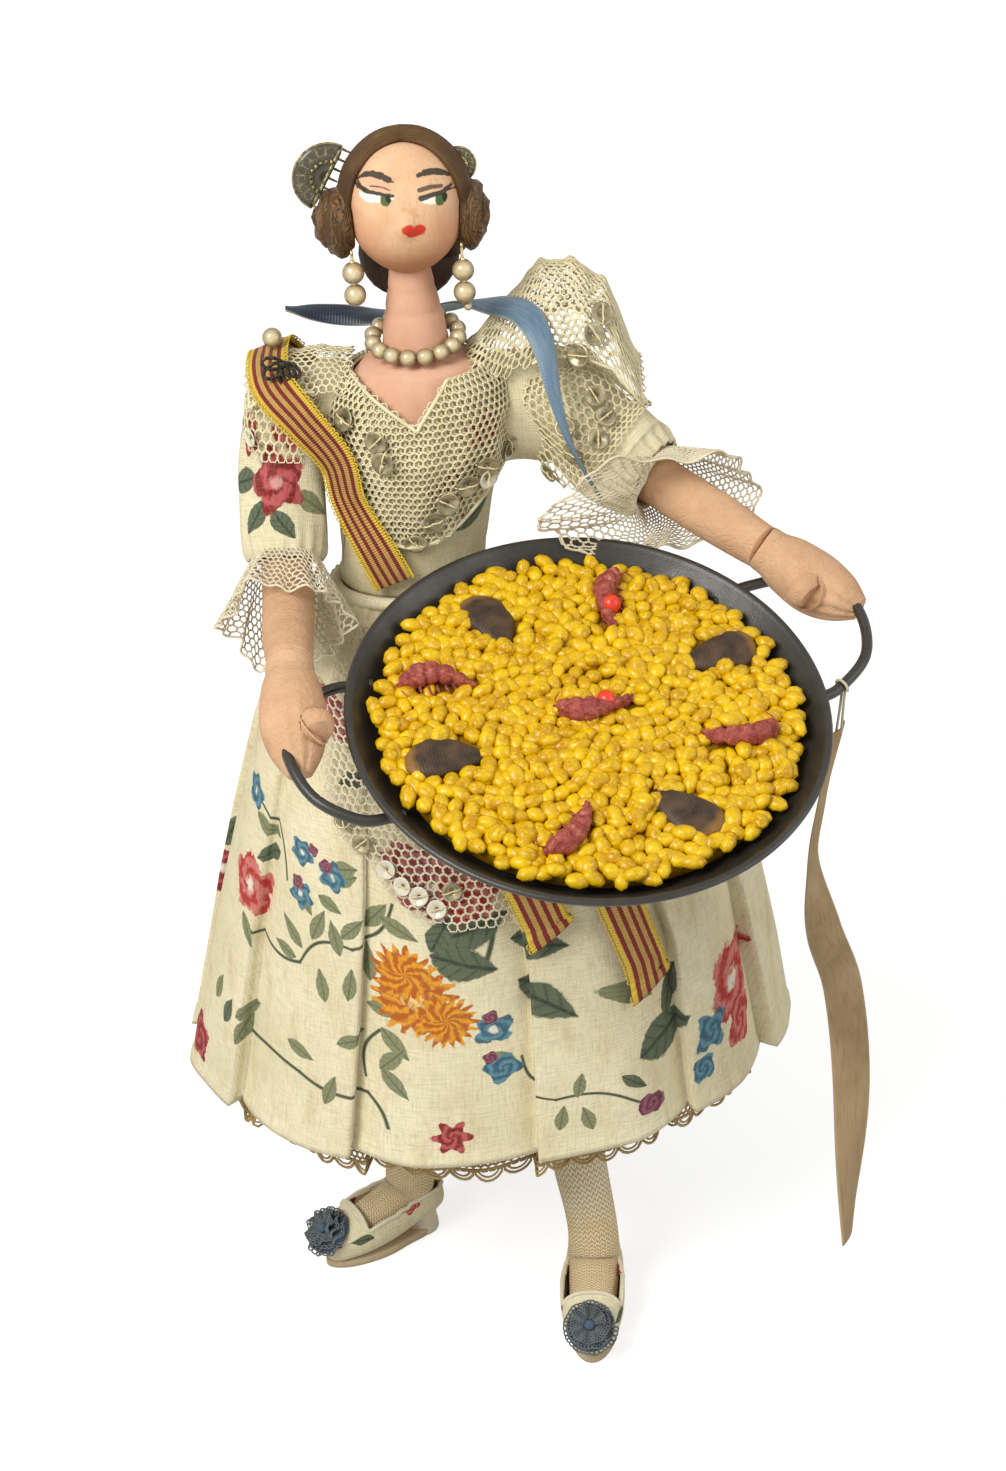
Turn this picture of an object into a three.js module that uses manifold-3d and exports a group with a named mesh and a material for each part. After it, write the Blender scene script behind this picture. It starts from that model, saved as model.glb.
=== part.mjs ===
// A cloth doll in regional festive dress, standing, that holds a small round pan of rice.
// Millimetres, +Z up. The doll faces -Y, and its right hand is on the -X side.

import * as THREE from 'three';
import { mergeVertices } from 'three/addons/utils/BufferGeometryUtils.js';
import Module from 'manifold-3d';

const wasm = await Module();
wasm.setup();

const V = (x, y, z) => new THREE.Vector3(x, y, z);
const turn = 2 * Math.PI;
const degrees = Math.PI / 180;

// Gaps between pieces
const touchGap = 0.3;
const clothGap = 0.45;
const turningGap = 0.6;
const wireGap = 0.45;

// Heights of the figure
const seatHeight = 126;
const waistHeight = 168;
const shoulderHeight = 207;
const neckRootHeight = 217.5;
const headTopHeight = 260;
const headShare = 0.58;
const headHeight = (headTopHeight - neckRootHeight) * headShare;
const chinHeight = headTopHeight - headHeight;
const neckTopHeight = chinHeight + headHeight / 6;

// Stuffed body
const waistShift = -5.5;
const neckX = -1;
const neckY = -1.5;
const neckRootRadius = 6.3;
const neckTopRadius = headHeight * 0.211;
const headHalfWidth = headHeight * 0.442;
const headHalfDepth = headHeight * 0.47;
const drawnHeadHeight = 24.65;
const headScale = headHeight / drawnHeadHeight;

// Wires inside the body
const spineRadius = 1.0;
const rodRadius = 0.9;
const limbWireRadius = 0.8;
const shoulderAxisY = 1.6;
const rodHalfLength = 27.5;

// Arms and sleeves
const rightShoulderX = -27;
const leftShoulderX = 25;
const armRadius = 5.2;
const wristRadius = 4.5;
const sleeveRadius = 8.8;
const sleeveWall = 1.0;
const leftPuff = 1.4;
const rightSleeveLimit = -21.7;
const leftSleeveLimit = 19.2;
const cuffWall = 0.8;
const cuffFlare = 12.6;
const cuffStart = 6.1;

// Clothes on the body
const bodiceWall = 1.0;
const shawlWall = 0.9;
const neckOpeningHalf = 10.5;
const neckOpeningPoint = 206.5;
const flounceRise = 13;
const sashWidth = 8;
const sashThickness = 0.6;
const ribbonWidth = 6;
const ribbonThickness = 0.5;

// Skirts
const skirtTop = 169;
const skirtHem = 61;
const skirtWall = 1.2;
const foldDepth = 3.2;
const foldWidth = 11 * degrees;
const petticoatInset = 3.0;
const petticoatTop = 158;
const petticoatHem = 58.5;
const petticoatWall = 1.0;
const laceDrop = 5;
const laceWall = 1.6;

// Legs, stockings and shoes
const ankleHeight = 20;
const heelHeight = 8;
const shinRadius = 5.0;
const ankleRadius = 4.2;
const footRadius = 4.4;
const stockingWall = 0.9;
const stockingTop = 78;
const shoeWall = 1.1;
const shoeOpening = 11;
const shoeHeight = 12.6;
const rosetteRadius = 5.6;
const rosetteThickness = 2.6;

// Pan of rice
const panRadius = 46;
const panBaseRadius = 38;
const panDepth = 7;
const panWall = 0.6;
const panLip = 0.8;
const panCentre = V(27, -64, 167);
const panLean = 6;
const panTilt = 21;
const handleRadius = 1.1;
const riceDepth = 5.2;
const riceCrown = 1.4;
const musselHalfLength = 7.6;
const shrimpHalfLength = 7.4;

// Pearls, pins and tag
const pearlRadius = 2.0;
const necklaceRadius = 8.6;
const necklacePearls = 20;
const earPearlRadius = 2.2 * headScale;
const hookRadius = 0.4 * headScale;
const tagWidth = 8;
const tagThickness = 0.6;
const tagLength = 122;
const stringRadius = 0.35;

// Closed meshes from three.js geometries

function outward(geometry) {
  const at = geometry.attributes.position;
  const index = geometry.index.array;
  const kept = [];
  let volume = 0;
  for (let i = 0; i < index.length; i += 3) {
    const [a, b, c] = [index[i], index[i + 1], index[i + 2]];
    if (a === b || b === c || c === a) continue;
    kept.push(a, b, c);
    const [p, q, r] = [a, b, c].map((n) => new THREE.Vector3().fromBufferAttribute(at, n));
    volume += p.dot(q.cross(r));
  }
  if (volume < 0) kept.reverse();
  geometry.setIndex(kept);
  return geometry;
}

function closed(geometry) {
  const bare = new THREE.BufferGeometry();
  bare.setAttribute('position', geometry.attributes.position.clone());
  if (geometry.index) bare.setIndex(geometry.index.clone());
  return outward(mergeVertices(bare, 1e-4));
}

function solid(geometry) {
  const mesh = closed(geometry);
  return new wasm.Manifold(new wasm.Mesh({
    numProp: 3,
    vertProperties: new Float32Array(mesh.attributes.position.array),
    triVerts: new Uint32Array(mesh.index.array),
  }));
}

function toGeometry(body) {
  const mesh = body.getMesh();
  const geometry = new THREE.BufferGeometry();
  geometry.setAttribute('position', new THREE.BufferAttribute(mesh.vertProperties, 3));
  geometry.setIndex(new THREE.BufferAttribute(mesh.triVerts, 1));
  return geometry;
}

function cut(body, ...tools) {
  return tools.reduce((rest, tool) => rest.subtract(tool), body);
}

function join(...bodies) {
  return bodies.reduce((all, body) => all.add(body));
}

// The largest separate body of a cut solid
function mainBody(body) {
  const pieces = body.decompose();
  return pieces.reduce((best, next) => (next.volume() > best.volume() ? next : best));
}

function block(low, high) {
  const size = high.clone().sub(low);
  const geometry = new THREE.BoxGeometry(size.x, size.y, size.z);
  geometry.translate(...low.clone().add(high).multiplyScalar(0.5).toArray());
  return solid(geometry);
}

// A straight or bent tube of one radius
function tube(points, radius, sides = 8, steps = 12, tension = 'centripetal') {
  const section = new THREE.Shape();
  for (let i = 0; i < sides; i += 1) {
    const angle = (i / sides) * turn;
    const corner = [radius * Math.cos(angle), radius * Math.sin(angle)];
    if (i === 0) section.moveTo(...corner);
    else section.lineTo(...corner);
  }
  section.closePath();
  const extrudePath = new THREE.CatmullRomCurve3(points, false, tension);
  return solid(new THREE.ExtrudeGeometry(section, { steps, bevelEnabled: false, extrudePath }));
}

// A body of round outline: one ring for each level, which is [z, x, y, half width, half depth]
function column(levels, sides = 16) {
  const geometry = new THREE.CylinderGeometry(1, 1, 1, sides, levels.length - 1);
  const at = geometry.attributes.position;
  for (let i = 0; i < at.count; i += 1) {
    const row = Math.round((0.5 - at.getY(i)) * (levels.length - 1));
    const [z, x, y, halfWidth, halfDepth] = levels[row];
    at.setXYZ(i, x + halfWidth * at.getX(i), y + halfDepth * at.getZ(i), z);
  }
  return solid(geometry);
}

// A stuffed limb: round rings along a curve through the points, one girth radius for each point
function limb(points, girths, across, sides = 10, rings = 10) {
  const curve = new THREE.CatmullRomCurve3(points, false, 'centripetal');
  const geometry = new THREE.CylinderGeometry(1, 1, 1, sides, rings - 1);
  const at = geometry.attributes.position;
  for (let i = 0; i < at.count; i += 1) {
    const t = THREE.MathUtils.clamp(0.5 - at.getY(i), 0, 1);
    const centre = curve.getPoint(t);
    const along = curve.getTangent(t);
    const side = across.clone().addScaledVector(along, -across.dot(along)).normalize();
    const front = along.clone().cross(side);
    const place = t * (girths.length - 1);
    const first = Math.min(Math.floor(place), girths.length - 2);
    const radius = THREE.MathUtils.lerp(girths[first], girths[first + 1], place - first);
    centre.addScaledVector(side, radius * at.getX(i)).addScaledVector(front, radius * at.getZ(i));
    at.setXYZ(i, centre.x, centre.y, centre.z);
  }
  return solid(geometry);
}

function widened(girths, by) {
  return girths.map((girth) => girth + by);
}

// The same points with the last one moved on, so that a widened limb is longer too
function lengthened(points, by) {
  const [before, last] = points.slice(-2);
  const onward = last.clone().sub(before).normalize();
  return [...points.slice(0, -1), last.clone().addScaledVector(onward, by)];
}

// A wire's channel is wider than the wire and runs past both of its ends
function channelFor(points, radius, steps) {
  const reach = lengthened([...lengthened(points, touchGap)].reverse(), touchGap);
  return tube(reach, radius + wireGap, 6, steps);
}

// A cloth ring with two walls: place(angle, row, wall) gives each point, wall 0 inside and 1 outside
function clothRing(sides, rows, place) {
  const outline = [];
  for (let row = 0; row < rows; row += 1) outline.push([row / (rows - 1), 1]);
  for (let row = rows - 1; row >= 0; row -= 1) outline.push([row / (rows - 1), 0]);
  outline.push(outline[0]);
  const geometry = new THREE.LatheGeometry(outline.map(() => new THREE.Vector2(1, 0)), sides);
  const at = geometry.attributes.position;
  for (let i = 0; i < at.count; i += 1) {
    const angle = ((Math.floor(i / outline.length) % sides) / sides) * turn;
    const [row, wall] = outline[i % outline.length];
    const point = place(angle, row, wall);
    at.setXYZ(i, point.x, point.y, point.z);
  }
  return solid(geometry);
}

// A cloth panel: place(u, v, w) gives each point, w 0 underneath and 1 on top
function panel(across, along, place) {
  const geometry = new THREE.BoxGeometry(1, 1, 1, across, 1, along);
  const at = geometry.attributes.position;
  for (let i = 0; i < at.count; i += 1) {
    const point = place(at.getX(i) + 0.5, at.getZ(i) + 0.5, at.getY(i) + 0.5);
    at.setXYZ(i, point.x, point.y, point.z);
  }
  return solid(geometry);
}

// A flat band along points, each with the direction that the band faces
function band(points, facings, width, thickness, steps, across = 2) {
  const path = new THREE.CatmullRomCurve3(points, false, 'centripetal');
  const faces = new THREE.CatmullRomCurve3(facings, false, 'centripetal');
  return panel(across, steps, (u, v, w) => {
    const along = path.getTangent(v);
    const facing = faces.getPoint(v);
    facing.addScaledVector(along, -facing.dot(along)).normalize();
    const side = facing.clone().cross(along);
    const point = path.getPoint(v);
    return point.addScaledVector(side, (u - 0.5) * width).addScaledVector(facing, w * thickness);
  });
}

function ellipsoid(centre, halves, sides = 12, rings = 8) {
  const geometry = new THREE.SphereGeometry(1, sides, rings);
  geometry.scale(...halves);
  geometry.translate(centre.x, centre.y, centre.z);
  return solid(geometry);
}

// A lathed body whose axis points along a direction
function lathed(outline, sides, centre, axis) {
  const geometry = new THREE.LatheGeometry(outline.map(([r, h]) => new THREE.Vector2(r, h)), sides);
  geometry.applyQuaternion(new THREE.Quaternion().setFromUnitVectors(V(0, 1, 0), axis.clone().normalize()));
  geometry.translate(centre.x, centre.y, centre.z);
  return solid(geometry);
}

// Values of a table of rows at a height, read in straight lines between its rows
function tableAt(table, z) {
  let i = 0;
  while (i < table.length - 2 && z < table[i + 1][0]) i += 1;
  const share = THREE.MathUtils.clamp((table[i][0] - z) / (table[i][0] - table[i + 1][0]), 0, 1);
  return table[i].map((value, n) => THREE.MathUtils.lerp(value, table[i + 1][n], share));
}

// Torso, from the neck root down to the seat: height, middle x, middle y, half width, half depth
const chestHeight = shoulderHeight - 8;
const ribHeight = shoulderHeight - 20;
const torsoLevels = [
  [neckRootHeight + 0.2, neckX, neckY, 6.8, 6.6],
  [neckRootHeight - 1, neckX, neckY - 0.3, 10.6, 9.6],
  [shoulderHeight + 5, neckX, neckY - 0.3, 14.8, 11.2],
  [shoulderHeight, neckX - 0.5, neckY, 17, 12.8],
  [chestHeight, neckX - 1.2, neckY, 16.2, 14.2],
  [ribHeight, waistShift + 2, neckY, 14.6, 12.8],
  [waistHeight + 8, waistShift + 0.6, neckY, 13.6, 11.6],
  [waistHeight, waistShift, neckY, 13.6, 11.4],
  [waistHeight - 14, waistShift + 1.6, neckY, 16.2, 13.4],
  [seatHeight + 12, waistShift + 2.6, neckY, 17.4, 14.4],
  [seatHeight + 4, waistShift + 2.8, neckY, 15.4, 12.6],
  [seatHeight, waistShift + 2.8, neckY, 10.5, 8.6],
];

// The same outline, larger all round and at both ends
function grown(levels, by) {
  const ends = { 0: by, [levels.length - 1]: -by };
  return levels.map(([z, x, y, halfWidth, halfDepth], i) => [
    z + (ends[i] ?? 0), x, y, halfWidth + by, halfDepth + by]);
}

// A point on the torso at an angle and height, lifted off the skin
function onTorso(angle, z, lift) {
  const [, x, y, halfWidth, halfDepth] = tableAt(torsoLevels, z);
  return V(x + (halfWidth + lift) * Math.cos(angle), y + (halfDepth + lift) * Math.sin(angle), z);
}

// Skirt outline, from the waist down to the hem: height, middle x, half width, half depth
const skirtLevels = [
  [skirtTop, waistShift, 16.8, 14.6],
  [skirtTop - 4, waistShift + 0.5, 19.5, 16.4],
  [skirtTop - 9, waistShift + 1.5, 27, 22],
  [skirtTop - 19, waistShift + 4, 35, 29],
  [skirtTop - 32, waistShift + 6.8, 43.3, 37],
  [skirtTop - 52, waistShift + 9.5, 52.5, 46],
  [skirtTop - 69, waistShift + 10.5, 58.5, 51.5],
  [skirtTop - 90, waistShift + 9.5, 63, 56.5],
  [skirtHem, waistShift + 8.5, 66.5, 60],
];

// Folds of the skirt: the angle of each valley round the waist
const skirtFolds = [-147, -84, -25, -116, -52, 6, 36, 66, 96, 126, 156, 180].map((a) => a * degrees);

function foldAt(angle) {
  return skirtFolds.reduce((depth, fold) => {
    const away = Math.abs(Math.atan2(Math.sin(angle - fold), Math.cos(angle - fold)));
    return Math.max(depth, 1 - away / foldWidth);
  }, 0);
}

// A point on the skirt's outer face, pushed outwards, with or without its folds
function onSkirt(angle, z, push, folded = true) {
  const [, x, halfWidth, halfDepth] = tableAt(skirtLevels, z);
  const low = (skirtTop - z) / (skirtTop - skirtHem);
  const draw = push - (folded ? foldDepth * Math.min(1, low * 1.4) * foldAt(angle) : 0);
  return V(x + (halfWidth + draw) * Math.cos(angle), (halfDepth + draw) * Math.sin(angle), z);
}

// Pan frame: local x towards the left hand, local y towards the doll, local z out of the rice
const panUp = V(Math.sin(panLean * degrees), -Math.sin(panTilt * degrees), 0);
panUp.z = Math.sqrt(1 - panUp.lengthSq());
const panAcross = V(1, 0, 0).addScaledVector(panUp, -panUp.x).normalize();
const panAway = panUp.clone().cross(panAcross);
const panMatrix = new THREE.Matrix4().makeBasis(panAcross, panAway, panUp).setPosition(panCentre);
const inDoll = (body) => body.transform(panMatrix.elements);
const onPan = (radius, angle, height) => V(
  radius * Math.cos(angle * degrees), radius * Math.sin(angle * degrees), height);
const fromPan = (radius, angle, height) => onPan(radius, angle, height).applyMatrix4(panMatrix);

// Pan of thin sheet with a rolled lip
const panOutline = [
  [0, -panDepth - panWall],
  [panBaseRadius, -panDepth - panWall],
  [panRadius - 2 * panLip, -2 * panLip],
  [panRadius - panLip * 0.4, -1.5 * panLip],
  [panRadius, -0.8 * panLip],
  [panRadius - panLip * 0.4, 0],
  [panRadius - panLip * 1.6, 0],
  [panRadius - panLip * 2.2, -panLip],
  [panBaseRadius - panWall, -panDepth],
  [0, -panDepth],
];
const panSides = 32;
const zUp = V(0, 0, 1);
const panSolid = lathed(panOutline, panSides, V(0, 0, 0), zUp);
const panBlank = lathed([
  [0, -panDepth - panWall - touchGap],
  [panBaseRadius + touchGap / 2, -panDepth - panWall - touchGap],
  [panRadius - 2 * panLip + 0.7 * touchGap, -2 * panLip - 0.7 * touchGap],
  [panRadius + touchGap, -2 * panLip - 0.7 * touchGap],
  [panRadius + touchGap, touchGap],
  [0, touchGap],
], panSides, V(0, 0, 0), zUp);

// Handles: bent wire loops whose ends meet the wall under the lip
const handleHeight = -2 * panLip - handleRadius - 1;
const rightHandleRoute = [
  onPan(panBaseRadius + 3, 212, handleHeight),
  onPan(49.5, 208, handleHeight),
  onPan(55.5, 200, handleHeight + 1.5),
  onPan(57.5, 189, handleHeight + 2.6),
  onPan(55.5, 178, handleHeight + 1.5),
  onPan(49.5, 170, handleHeight),
  onPan(panBaseRadius + 3, 166, handleHeight),
];
const leftHandleRoute = [
  onPan(panBaseRadius + 3, 7, handleHeight),
  onPan(50, 10, handleHeight),
  onPan(58, 17, handleHeight + 1.5),
  onPan(61.5, 28, handleHeight + 2.6),
  onPan(58, 39, handleHeight + 1.5),
  onPan(50, 46, handleHeight),
  onPan(panBaseRadius + 3, 49, handleHeight),
];
const handleSteps = 12;
const handleWire = (route, radius) => tube(route, radius, 6, handleSteps);
const rightHandle = mainBody(cut(handleWire(rightHandleRoute, handleRadius), panBlank));
const leftHandle = mainBody(cut(handleWire(leftHandleRoute, handleRadius), panBlank));
const gripHole = (route) => inDoll(handleWire(route, handleRadius + turningGap));

// Rice bed, crowned a little, with the shells and shrimps lying on it
const riceRadius = panRadius - 4.4;
const riceTop = (radius) => -panDepth + riceDepth + riceCrown * (1 - (radius / riceRadius) ** 2);
const riceSolid = lathed([
  [0, -panDepth + touchGap],
  [panBaseRadius - panWall - touchGap, -panDepth + touchGap],
  [riceRadius, riceTop(riceRadius) - 0.6],
  [riceRadius - 1.2, riceTop(riceRadius)],
  [riceRadius * 0.66, riceTop(riceRadius * 0.66)],
  [riceRadius * 0.33, riceTop(riceRadius * 0.33)],
  [0, riceTop(0)],
], 28, V(0, 0, 0), zUp);

function mussel(radius, angle, heading) {
  const shape = new THREE.SphereGeometry(1, 10, 6);
  const at = shape.attributes.position;
  for (let i = 0; i < at.count; i += 1) {
    const taper = 0.82 - 0.24 * at.getX(i);
    at.setXYZ(i, musselHalfLength * at.getX(i), 5.6 * taper * at.getZ(i), Math.max(0, at.getY(i)) * 2.2);
  }
  shape.deleteAttribute('normal');
  shape.deleteAttribute('uv');
  const spot = onPan(radius, angle, riceTop(radius - musselHalfLength) + touchGap);
  shape.rotateZ(heading * degrees);
  shape.translate(spot.x, spot.y, spot.z);
  return shape;
}

function shrimp(radius, angle, heading) {
  const spot = onPan(radius, angle, riceTop(radius) + touchGap);
  const along = V(Math.cos(heading * degrees), Math.sin(heading * degrees), 0);
  const side = V(-along.y, along.x, 0);
  const stations = [-1, -0.9, -0.45, 0.1, 0.6, 1];
  const girths = [0.6, 1.7, 2.5, 2.1, 1.4, 0.5];
  const points = stations.map((s, i) => spot.clone()
    .addScaledVector(along, s * shrimpHalfLength)
    .addScaledVector(side, 1.8 * (1 - s * s))
    .add(V(0, 0, girths[i] + touchGap)));
  return limb(points, girths, zUp, 7, 7);
}

// Legs: points from the hip down through the ankle to the toe
function legRoute(hip, knee, ankle, heading) {
  const toe = V(Math.cos(heading * degrees), Math.sin(heading * degrees), 0);
  const low = (share, height) => ankle.clone().addScaledVector(toe, share).setZ(height);
  return [
    hip, knee, V(0, 0, 0).lerpVectors(knee, ankle, 0.55), ankle,
    low(1.5, ankleHeight - 8), low(8, ankleHeight - 11.4),
    low(15, footRadius + 2.2), low(19.5, footRadius + 1),
  ];
}

const toeRadius = 2.4;
const legGirths = [9, 7.2, shinRadius, ankleRadius, footRadius, footRadius, footRadius - 0.5, toeRadius];
const legs = {
  left: {
    hip: V(5.5, -3, seatHeight + 8), knee: V(14, -12, 82), ankle: V(22.3, -27.3, ankleHeight), heading: -96,
  },
  right: {
    hip: V(-11, -2, seatHeight + 8), knee: V(-13.5, -1, 82), ankle: V(-17.8, 2.2, ankleHeight), heading: 210,
  },
};

const torsoBlank = column(grown(torsoLevels, touchGap));

function makeLeg({ hip, knee, ankle, heading }) {
  const route = legRoute(hip, knee, ankle, heading);
  const across = V(-Math.sin(heading * degrees), Math.cos(heading * degrees), 0);
  const toe = V(Math.cos(heading * degrees), Math.sin(heading * degrees), 0);
  const shape = (by) => limb(lengthened(route, by), widened(legGirths, by), across, 10, 13);
  const wirePath = [
    hip.clone().add(V(0, 0, 16)), hip, knee, V(0, 0, 0).lerpVectors(knee, ankle, 0.55), ankle,
    route[4].clone().setZ(heelHeight + 3),
  ];
  const wire = tube(wirePath, limbWireRadius, 6, 8);
  const channel = channelFor(wirePath, limbWireRadius, 8);
  const leg = mainBody(cut(shape(0), torsoBlank, channel));
  const aboveStocking = block(V(-90, -90, stockingTop), V(90, 90, 150));
  const stockingOuter = cut(shape(touchGap + stockingWall), aboveStocking);
  const stocking = mainBody(cut(stockingOuter, shape(touchGap)));
  const stockingBlank = shape(2 * touchGap + stockingWall);

  // Shoe: a low shell round the foot with a sole and a block heel, flat on the ground
  const upper = shape(2 * touchGap + stockingWall + shoeWall);
  const soleOutline = new THREE.Shape();
  soleOutline.absellipse(0, 0, 14.6, 5.4, 0, turn);
  const soleShape = { depth: 2, bevelEnabled: false, curveSegments: 12 };
  const soleGeometry = new THREE.ExtrudeGeometry(soleOutline, soleShape);
  soleGeometry.rotateZ(heading * degrees);
  soleGeometry.translate(ankle.x + 9.2 * toe.x, ankle.y + 9.2 * toe.y, 0);
  const heelGeometry = new THREE.CylinderGeometry(4.6, 3.8, heelHeight + 2, 12);
  heelGeometry.rotateX(Math.PI / 2);
  heelGeometry.translate(ankle.x - 1.2 * toe.x, ankle.y - 1.2 * toe.y, heelHeight / 2 + 1);
  const under = block(V(-90, -90, -20), V(90, 90, 0));
  const opening = new THREE.BoxGeometry(60, 60, 200);
  opening.translate(shoeOpening - 30, 0, shoeHeight + 100);
  opening.rotateZ(heading * degrees);
  opening.translate(ankle.x, ankle.y, 0);
  const blank = join(upper, solid(soleGeometry), solid(heelGeometry));
  const shoe = mainBody(cut(blank, solid(opening), under, stockingBlank));

  // Rosette of ruffled net over the toe
  const tilt = V(toe.x * 0.8, toe.y * 0.8, 1).normalize();
  const seat = route[7].clone().addScaledVector(tilt, toeRadius + 1.4);
  const disc = lathed([
    [0, 0], [rosetteRadius - 1, 0], [rosetteRadius, 1], [rosetteRadius - 0.6, 2.2],
    [rosetteRadius * 0.5, rosetteThickness + 0.6], [rosetteRadius * 0.25, rosetteThickness - 0.3],
    [0, rosetteThickness - 0.3],
  ], 12, seat, tilt);
  const shoeBlank = shape(3 * touchGap + stockingWall + shoeWall);
  const rosette = mainBody(cut(disc, shoeBlank));
  return { leg, wire, channel, stocking, shoe, rosette, blank: shape(touchGap) };
}

const leftLeg = makeLeg(legs.left);
const rightLeg = makeLeg(legs.right);

// Arms: points from the shoulder through the wrist to the finger ends
const rightGrip = fromPan(55.5, 182, handleHeight + 1.8);
const leftGrip = fromPan(59, 36, handleHeight + 1.8);
const rightArmRoute = [
  V(rightShoulderX, shoulderAxisY, shoulderHeight + 3.4),
  V(rightShoulderX - 0.6, shoulderAxisY - 0.8, shoulderHeight - 4),
  V(-30, -8, 184), V(-30.3, -15, 177), V(-29.8, -34, 175), V(-29, -53, 175.6),
];
const leftArmRoute = [
  V(leftShoulderX - 1, shoulderAxisY + 0.2, shoulderHeight + 3.4),
  V(leftShoulderX + 2.6, shoulderAxisY - 1, shoulderHeight - 4),
  V(37.2, -3, 192.7), V(45.3, -8, 188.7), V(55.8, -17, 183.6), V(64.5, -25, 180),
];
const armGirths = [2.5, armRadius, armRadius, armRadius, armRadius, wristRadius];
const armRod = (radius, reach) => tube(
  [V(-reach - 1, shoulderAxisY, shoulderHeight), V(reach - 1, shoulderAxisY, shoulderHeight)], radius, 8, 1);
const shoulderRod = armRod(rodRadius, rodHalfLength);
const rodHole = armRod(rodRadius + touchGap, rodHalfLength + touchGap);
const sleeveHole = armRod(rodRadius + 2.6, rodHalfLength - 1.5);

function makeArm(route, across, grip, tipShift, thumbShift, handleRoute) {
  const wrist = route[route.length - 1];
  const beforeWrist = route[route.length - 2];
  const tip = grip.clone().add(tipShift);
  const heel = wrist.clone().addScaledVector(wrist.clone().sub(beforeWrist).normalize(), -1.5);
  const wirePath = [route[1].clone().lerp(route[2], 0.35), ...route.slice(2), grip.clone().lerp(wrist, 0.6)];
  const wire = tube(wirePath, limbWireRadius, 6, 7);
  const channel = channelFor(wirePath, limbWireRadius, 7);
  const hand = limb([heel, wrist.clone().lerp(grip, 0.5), grip, grip.clone().lerp(tip, 0.6), tip],
    [wristRadius, 5.9, 6.4, 5, 2.2], across, 8, 7);
  const thumb = ellipsoid(grip.clone().add(thumbShift), [3.8, 3.8, 3.8], 8, 5);
  const wristPlane = limb(lengthened(route, touchGap), widened(armGirths, touchGap), across);
  const full = cut(join(hand, thumb), wristPlane, gripHole(handleRoute), channel);
  const arm = mainBody(cut(limb(route, armGirths, across), rodHole, channel));
  return { arm, wire, hand: mainBody(full), blank: limb(route, widened(armGirths, touchGap), across) };
}

const rightArm = makeArm(
  rightArmRoute, V(1, 0, 0), rightGrip, V(0.8, -7.5, -6), V(4.2, -3.5, 1.4), rightHandleRoute);
const leftArm = makeArm(
  leftArmRoute, V(0, 0, 1), leftGrip, V(7.5, -5, -3.4), V(-2.6, -4.6, 1), leftHandleRoute);

// Sleeves: puffed tubes over the upper arms, open at the hem and beside the body
function makeSleeve(route, girths, across, limit) {
  const outer = limb(route, girths, across, 12, 7);
  const hem = route[route.length - 1];
  const beyond = hem.clone().multiplyScalar(2).sub(route[route.length - 2]).lerp(hem, 0.7);
  const innerGirths = widened(girths, -sleeveWall);
  innerGirths.push(girths[girths.length - 1] - sleeveWall);
  const inner = limb([...route, beyond], innerGirths, across, 12, 8);
  const onRight = block(V(limit, -60, 120), V(80, 60, 260));
  const onLeft = block(V(-80, -60, 120), V(limit, 60, 260));
  const beside = limit < 0 ? onRight : onLeft;
  const blank = limb(lengthened(route, touchGap), widened(girths, touchGap), across, 12, 7);
  return { sleeve: mainBody(cut(outer, inner, beside, sleeveHole)), blank };
}

const rightSleeveRoute = [
  V(rightShoulderX, shoulderAxisY, shoulderHeight + sleeveRadius - 0.4),
  V(rightShoulderX - 0.3, shoulderAxisY, shoulderHeight + 3),
  V(rightShoulderX - 2.4, -2.5, 196), V(-30.3, -7.5, 185), V(-30.6, -11.5, 178.5),
];
const leftSleeveRoute = [
  V(leftShoulderX - 2, shoulderAxisY, shoulderHeight + sleeveRadius - 0.4),
  V(leftShoulderX, shoulderAxisY, shoulderHeight + 2),
  V(33.5, -1.5, 197), V(40, -4.6, 191.4), V(44.4, -7.5, 189.2),
];
const sleeveGirths = (puff) => [
  2.4, sleeveRadius - 0.6, sleeveRadius + 0.2 + puff, sleeveRadius + 0.4 + puff,
  sleeveRadius - 0.2 + puff / 2];
const rightSleeve = makeSleeve(rightSleeveRoute, sleeveGirths(0), V(1, 0, 0), rightSleeveLimit);
const leftSleeve = makeSleeve(leftSleeveRoute, sleeveGirths(leftPuff), V(0, 1, 0), leftSleeveLimit);

// Cuffs: net frills that flare from the sleeve hems over the forearms
function makeCuff(hem, end, upward, flare, ripples, blanks) {
  const axis = end.clone().sub(hem).normalize();
  const side = axis.clone().cross(upward).normalize();
  const top = side.clone().cross(axis);
  const frill = clothRing(24, 4, (angle, row, wall) => {
    const wave = 1 + 0.07 * row * Math.cos(ripples * angle);
    const radius = THREE.MathUtils.lerp(cuffStart, flare, row ** 0.8) * wave + cuffWall * wall;
    return hem.clone().lerp(end, row)
      .addScaledVector(side, radius * Math.cos(angle))
      .addScaledVector(top, radius * Math.sin(angle));
  });
  return mainBody(cut(frill, ...blanks));
}

const rightCuff = makeCuff(V(-30.5, -11.6, 178.4), V(-31, -27, 171.6), V(0, -1, 1), cuffFlare, 6,
  [rightSleeve.blank, rightArm.blank]);
const leftCuff = makeCuff(V(44, -7.2, 189.4), V(57.5, -18.4, 185), V(0, 0, 1), cuffFlare - 1.6, 6,
  [leftSleeve.blank, leftArm.blank]);

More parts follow.
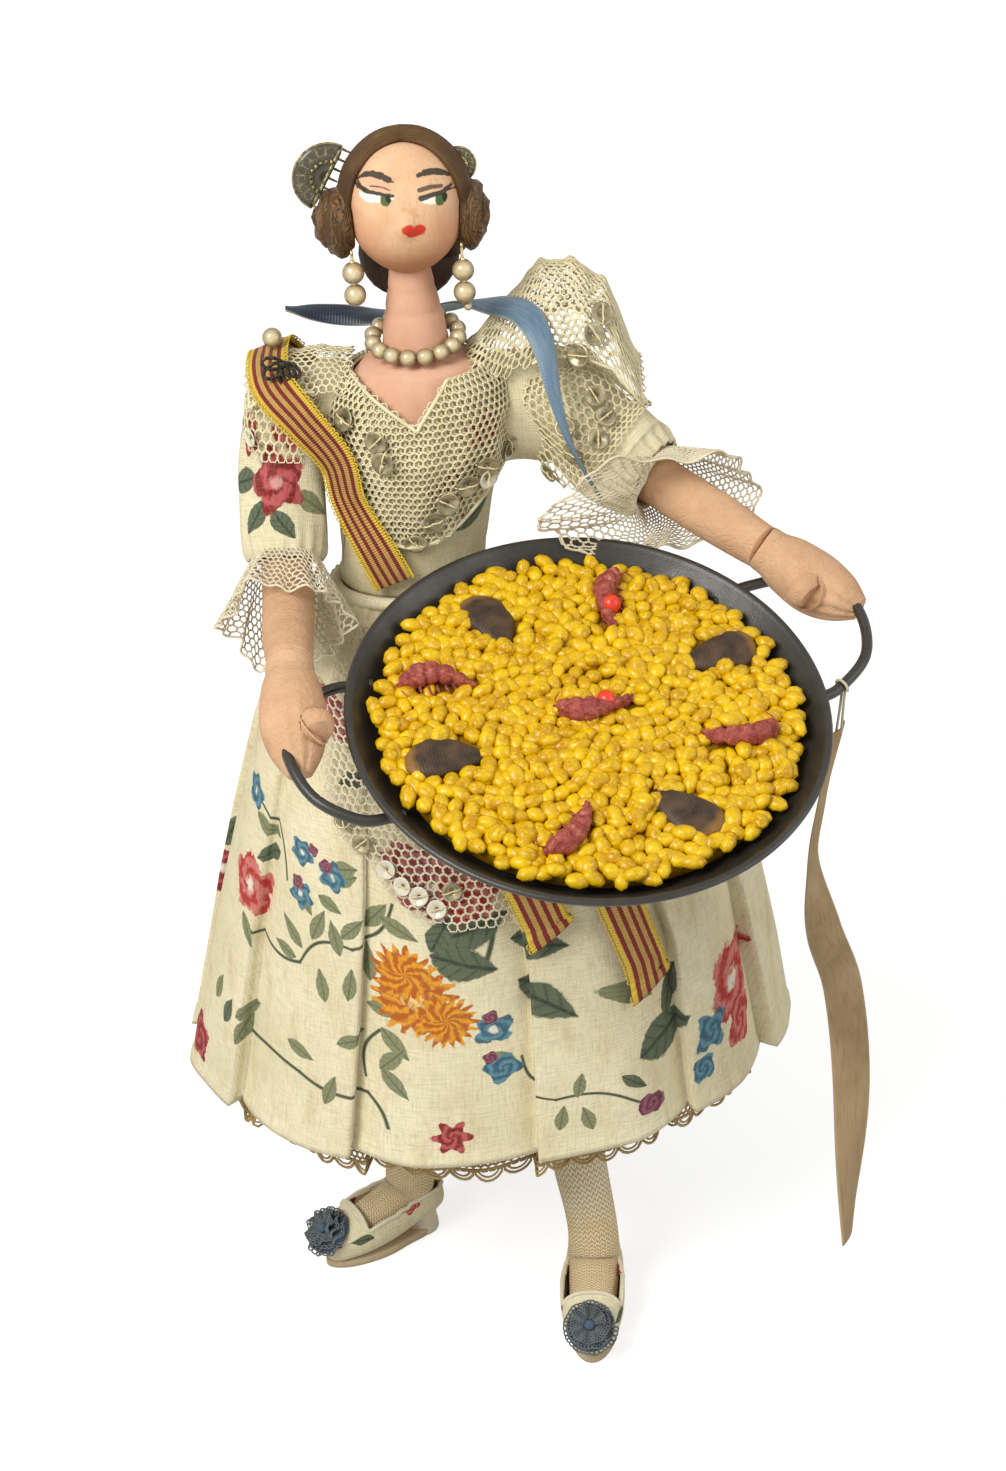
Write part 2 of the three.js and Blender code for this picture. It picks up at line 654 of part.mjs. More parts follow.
// Torso with channels for the wires, then the neck and head that sit on it
const spineEnd = V(neckX, neckY, neckTopHeight + 9 * headScale);
const spine = tube([V(neckX, neckY, seatHeight + 6), spineEnd], spineRadius, 8, 1);
const spineHole = tube([V(neckX, neckY, seatHeight + 5.5), V(neckX, neckY, neckTopHeight + 9.5 * headScale)],
  spineRadius + touchGap, 8, 1);
const torso = mainBody(cut(column(torsoLevels), spineHole, rodHole, leftLeg.channel, rightLeg.channel));
const neckLevels = [
  [neckTopHeight, neckX, neckY, neckTopRadius - 0.6 * headScale, neckTopRadius - 0.6 * headScale],
  [neckTopHeight - 2 * headScale, neckX, neckY, neckTopRadius, neckTopRadius],
  [chinHeight - 3 * headScale, neckX, neckY, neckTopRadius, neckTopRadius],
  [neckRootHeight + 5, neckX, neckY, neckRootRadius - 0.5, neckRootRadius - 0.5],
  [neckRootHeight + 0.5, neckX, neckY, neckRootRadius, neckRootRadius],
];
const neck = mainBody(cut(column(neckLevels), spineHole));
const neckSocket = column(
  grown(neckLevels, touchGap).map(([z, ...rest], i) => [i ? z : z + touchGap, ...rest]));

const headMiddle = headTopHeight - headHeight / 2;
const headHalfHeight = headHeight / 2;
const headX = neckX + 0.2;
const headY = neckY - 0.5;
const onHead = (x, y, z) => V(headX + x * headScale, headY + y * headScale, headMiddle + z * headScale);

// The head is an egg with a flatter face and a small nose
function headShape(by, noseLift) {
  const geometry = new THREE.SphereGeometry(1, 18, 12);
  const at = geometry.attributes.position;
  for (let i = 0; i < at.count; i += 1) {
    const [x, y, z] = [at.getX(i), -at.getZ(i), at.getY(i)];
    const width = headHalfWidth * (1 + 0.05 * z) + by;
    const face = Math.max(0, -y);
    const nose = noseLift * Math.exp(-((x / 0.14) ** 2) - (((z + 0.1) / 0.16) ** 2)) * face;
    const depth = (headHalfDepth + by) * (1 - 0.08 * face * face);
    at.setXYZ(i, headX + width * x, headY + depth * y - nose, headMiddle + (headHalfHeight + by) * z);
  }
  return solid(geometry);
}

const head = mainBody(cut(headShape(0, 1.3 * headScale), neckSocket, spineHole));

// Hair: a cap over the crown and back, drawn over the ears to two coiled side buns and one at the nape
const hairWall = 2.0 * headScale;
const hairline = new THREE.BoxGeometry(60, 40, 60);
hairline.rotateX(-26 * degrees);
hairline.scale(headScale, headScale, headScale);
hairline.translate(0, headY - 22.4 * headScale, headMiddle - 19.5 * headScale);
const underHair = block(V(-40, -40, 200), V(40, 40, headMiddle - 6.5 * headScale));
const hairCap = mainBody(cut(headShape(hairWall, 0), headShape(touchGap, 0), solid(hairline), underHair));
const headBlank = headShape(hairWall + touchGap, 0);
function bun(centre, axis, radius, thick, sides, lift = 0) {
  const r = radius * headScale + lift;
  const t = thick * headScale + lift;
  return lathed([[0, 0], [r * 0.75, 0], [r, t * 0.3], [r * 0.94, t * 0.7], [r * 0.7, t],
    [r * 0.5, t * 0.86], [r * 0.3, t], [0, t]], sides, centre, axis);
}
const bunRadius = 8;
const rightBunAt = onHead(-9.6, 1.5, -2.6);
const leftBunAt = onHead(9.2, 1.5, -2.6);
const rightBun = mainBody(cut(bun(rightBunAt, V(-1, 0, 0), bunRadius, 10, 12), headBlank));
const leftBun = mainBody(cut(bun(leftBunAt, V(1, 0, 0), bunRadius, 7.6, 12), headBlank));
const napeBun = mainBody(cut(bun(onHead(0, 6.7, -12.4), V(0, 1, 0.06), 11, 12, 14), headBlank, neckSocket));

// Combs: thin pierced plates whose teeth stand in the hair
function comb(centre, width, lean, twist) {
  const spread = width * headScale;
  const toothEnd = -2.6 * headScale;
  const outline = new THREE.Shape();
  outline.absarc(0, 0, spread, 0, Math.PI);
  for (let tooth = 0; tooth < 4; tooth += 1) {
    const left = -spread + (tooth * 2 * spread) / 4;
    outline.lineTo(left + 0.1, toothEnd);
    outline.lineTo(left + spread * 0.26, toothEnd);
    outline.lineTo(left + spread * 0.3, 0);
    outline.lineTo(left + spread * 0.46, 0);
  }
  outline.lineTo(spread, 0);
  for (let hole = 0; hole < 3; hole += 1) {
    const angle = (hole + 0.5) * (Math.PI / 3);
    const opening = new THREE.Path();
    opening.absarc(spread * 0.66 * Math.cos(angle), spread * 0.66 * Math.sin(angle), spread * 0.17, 0, turn);
    outline.holes.push(opening);
  }
  const geometry = new THREE.ExtrudeGeometry(outline, { depth: 0.8 * headScale, bevelEnabled: false, curveSegments: 5 });
  geometry.rotateX(Math.PI / 2);
  geometry.rotateY(lean * degrees);
  geometry.rotateZ(twist * degrees);
  geometry.translate(centre.x, centre.y, centre.z);
  return solid(geometry);
}

const rightHairBlank = join(bun(rightBunAt, V(-1, 0, 0), bunRadius, 10, 12, touchGap), headBlank);
const leftHairBlank = join(bun(leftBunAt, V(1, 0, 0), bunRadius, 7.6, 12, touchGap), headBlank);
const rightComb = mainBody(cut(comb(onHead(-13.6, 2.5, 5.6), 6.4, -58, 4), rightHairBlank));
const leftComb = mainBody(cut(comb(onHead(10.6, 2.5, 6.6), 3.6, 62, 0), leftHairBlank));

// Earrings: two pearls on a wire hook
function earring(hook, drop, tail) {
  const pearl = (middle, radius) => [45, 90, 135].map((a) => [
    radius * Math.sin(a * degrees), middle + radius * Math.cos((180 - a) * degrees) * -1]);
  const top = hook.z;
  const first = top - drop * headScale;
  const second = first - 2 * earPearlRadius - 0.1;
  const end = second - earPearlRadius;
  const tailOutline = [[hookRadius, end - 0.3 * headScale], [0.9 * headScale, end - 1.2 * headScale],
    [0, end - 2 * headScale]];
  const ends = tail ? tailOutline : [[0, end - 0.4 * headScale]];
  const outline = [[0, top], [hookRadius, top],
    [hookRadius, first + earPearlRadius], ...pearl(first, earPearlRadius),
    [hookRadius, first - earPearlRadius], ...pearl(second, earPearlRadius),
    [hookRadius, second - earPearlRadius], ...ends];
  return lathed(outline, 10, V(hook.x, hook.y, 0), zUp);
}

const rightEarring = earring(onHead(-11.1, -5.2, -6.6), 4.6, false);
const leftEarring = earring(onHead(10.2, -5.2, -6.6), 5.6, true);

// Necklace: one string of pearls lying round the neck root
function necklaceSolid() {
  const steps = necklacePearls * 3;
  const sides = 5;
  const geometry = new THREE.TorusGeometry(1, 0.5, sides, steps);
  const at = geometry.attributes.position;
  for (let i = 0; i < at.count; i += 1) {
    const step = Math.floor(i % (steps + 1)) % steps;
    const ring = Math.floor(i / (steps + 1)) % sides;
    const angle = (step / steps) * turn;
    const beadAngle = (((step + 0.5) % 3) / 3) * Math.PI;
    const radius = Math.max(0.45, pearlRadius * Math.sin(beadAngle));
    const around = (ring / sides) * turn;
    const out = necklaceRadius + radius * Math.cos(around);
    const x = out * Math.cos(angle);
    const y = out * Math.sin(angle);
    at.setXYZ(i, neckX + x, neckY + y, neckRootHeight + 3.1 + 0.16 * y + radius * Math.sin(around));
  }
  return solid(geometry);
}

// Bodice and shawl on the torso, open in a V at the chest
const vOutline = new THREE.Shape([
  new THREE.Vector2(neckX - neckOpeningHalf - 1, neckRootHeight + 6),
  new THREE.Vector2(neckX - 1, neckOpeningPoint),
  new THREE.Vector2(neckX + neckOpeningHalf - 1, neckRootHeight + 6),
]);
const vGeometry = new THREE.ExtrudeGeometry(vOutline, { depth: 30, bevelEnabled: false });
vGeometry.rotateX(Math.PI / 2);
const neckOpening = solid(vGeometry);
const bodiceTop = shoulderHeight - 1;
const bodiceBottom = skirtTop + 0.5;
const bodiceHeights = [bodiceTop, chestHeight, ribHeight, waistHeight + 8, bodiceBottom];
const bodiceRows = bodiceHeights.length;
const bodice = mainBody(cut(clothRing(24, bodiceRows, (angle, row, wall) => onTorso(
  angle, bodiceHeights[Math.round(row * (bodiceRows - 1))], clothGap + bodiceWall * wall)),
neckOpening, rodHole));

// The shawl's lower edge drops to a point at the front waist and at the back
const shawlUnder = 2 * clothGap + bodiceWall;
const shawlHeights = [neckRootHeight - 2, shoulderHeight + 5, shoulderHeight, chestHeight];
function shawlEdge(angle) {
  const front = Math.max(0, -Math.sin(angle));
  const back = Math.max(0, Math.sin(angle));
  return shoulderHeight - 12 - 14 * front ** 2 - 14 * back ** 2;
}
const shawlRows = shawlHeights.length + 1;
const shawlBody = clothRing(24, shawlRows, (angle, row, wall) => onTorso(
  angle, shawlHeights[Math.round(row * (shawlRows - 1))] ?? shawlEdge(angle),
  shawlUnder + shawlWall * wall));

// Shoulder drapes: arches over the shoulder, one row for each step away from the neck,
// which is [x, middle y, base height, ridge height, half depth]
function drape(table, lowAngle, highAngle) {
  return panel(table.length - 1, 8, (u, v, w) => {
    const [x, y, base, ridge, depth] = table[Math.round(u * (table.length - 1))];
    const angle = THREE.MathUtils.lerp(lowAngle, highAngle, v) * degrees;
    const rise = ridge - base + shawlWall * w;
    return V(x, y + (depth + shawlWall * w) * Math.sin(angle), base + rise * Math.cos(angle));
  });
}

const shoulderRise = sleeveRadius + 1.6;
const ridgeHeight = shoulderHeight + shoulderRise;
const collarX = 10.5;
const rightDrape = drape([
  [neckX - collarX, shoulderAxisY - 1, shoulderHeight - 1, ridgeHeight - 1, 11.2],
  [neckX - collarX - 6.5, shoulderAxisY, shoulderHeight - 1, ridgeHeight, 11.8],
  [rightShoulderX + 1.5, shoulderAxisY, shoulderHeight, ridgeHeight, 10.8],
  [rightShoulderX - 4, shoulderAxisY, shoulderHeight, ridgeHeight - 0.7, 10.6],
  [rightShoulderX - 8, shoulderAxisY - 0.4, shoulderHeight - 2, ridgeHeight - 3.8, 9.6],
], -50, 55);
const leftDrape = drape([
  [neckX + collarX, shoulderAxisY - 1, shoulderHeight - 1, ridgeHeight - 1, 11.2],
  [neckX + collarX + 7, shoulderAxisY + 3.4, shoulderHeight - 2, ridgeHeight + flounceRise * 0.4, 12],
  [leftShoulderX, shoulderAxisY + 4.4, shoulderHeight - 2, ridgeHeight + flounceRise, 13.4],
  [leftShoulderX + 6.5, shoulderAxisY + 3.9, shoulderHeight - 2, ridgeHeight + flounceRise * 0.95, 14.4],
  [leftShoulderX + 12.5, shoulderAxisY + 2.9, shoulderHeight - 4, ridgeHeight + flounceRise * 0.6, 13.4],
  [leftShoulderX + 17.5, shoulderAxisY + 1.4, shoulderHeight - 7, shoulderHeight + 1, 10.4],
], -60, 60);
const bodiceBlank = column(grown(torsoLevels, shawlUnder - 0.05), 24);
const drapes = cut(join(rightDrape, leftDrape), bodiceBlank);
const shawl = mainBody(cut(join(shawlBody, drapes), neckOpening, rodHole));

// Skirt, petticoat, lace edge and net apron
const skirtSides = 48;
const skirtRows = skirtLevels.length;
const skirt = clothRing(skirtSides, skirtRows, (angle, row, wall) => onSkirt(
  angle, skirtLevels[Math.round(row * (skirtRows - 1))][0], skirtWall * (wall - 1)));
const petticoatPush = -skirtWall - petticoatInset - foldDepth;
const petticoat = clothRing(30, 4, (angle, row, wall) => onSkirt(
  angle, THREE.MathUtils.lerp(petticoatTop, petticoatHem, row),
  petticoatPush + petticoatWall * (wall - 1), false));
const lace = clothRing(36, 2, (angle, row, wall) => onSkirt(
  angle, petticoatHem - touchGap - laceDrop * row,
  petticoatPush + laceWall * (wall - 1) + 0.9 * row * Math.cos(12 * angle), false));

function onApron(u, z, push) {
  const angle = THREE.MathUtils.lerp(-128, -52, u) * degrees;
  return onSkirt(angle, z, push, false);
}
const apronLift = 1.2;
const apronWall = 0.7;
const apron = panel(10, 7, (u, v, w) => {
  const low = skirtTop - 34 - 24 * Math.sin(Math.PI * u);
  return onApron(u, THREE.MathUtils.lerp(skirtTop - 4.5, low, v), apronLift + apronWall * w);
});

// Sash: a striped band over the right shoulder and down across the chest, with two tails at the waist
const sashLift = shawlUnder + shawlWall + clothGap;
const sashOverSleeve = shoulderRise + shawlWall + clothGap;
const sashTop = shoulderHeight + sashOverSleeve;
const sashPoints = [
  onTorso(104 * degrees, 184, sashLift + 0.4), onTorso(132 * degrees, 198, sashLift + 1),
  V(rightShoulderX - 1.5, shoulderAxisY + 10.6, sashTop - 4),
  V(rightShoulderX - 3.6, shoulderAxisY, sashTop - 0.2),
  V(rightShoulderX - 3, shoulderAxisY - 9.4, sashTop - 3.6),
  V(rightShoulderX + 2.4, shoulderAxisY - 14.4, shoulderHeight + 2),
  onTorso(-141 * degrees, shoulderHeight - 7, sashLift + 1.6),
  onTorso(-136 * degrees, shoulderHeight - 16, sashLift + 0.7),
  onTorso(-114 * degrees, waistHeight + 12, sashLift + 0.6),
  onTorso(-103 * degrees, waistHeight + 6, sashLift + 0.6),
];
const sashFacings = [V(-0.3, 1, 0), V(-0.6, 1, 0.2), V(-0.3, 1, 0.8), V(-0.3, 0, 1), V(-0.4, -0.8, 0.8),
  V(-0.5, -1, 0.3), V(-0.6, -1, 0.1), V(-0.6, -1, 0), V(-0.3, -1, 0), V(-0.2, -1, 0)];
const clothesBlank = column(grown(torsoLevels, shawlUnder + shawlWall + touchGap), 24);
const sash = mainBody(cut(band(sashPoints, sashFacings, sashWidth, sashThickness, 22), clothesBlank));

function sashTail(angles, low) {
  return panel(2, 12, (u, v, w) => {
    const z = THREE.MathUtils.lerp(tailTop, low, v);
    const [, , , halfDepth] = tableAt(skirtLevels, z);
    const middle = THREE.MathUtils.lerp(angles[0], angles[1], v) * degrees;
    const angle = middle + ((u - 0.5) * sashWidth) / halfDepth;
    return onSkirt(angle, z, apronLift + apronWall + clothGap + sashThickness * w, false);
  });
}
const tailTop = skirtTop - 4;
const shortTail = sashTail([-92, -77], tailTop - 56);
const longTail = sashTail([-62, -50], tailTop - 66);

// Blue ribbon behind the neck and down the left front
const ribbonPoints = [
  V(-27, 13, 223), V(-18, 13.4, 221), V(-8, 13.6, 219.8), V(2, 13.6, 220.2), V(10, 10, 222.6),
  V(15.5, 2.5, 224.4), V(21, -5, 224.6), V(24, -11, 219.8),
  V(25.4, -15.4, 211), V(28.2, -18, 201), V(33.5, -19.6, 190),
];
const ribbonFacings = [
  V(0, 0.6, 1), V(0, 0.8, 1), V(0, 1, 0.6), V(0, 1, 0.6), V(-0.3, 0.7, 1), V(-0.3, -0.2, 1),
  V(0, -0.8, 1), V(0.2, -1, 0.6), V(0.3, -1, 0.3), V(0.3, -1, 0.2), V(0.3, -1, 0.2)];
const ribbon = band(ribbonPoints, ribbonFacings, ribbonWidth, ribbonThickness, 28, 1);

// Shoulder pin with a pearl head, and a wire bow clip on the sash
const pinSpot = V(rightShoulderX - 2.4, shoulderAxisY - 1, sashTop + sashThickness + pearlRadius + touchGap);
const shoulderPin = ellipsoid(pinSpot, [pearlRadius, pearlRadius, pearlRadius], 12, 8);
const clipCentre = V(rightShoulderX - 1, shoulderAxisY - 9.2, sashTop);
const clipRoute = [V(-3.2, 1.4, 0), V(-3.6, -1.2, 0.3), V(0, 0, 0.8), V(3.4, 1.8, 0.3), V(3.4, -1.4, 0.3),
  V(0.4, 0.4, -0.6)].map((p) => p.add(clipCentre));
const clip = tube(clipRoute, 0.5, 6, 18);

// Tag: a long paper strip that hangs by a thread from the left handle
const leftHandleCurve = new THREE.CatmullRomCurve3(leftHandleRoute, false, 'centripetal');
const tagHook = leftHandleCurve.getPoint(0.18).applyMatrix4(panMatrix);
const tagAxis = leftHandleCurve.getTangent(0.18).transformDirection(panMatrix);
const loopRadius = handleRadius + wireGap;
const tagTop = tagHook.clone().add(V(-1, -1, -9));
const tagLoop = lathed([[loopRadius, -stringRadius], [loopRadius + 2 * stringRadius, 0],
  [loopRadius, stringRadius], [loopRadius, -stringRadius]], 12, tagHook, tagAxis);
const loopLow = V(0, 0, -1).addScaledVector(tagAxis, tagAxis.z).normalize();
const tagThread = tube([tagHook.clone().addScaledVector(loopLow, loopRadius + 0.6 * stringRadius), tagTop],
  stringRadius, 6, 2);
const tagPath = [[0, 0], [-2.4, 16], [-3, 30], [0.5, 46], [4.6, 60], [5.4, 84], [5.2, tagLength]]
  .map(([x, down]) => tagTop.clone().add(V(x, 0, 0.6 - down)));
const tagFacings = [
  V(0.2, -1, 0), V(0.5, -1, 0), V(1, -0.5, 0), V(0.7, -1, 0), V(0.1, -1, 0), V(0.1, -1, 0), V(0.6, -1, 0)];
const tag = join(band(tagPath, tagFacings, tagWidth, tagThickness, 16, 1), tagThread, tagLoop);

// Scene graph: the figure, its two moving arms and the pan in its own tilted frame
const doll = new THREE.Group();
const figure = new THREE.Group();
const panGroup = new THREE.Group();
panGroup.applyMatrix4(panMatrix);
figure.add(panGroup);
doll.add(figure);

function add(name, body, color, roughness, metalness = 0, parent = figure) {
  const geometry = body.getMesh ? toGeometry(body) : closed(body);
  const mesh = new THREE.Mesh(geometry, new THREE.MeshStandardMaterial({ color, roughness, metalness }));
  mesh.name = name;
  parent.add(mesh);
}

const skinColor = 0xe3b08a;
const hairColor = 0x6b4a2c;
const netColor = 0xddd0a0;
const clothColor = 0xdccfa8;
const wireColor = 0x8a8c90;
const pearlColor = 0xeadfc2;
const darkMetal = 0x3a3834;

add('torso', torso, skinColor, 0.9);
add('neck', neck, skinColor, 0.9);
add('head', head, skinColor, 0.85);
add('hair_cap', hairCap, hairColor, 0.6);
add('hair_bun_right', rightBun, hairColor, 0.6);
add('hair_bun_left', leftBun, hairColor, 0.6);
add('hair_bun_nape', napeBun, hairColor, 0.6);
add('comb_right', rightComb, 0x6e6140, 0.5, 0.7);
add('comb_left', leftComb, 0x6e6140, 0.5, 0.7);
add('earring_right', rightEarring, pearlColor, 0.25);
add('earring_left', leftEarring, pearlColor, 0.25);
add('necklace', necklaceSolid(), pearlColor, 0.25);
add('spine_wire', spine, wireColor, 0.4, 1);
add('shoulder_rod', shoulderRod, wireColor, 0.4, 1);
add('bodice', bodice, clothColor, 0.9);
add('shawl', shawl, netColor, 0.85);
add('sash', sash, 0xc8a050, 0.7);
add('sash_tail_short', shortTail, 0xc8a050, 0.7);
add('sash_tail_long', longTail, 0xc8a050, 0.7);
add('neck_ribbon', ribbon, 0x5f7f99, 0.5);
add('shoulder_pin', shoulderPin, pearlColor, 0.25);
add('shoulder_clip', clip, 0x2a2620, 0.5, 0.6);
add('skirt', skirt, clothColor, 0.9);
add('petticoat', petticoat, 0xe0d6b8, 0.9);
add('petticoat_lace', lace, 0xa88850, 0.9);
add('apron', apron, netColor, 0.85);
[['right', rightLeg], ['left', leftLeg]].forEach(([side, parts]) => {
  add(`${side}_leg`, parts.leg, skinColor, 0.9);
  add(`${side}_leg_wire`, parts.wire, wireColor, 0.4, 1);
  add(`${side}_stocking`, parts.stocking, 0xdccba0, 0.95);
  add(`${side}_shoe`, parts.shoe, clothColor, 0.85);
  add(`${side}_rosette`, parts.rosette, 0x4f5f78, 0.95);
});
[['right', rightArm], ['left', leftArm]].forEach(([side, parts]) => {
  add(`${side}_arm`, parts.arm, skinColor, 0.9);
  add(`${side}_arm_wire`, parts.wire, wireColor, 0.4, 1);
  add(`${side}_hand`, parts.hand, skinColor, 0.9);
});
add('right_sleeve', rightSleeve.sleeve, clothColor, 0.9);
add('left_sleeve', leftSleeve.sleeve, clothColor, 0.9);
add('right_cuff', rightCuff, netColor, 0.85);
add('left_cuff', leftCuff, netColor, 0.85);
add('pan', panSolid, darkMetal, 0.45, 0.8, panGroup);
add('handle_right', rightHandle, darkMetal, 0.45, 0.8, panGroup);
add('handle_left', leftHandle, darkMetal, 0.45, 0.8, panGroup);
add('rice_bed', riceSolid, 0xe0b418, 0.35, 0, panGroup);
const musselPlaces = [[29.2, 127, 160], [30.6, 30, 25], [29.9, 202, 8], [29.1, -56, -35]];
musselPlaces.forEach(([radius, angle, heading], i) => {
  add(`mussel_${i + 1}`, mussel(radius, angle, heading), 0x4a3a34, 0.3, 0, panGroup);
});
const shrimps = [[27.9, 78, 265], [28.2, 165, 178], [2, 0, 12], [27.8, -14, 185], [28.9, -99, 55]];
shrimps.forEach(([radius, angle, heading], i) => {
  add(`shrimp_${i + 1}`, shrimp(radius, angle, heading), 0x9a4434, 0.4, 0, panGroup);
});
add('tag', tag, 0x967850, 0.9);

// The origin is the middle of the object's footprint, on the ground
doll.updateMatrixWorld(true);
const bounds = new THREE.Box3().setFromObject(doll);
const centre = bounds.getCenter(V(0, 0, 0));
figure.position.set(-centre.x, -centre.y, -bounds.min.z);
doll.updateMatrixWorld(true);

export default doll;
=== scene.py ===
import math
import random

import bmesh
import bpy
from mathutils import Matrix, Vector, geometry
from mathutils.bvhtree import BVHTree


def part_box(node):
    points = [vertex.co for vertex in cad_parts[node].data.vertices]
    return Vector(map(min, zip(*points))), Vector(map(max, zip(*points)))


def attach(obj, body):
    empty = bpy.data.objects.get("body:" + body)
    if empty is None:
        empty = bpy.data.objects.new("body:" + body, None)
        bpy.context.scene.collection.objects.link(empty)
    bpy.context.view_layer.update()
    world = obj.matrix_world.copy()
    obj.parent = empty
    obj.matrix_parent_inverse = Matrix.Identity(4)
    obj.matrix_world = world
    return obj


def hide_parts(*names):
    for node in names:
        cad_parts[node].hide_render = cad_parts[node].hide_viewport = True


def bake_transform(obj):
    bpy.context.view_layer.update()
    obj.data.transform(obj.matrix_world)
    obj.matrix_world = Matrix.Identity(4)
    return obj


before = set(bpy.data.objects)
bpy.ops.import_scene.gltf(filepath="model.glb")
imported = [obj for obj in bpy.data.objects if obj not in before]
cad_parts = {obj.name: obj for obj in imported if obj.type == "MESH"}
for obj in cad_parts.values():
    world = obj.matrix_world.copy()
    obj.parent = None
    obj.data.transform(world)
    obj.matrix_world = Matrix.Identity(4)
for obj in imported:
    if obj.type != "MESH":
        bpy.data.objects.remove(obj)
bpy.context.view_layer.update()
bpy.context.scene.view_settings.view_transform = "Standard"

# Camera: it looks down at the doll from the front, a little rolled, as the photograph does.
# The doll's own drawing is in millimetres from the middle of its waist; at() puts a point of it in the frame.
wire_low, wire_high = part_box("spine_wire")
drawing_origin = Vector(((wire_low.x + wire_high.x) / 2 + 0.001, (wire_low.y + wire_high.y) / 2 + 0.0015, 0))


def at(point):
    return Vector(point) * 0.001 + drawing_origin


def drawn(point):
    return (point - drawing_origin) * 1000


looks_down = math.radians(28)
roll = math.radians(4.2)
backwards = Vector((0, -math.cos(looks_down), math.sin(looks_down)))
level_up = Vector((0, math.sin(looks_down), math.cos(looks_down)))
camera_right = Vector((math.cos(roll), 0, 0)) - level_up * math.sin(roll)
camera_up = Vector((math.sin(roll), 0, 0)) + level_up * math.cos(roll)
camera_aim, camera_distance = (10.5, 0, 129), 0.65
camera_spot = at(camera_aim) + backwards * camera_distance
camera_data = bpy.data.cameras.new("photograph_view")
camera_data.lens = 74.89
camera_data.sensor_width = 36
camera_data.clip_start = 0.05
camera = bpy.data.objects.new("photograph_view", camera_data)
bpy.context.scene.collection.objects.link(camera)
turned = Matrix((camera_right, camera_up, backwards)).transposed().to_4x4()
camera.matrix_world = Matrix.Translation(camera_spot) @ turned
bpy.context.scene.camera = camera
photo_width, photo_height = 1006, 1471


def sight_line(pixel_x, pixel_y):
    per_pixel = camera_data.sensor_width / photo_height / camera_data.lens
    across = (pixel_x - photo_width / 2) * per_pixel
    down = (pixel_y - photo_height / 2) * per_pixel
    return (camera_right * across - camera_up * down - backwards).normalized()


# Floor and light: a pale plain floor that keeps a soft shadow, and white sky all round.
# A wide lamp stands in front on the left, and a weaker one on the right.
# put() adds a node to a tree; node() gives one output of it as a Value, and sums of Values make Math nodes.
class Value:
    def __init__(self, tree, socket):
        self.tree, self.socket = tree, socket

    def math(self, operation, *others, **settings):
        inputs = dict(enumerate((self, *others)))
        return node(self.tree, "ShaderNodeMath", inputs, operation=operation, **settings)

    def vector(self, operation, *others, output=0, **inputs):
        inputs = {**dict(enumerate((self, *others))), **inputs}
        return node(self.tree, "ShaderNodeVectorMath", inputs, output, operation=operation)

    def __add__(self, other):
        return self.math("ADD", other)

    def __sub__(self, other):
        return self.math("SUBTRACT", other)

    def __mul__(self, other):
        return self.math("MULTIPLY", other)

    def __truediv__(self, other):
        return self.math("DIVIDE", other)

    def __abs__(self):
        return self.math("ABSOLUTE")


def put(tree, kind, inputs=None, **settings):
    made = tree.nodes.new(kind)
    for key, value in settings.items():
        setattr(made, key, value)
    for key, value in (inputs or {}).items():
        value = value.socket if isinstance(value, Value) else value
        if isinstance(value, bpy.types.NodeSocket):
            tree.links.new(value, made.inputs[key])
        else:
            made.inputs[key].default_value = value
    return made


def node(tree, kind, inputs=None, output=0, **settings):
    return Value(tree, put(tree, kind, inputs, **settings).outputs[output])


def spread(value, low, high, to_low=0.0, to_high=1.0):
    return node(value.tree, "ShaderNodeMapRange", {
        "Value": value, "From Min": low, "From Max": high, "To Min": to_low, "To Max": to_high})


def seen_white(tree):
    path = put(tree, "ShaderNodeLightPath").outputs
    camera_ray, glossy_ray, transmission_ray = (
        Value(tree, path["Is %s Ray" % kind]) for kind in ("Camera", "Glossy", "Transmission"))
    return camera_ray.math("MAXIMUM", glossy_ray).math("MAXIMUM", transmission_ray)


floor_paint = bpy.data.materials.new("pale_floor")
floor_paint.use_nodes = True
floor_tree = floor_paint.node_tree
floor_tree.nodes.clear()
matt = node(floor_tree, "ShaderNodeBsdfDiffuse", {"Color": (0.6, 0.6, 0.59, 1)})
from_doll = node(floor_tree, "ShaderNodeTexCoord", output="Object").vector("LENGTH", output="Value")
glow_level = seen_white(floor_tree) * spread(from_doll, 0.5, 2.0, 0.66, 1.0)
glow = node(floor_tree, "ShaderNodeEmission", {"Color": (1, 1, 1, 1), "Strength": glow_level})
lit_floor = node(floor_tree, "ShaderNodeAddShader", {0: matt, 1: glow})
put(floor_tree, "ShaderNodeOutputMaterial", {"Surface": lit_floor})
floor_mesh = bpy.data.meshes.new("floor")
floor = bpy.data.objects.new("floor", floor_mesh)
bpy.context.scene.collection.objects.link(floor)
shape = bmesh.new()
bmesh.ops.create_grid(shape, x_segments=1, y_segments=1, size=6)
shape.to_mesh(floor_mesh)
shape.free()
floor_mesh.materials.append(floor_paint)

sky = bpy.data.worlds.new("white_studio")
bpy.context.scene.world = sky
sky.use_nodes = True
sky_tree = sky.node_tree
sky_tree.nodes.clear()
sky_level = spread(seen_white(sky_tree), 0.0, 1.0, 0.46, 1.0)
sky_light = node(sky_tree, "ShaderNodeBackground", {"Color": (1, 1, 1, 1), "Strength": sky_level})
put(sky_tree, "ShaderNodeOutputWorld", {"Surface": sky_light})


def soft_lamp(name, spot, aim, size, power):
    data = bpy.data.lights.new(name, "AREA")
    data.size = size
    data.energy = power
    lamp = bpy.data.objects.new(name, data)
    lamp.location = at(spot)
    lamp.rotation_euler = (at(aim) - at(spot)).to_track_quat("-Z", "Y").to_euler()
    bpy.context.scene.collection.objects.link(lamp)


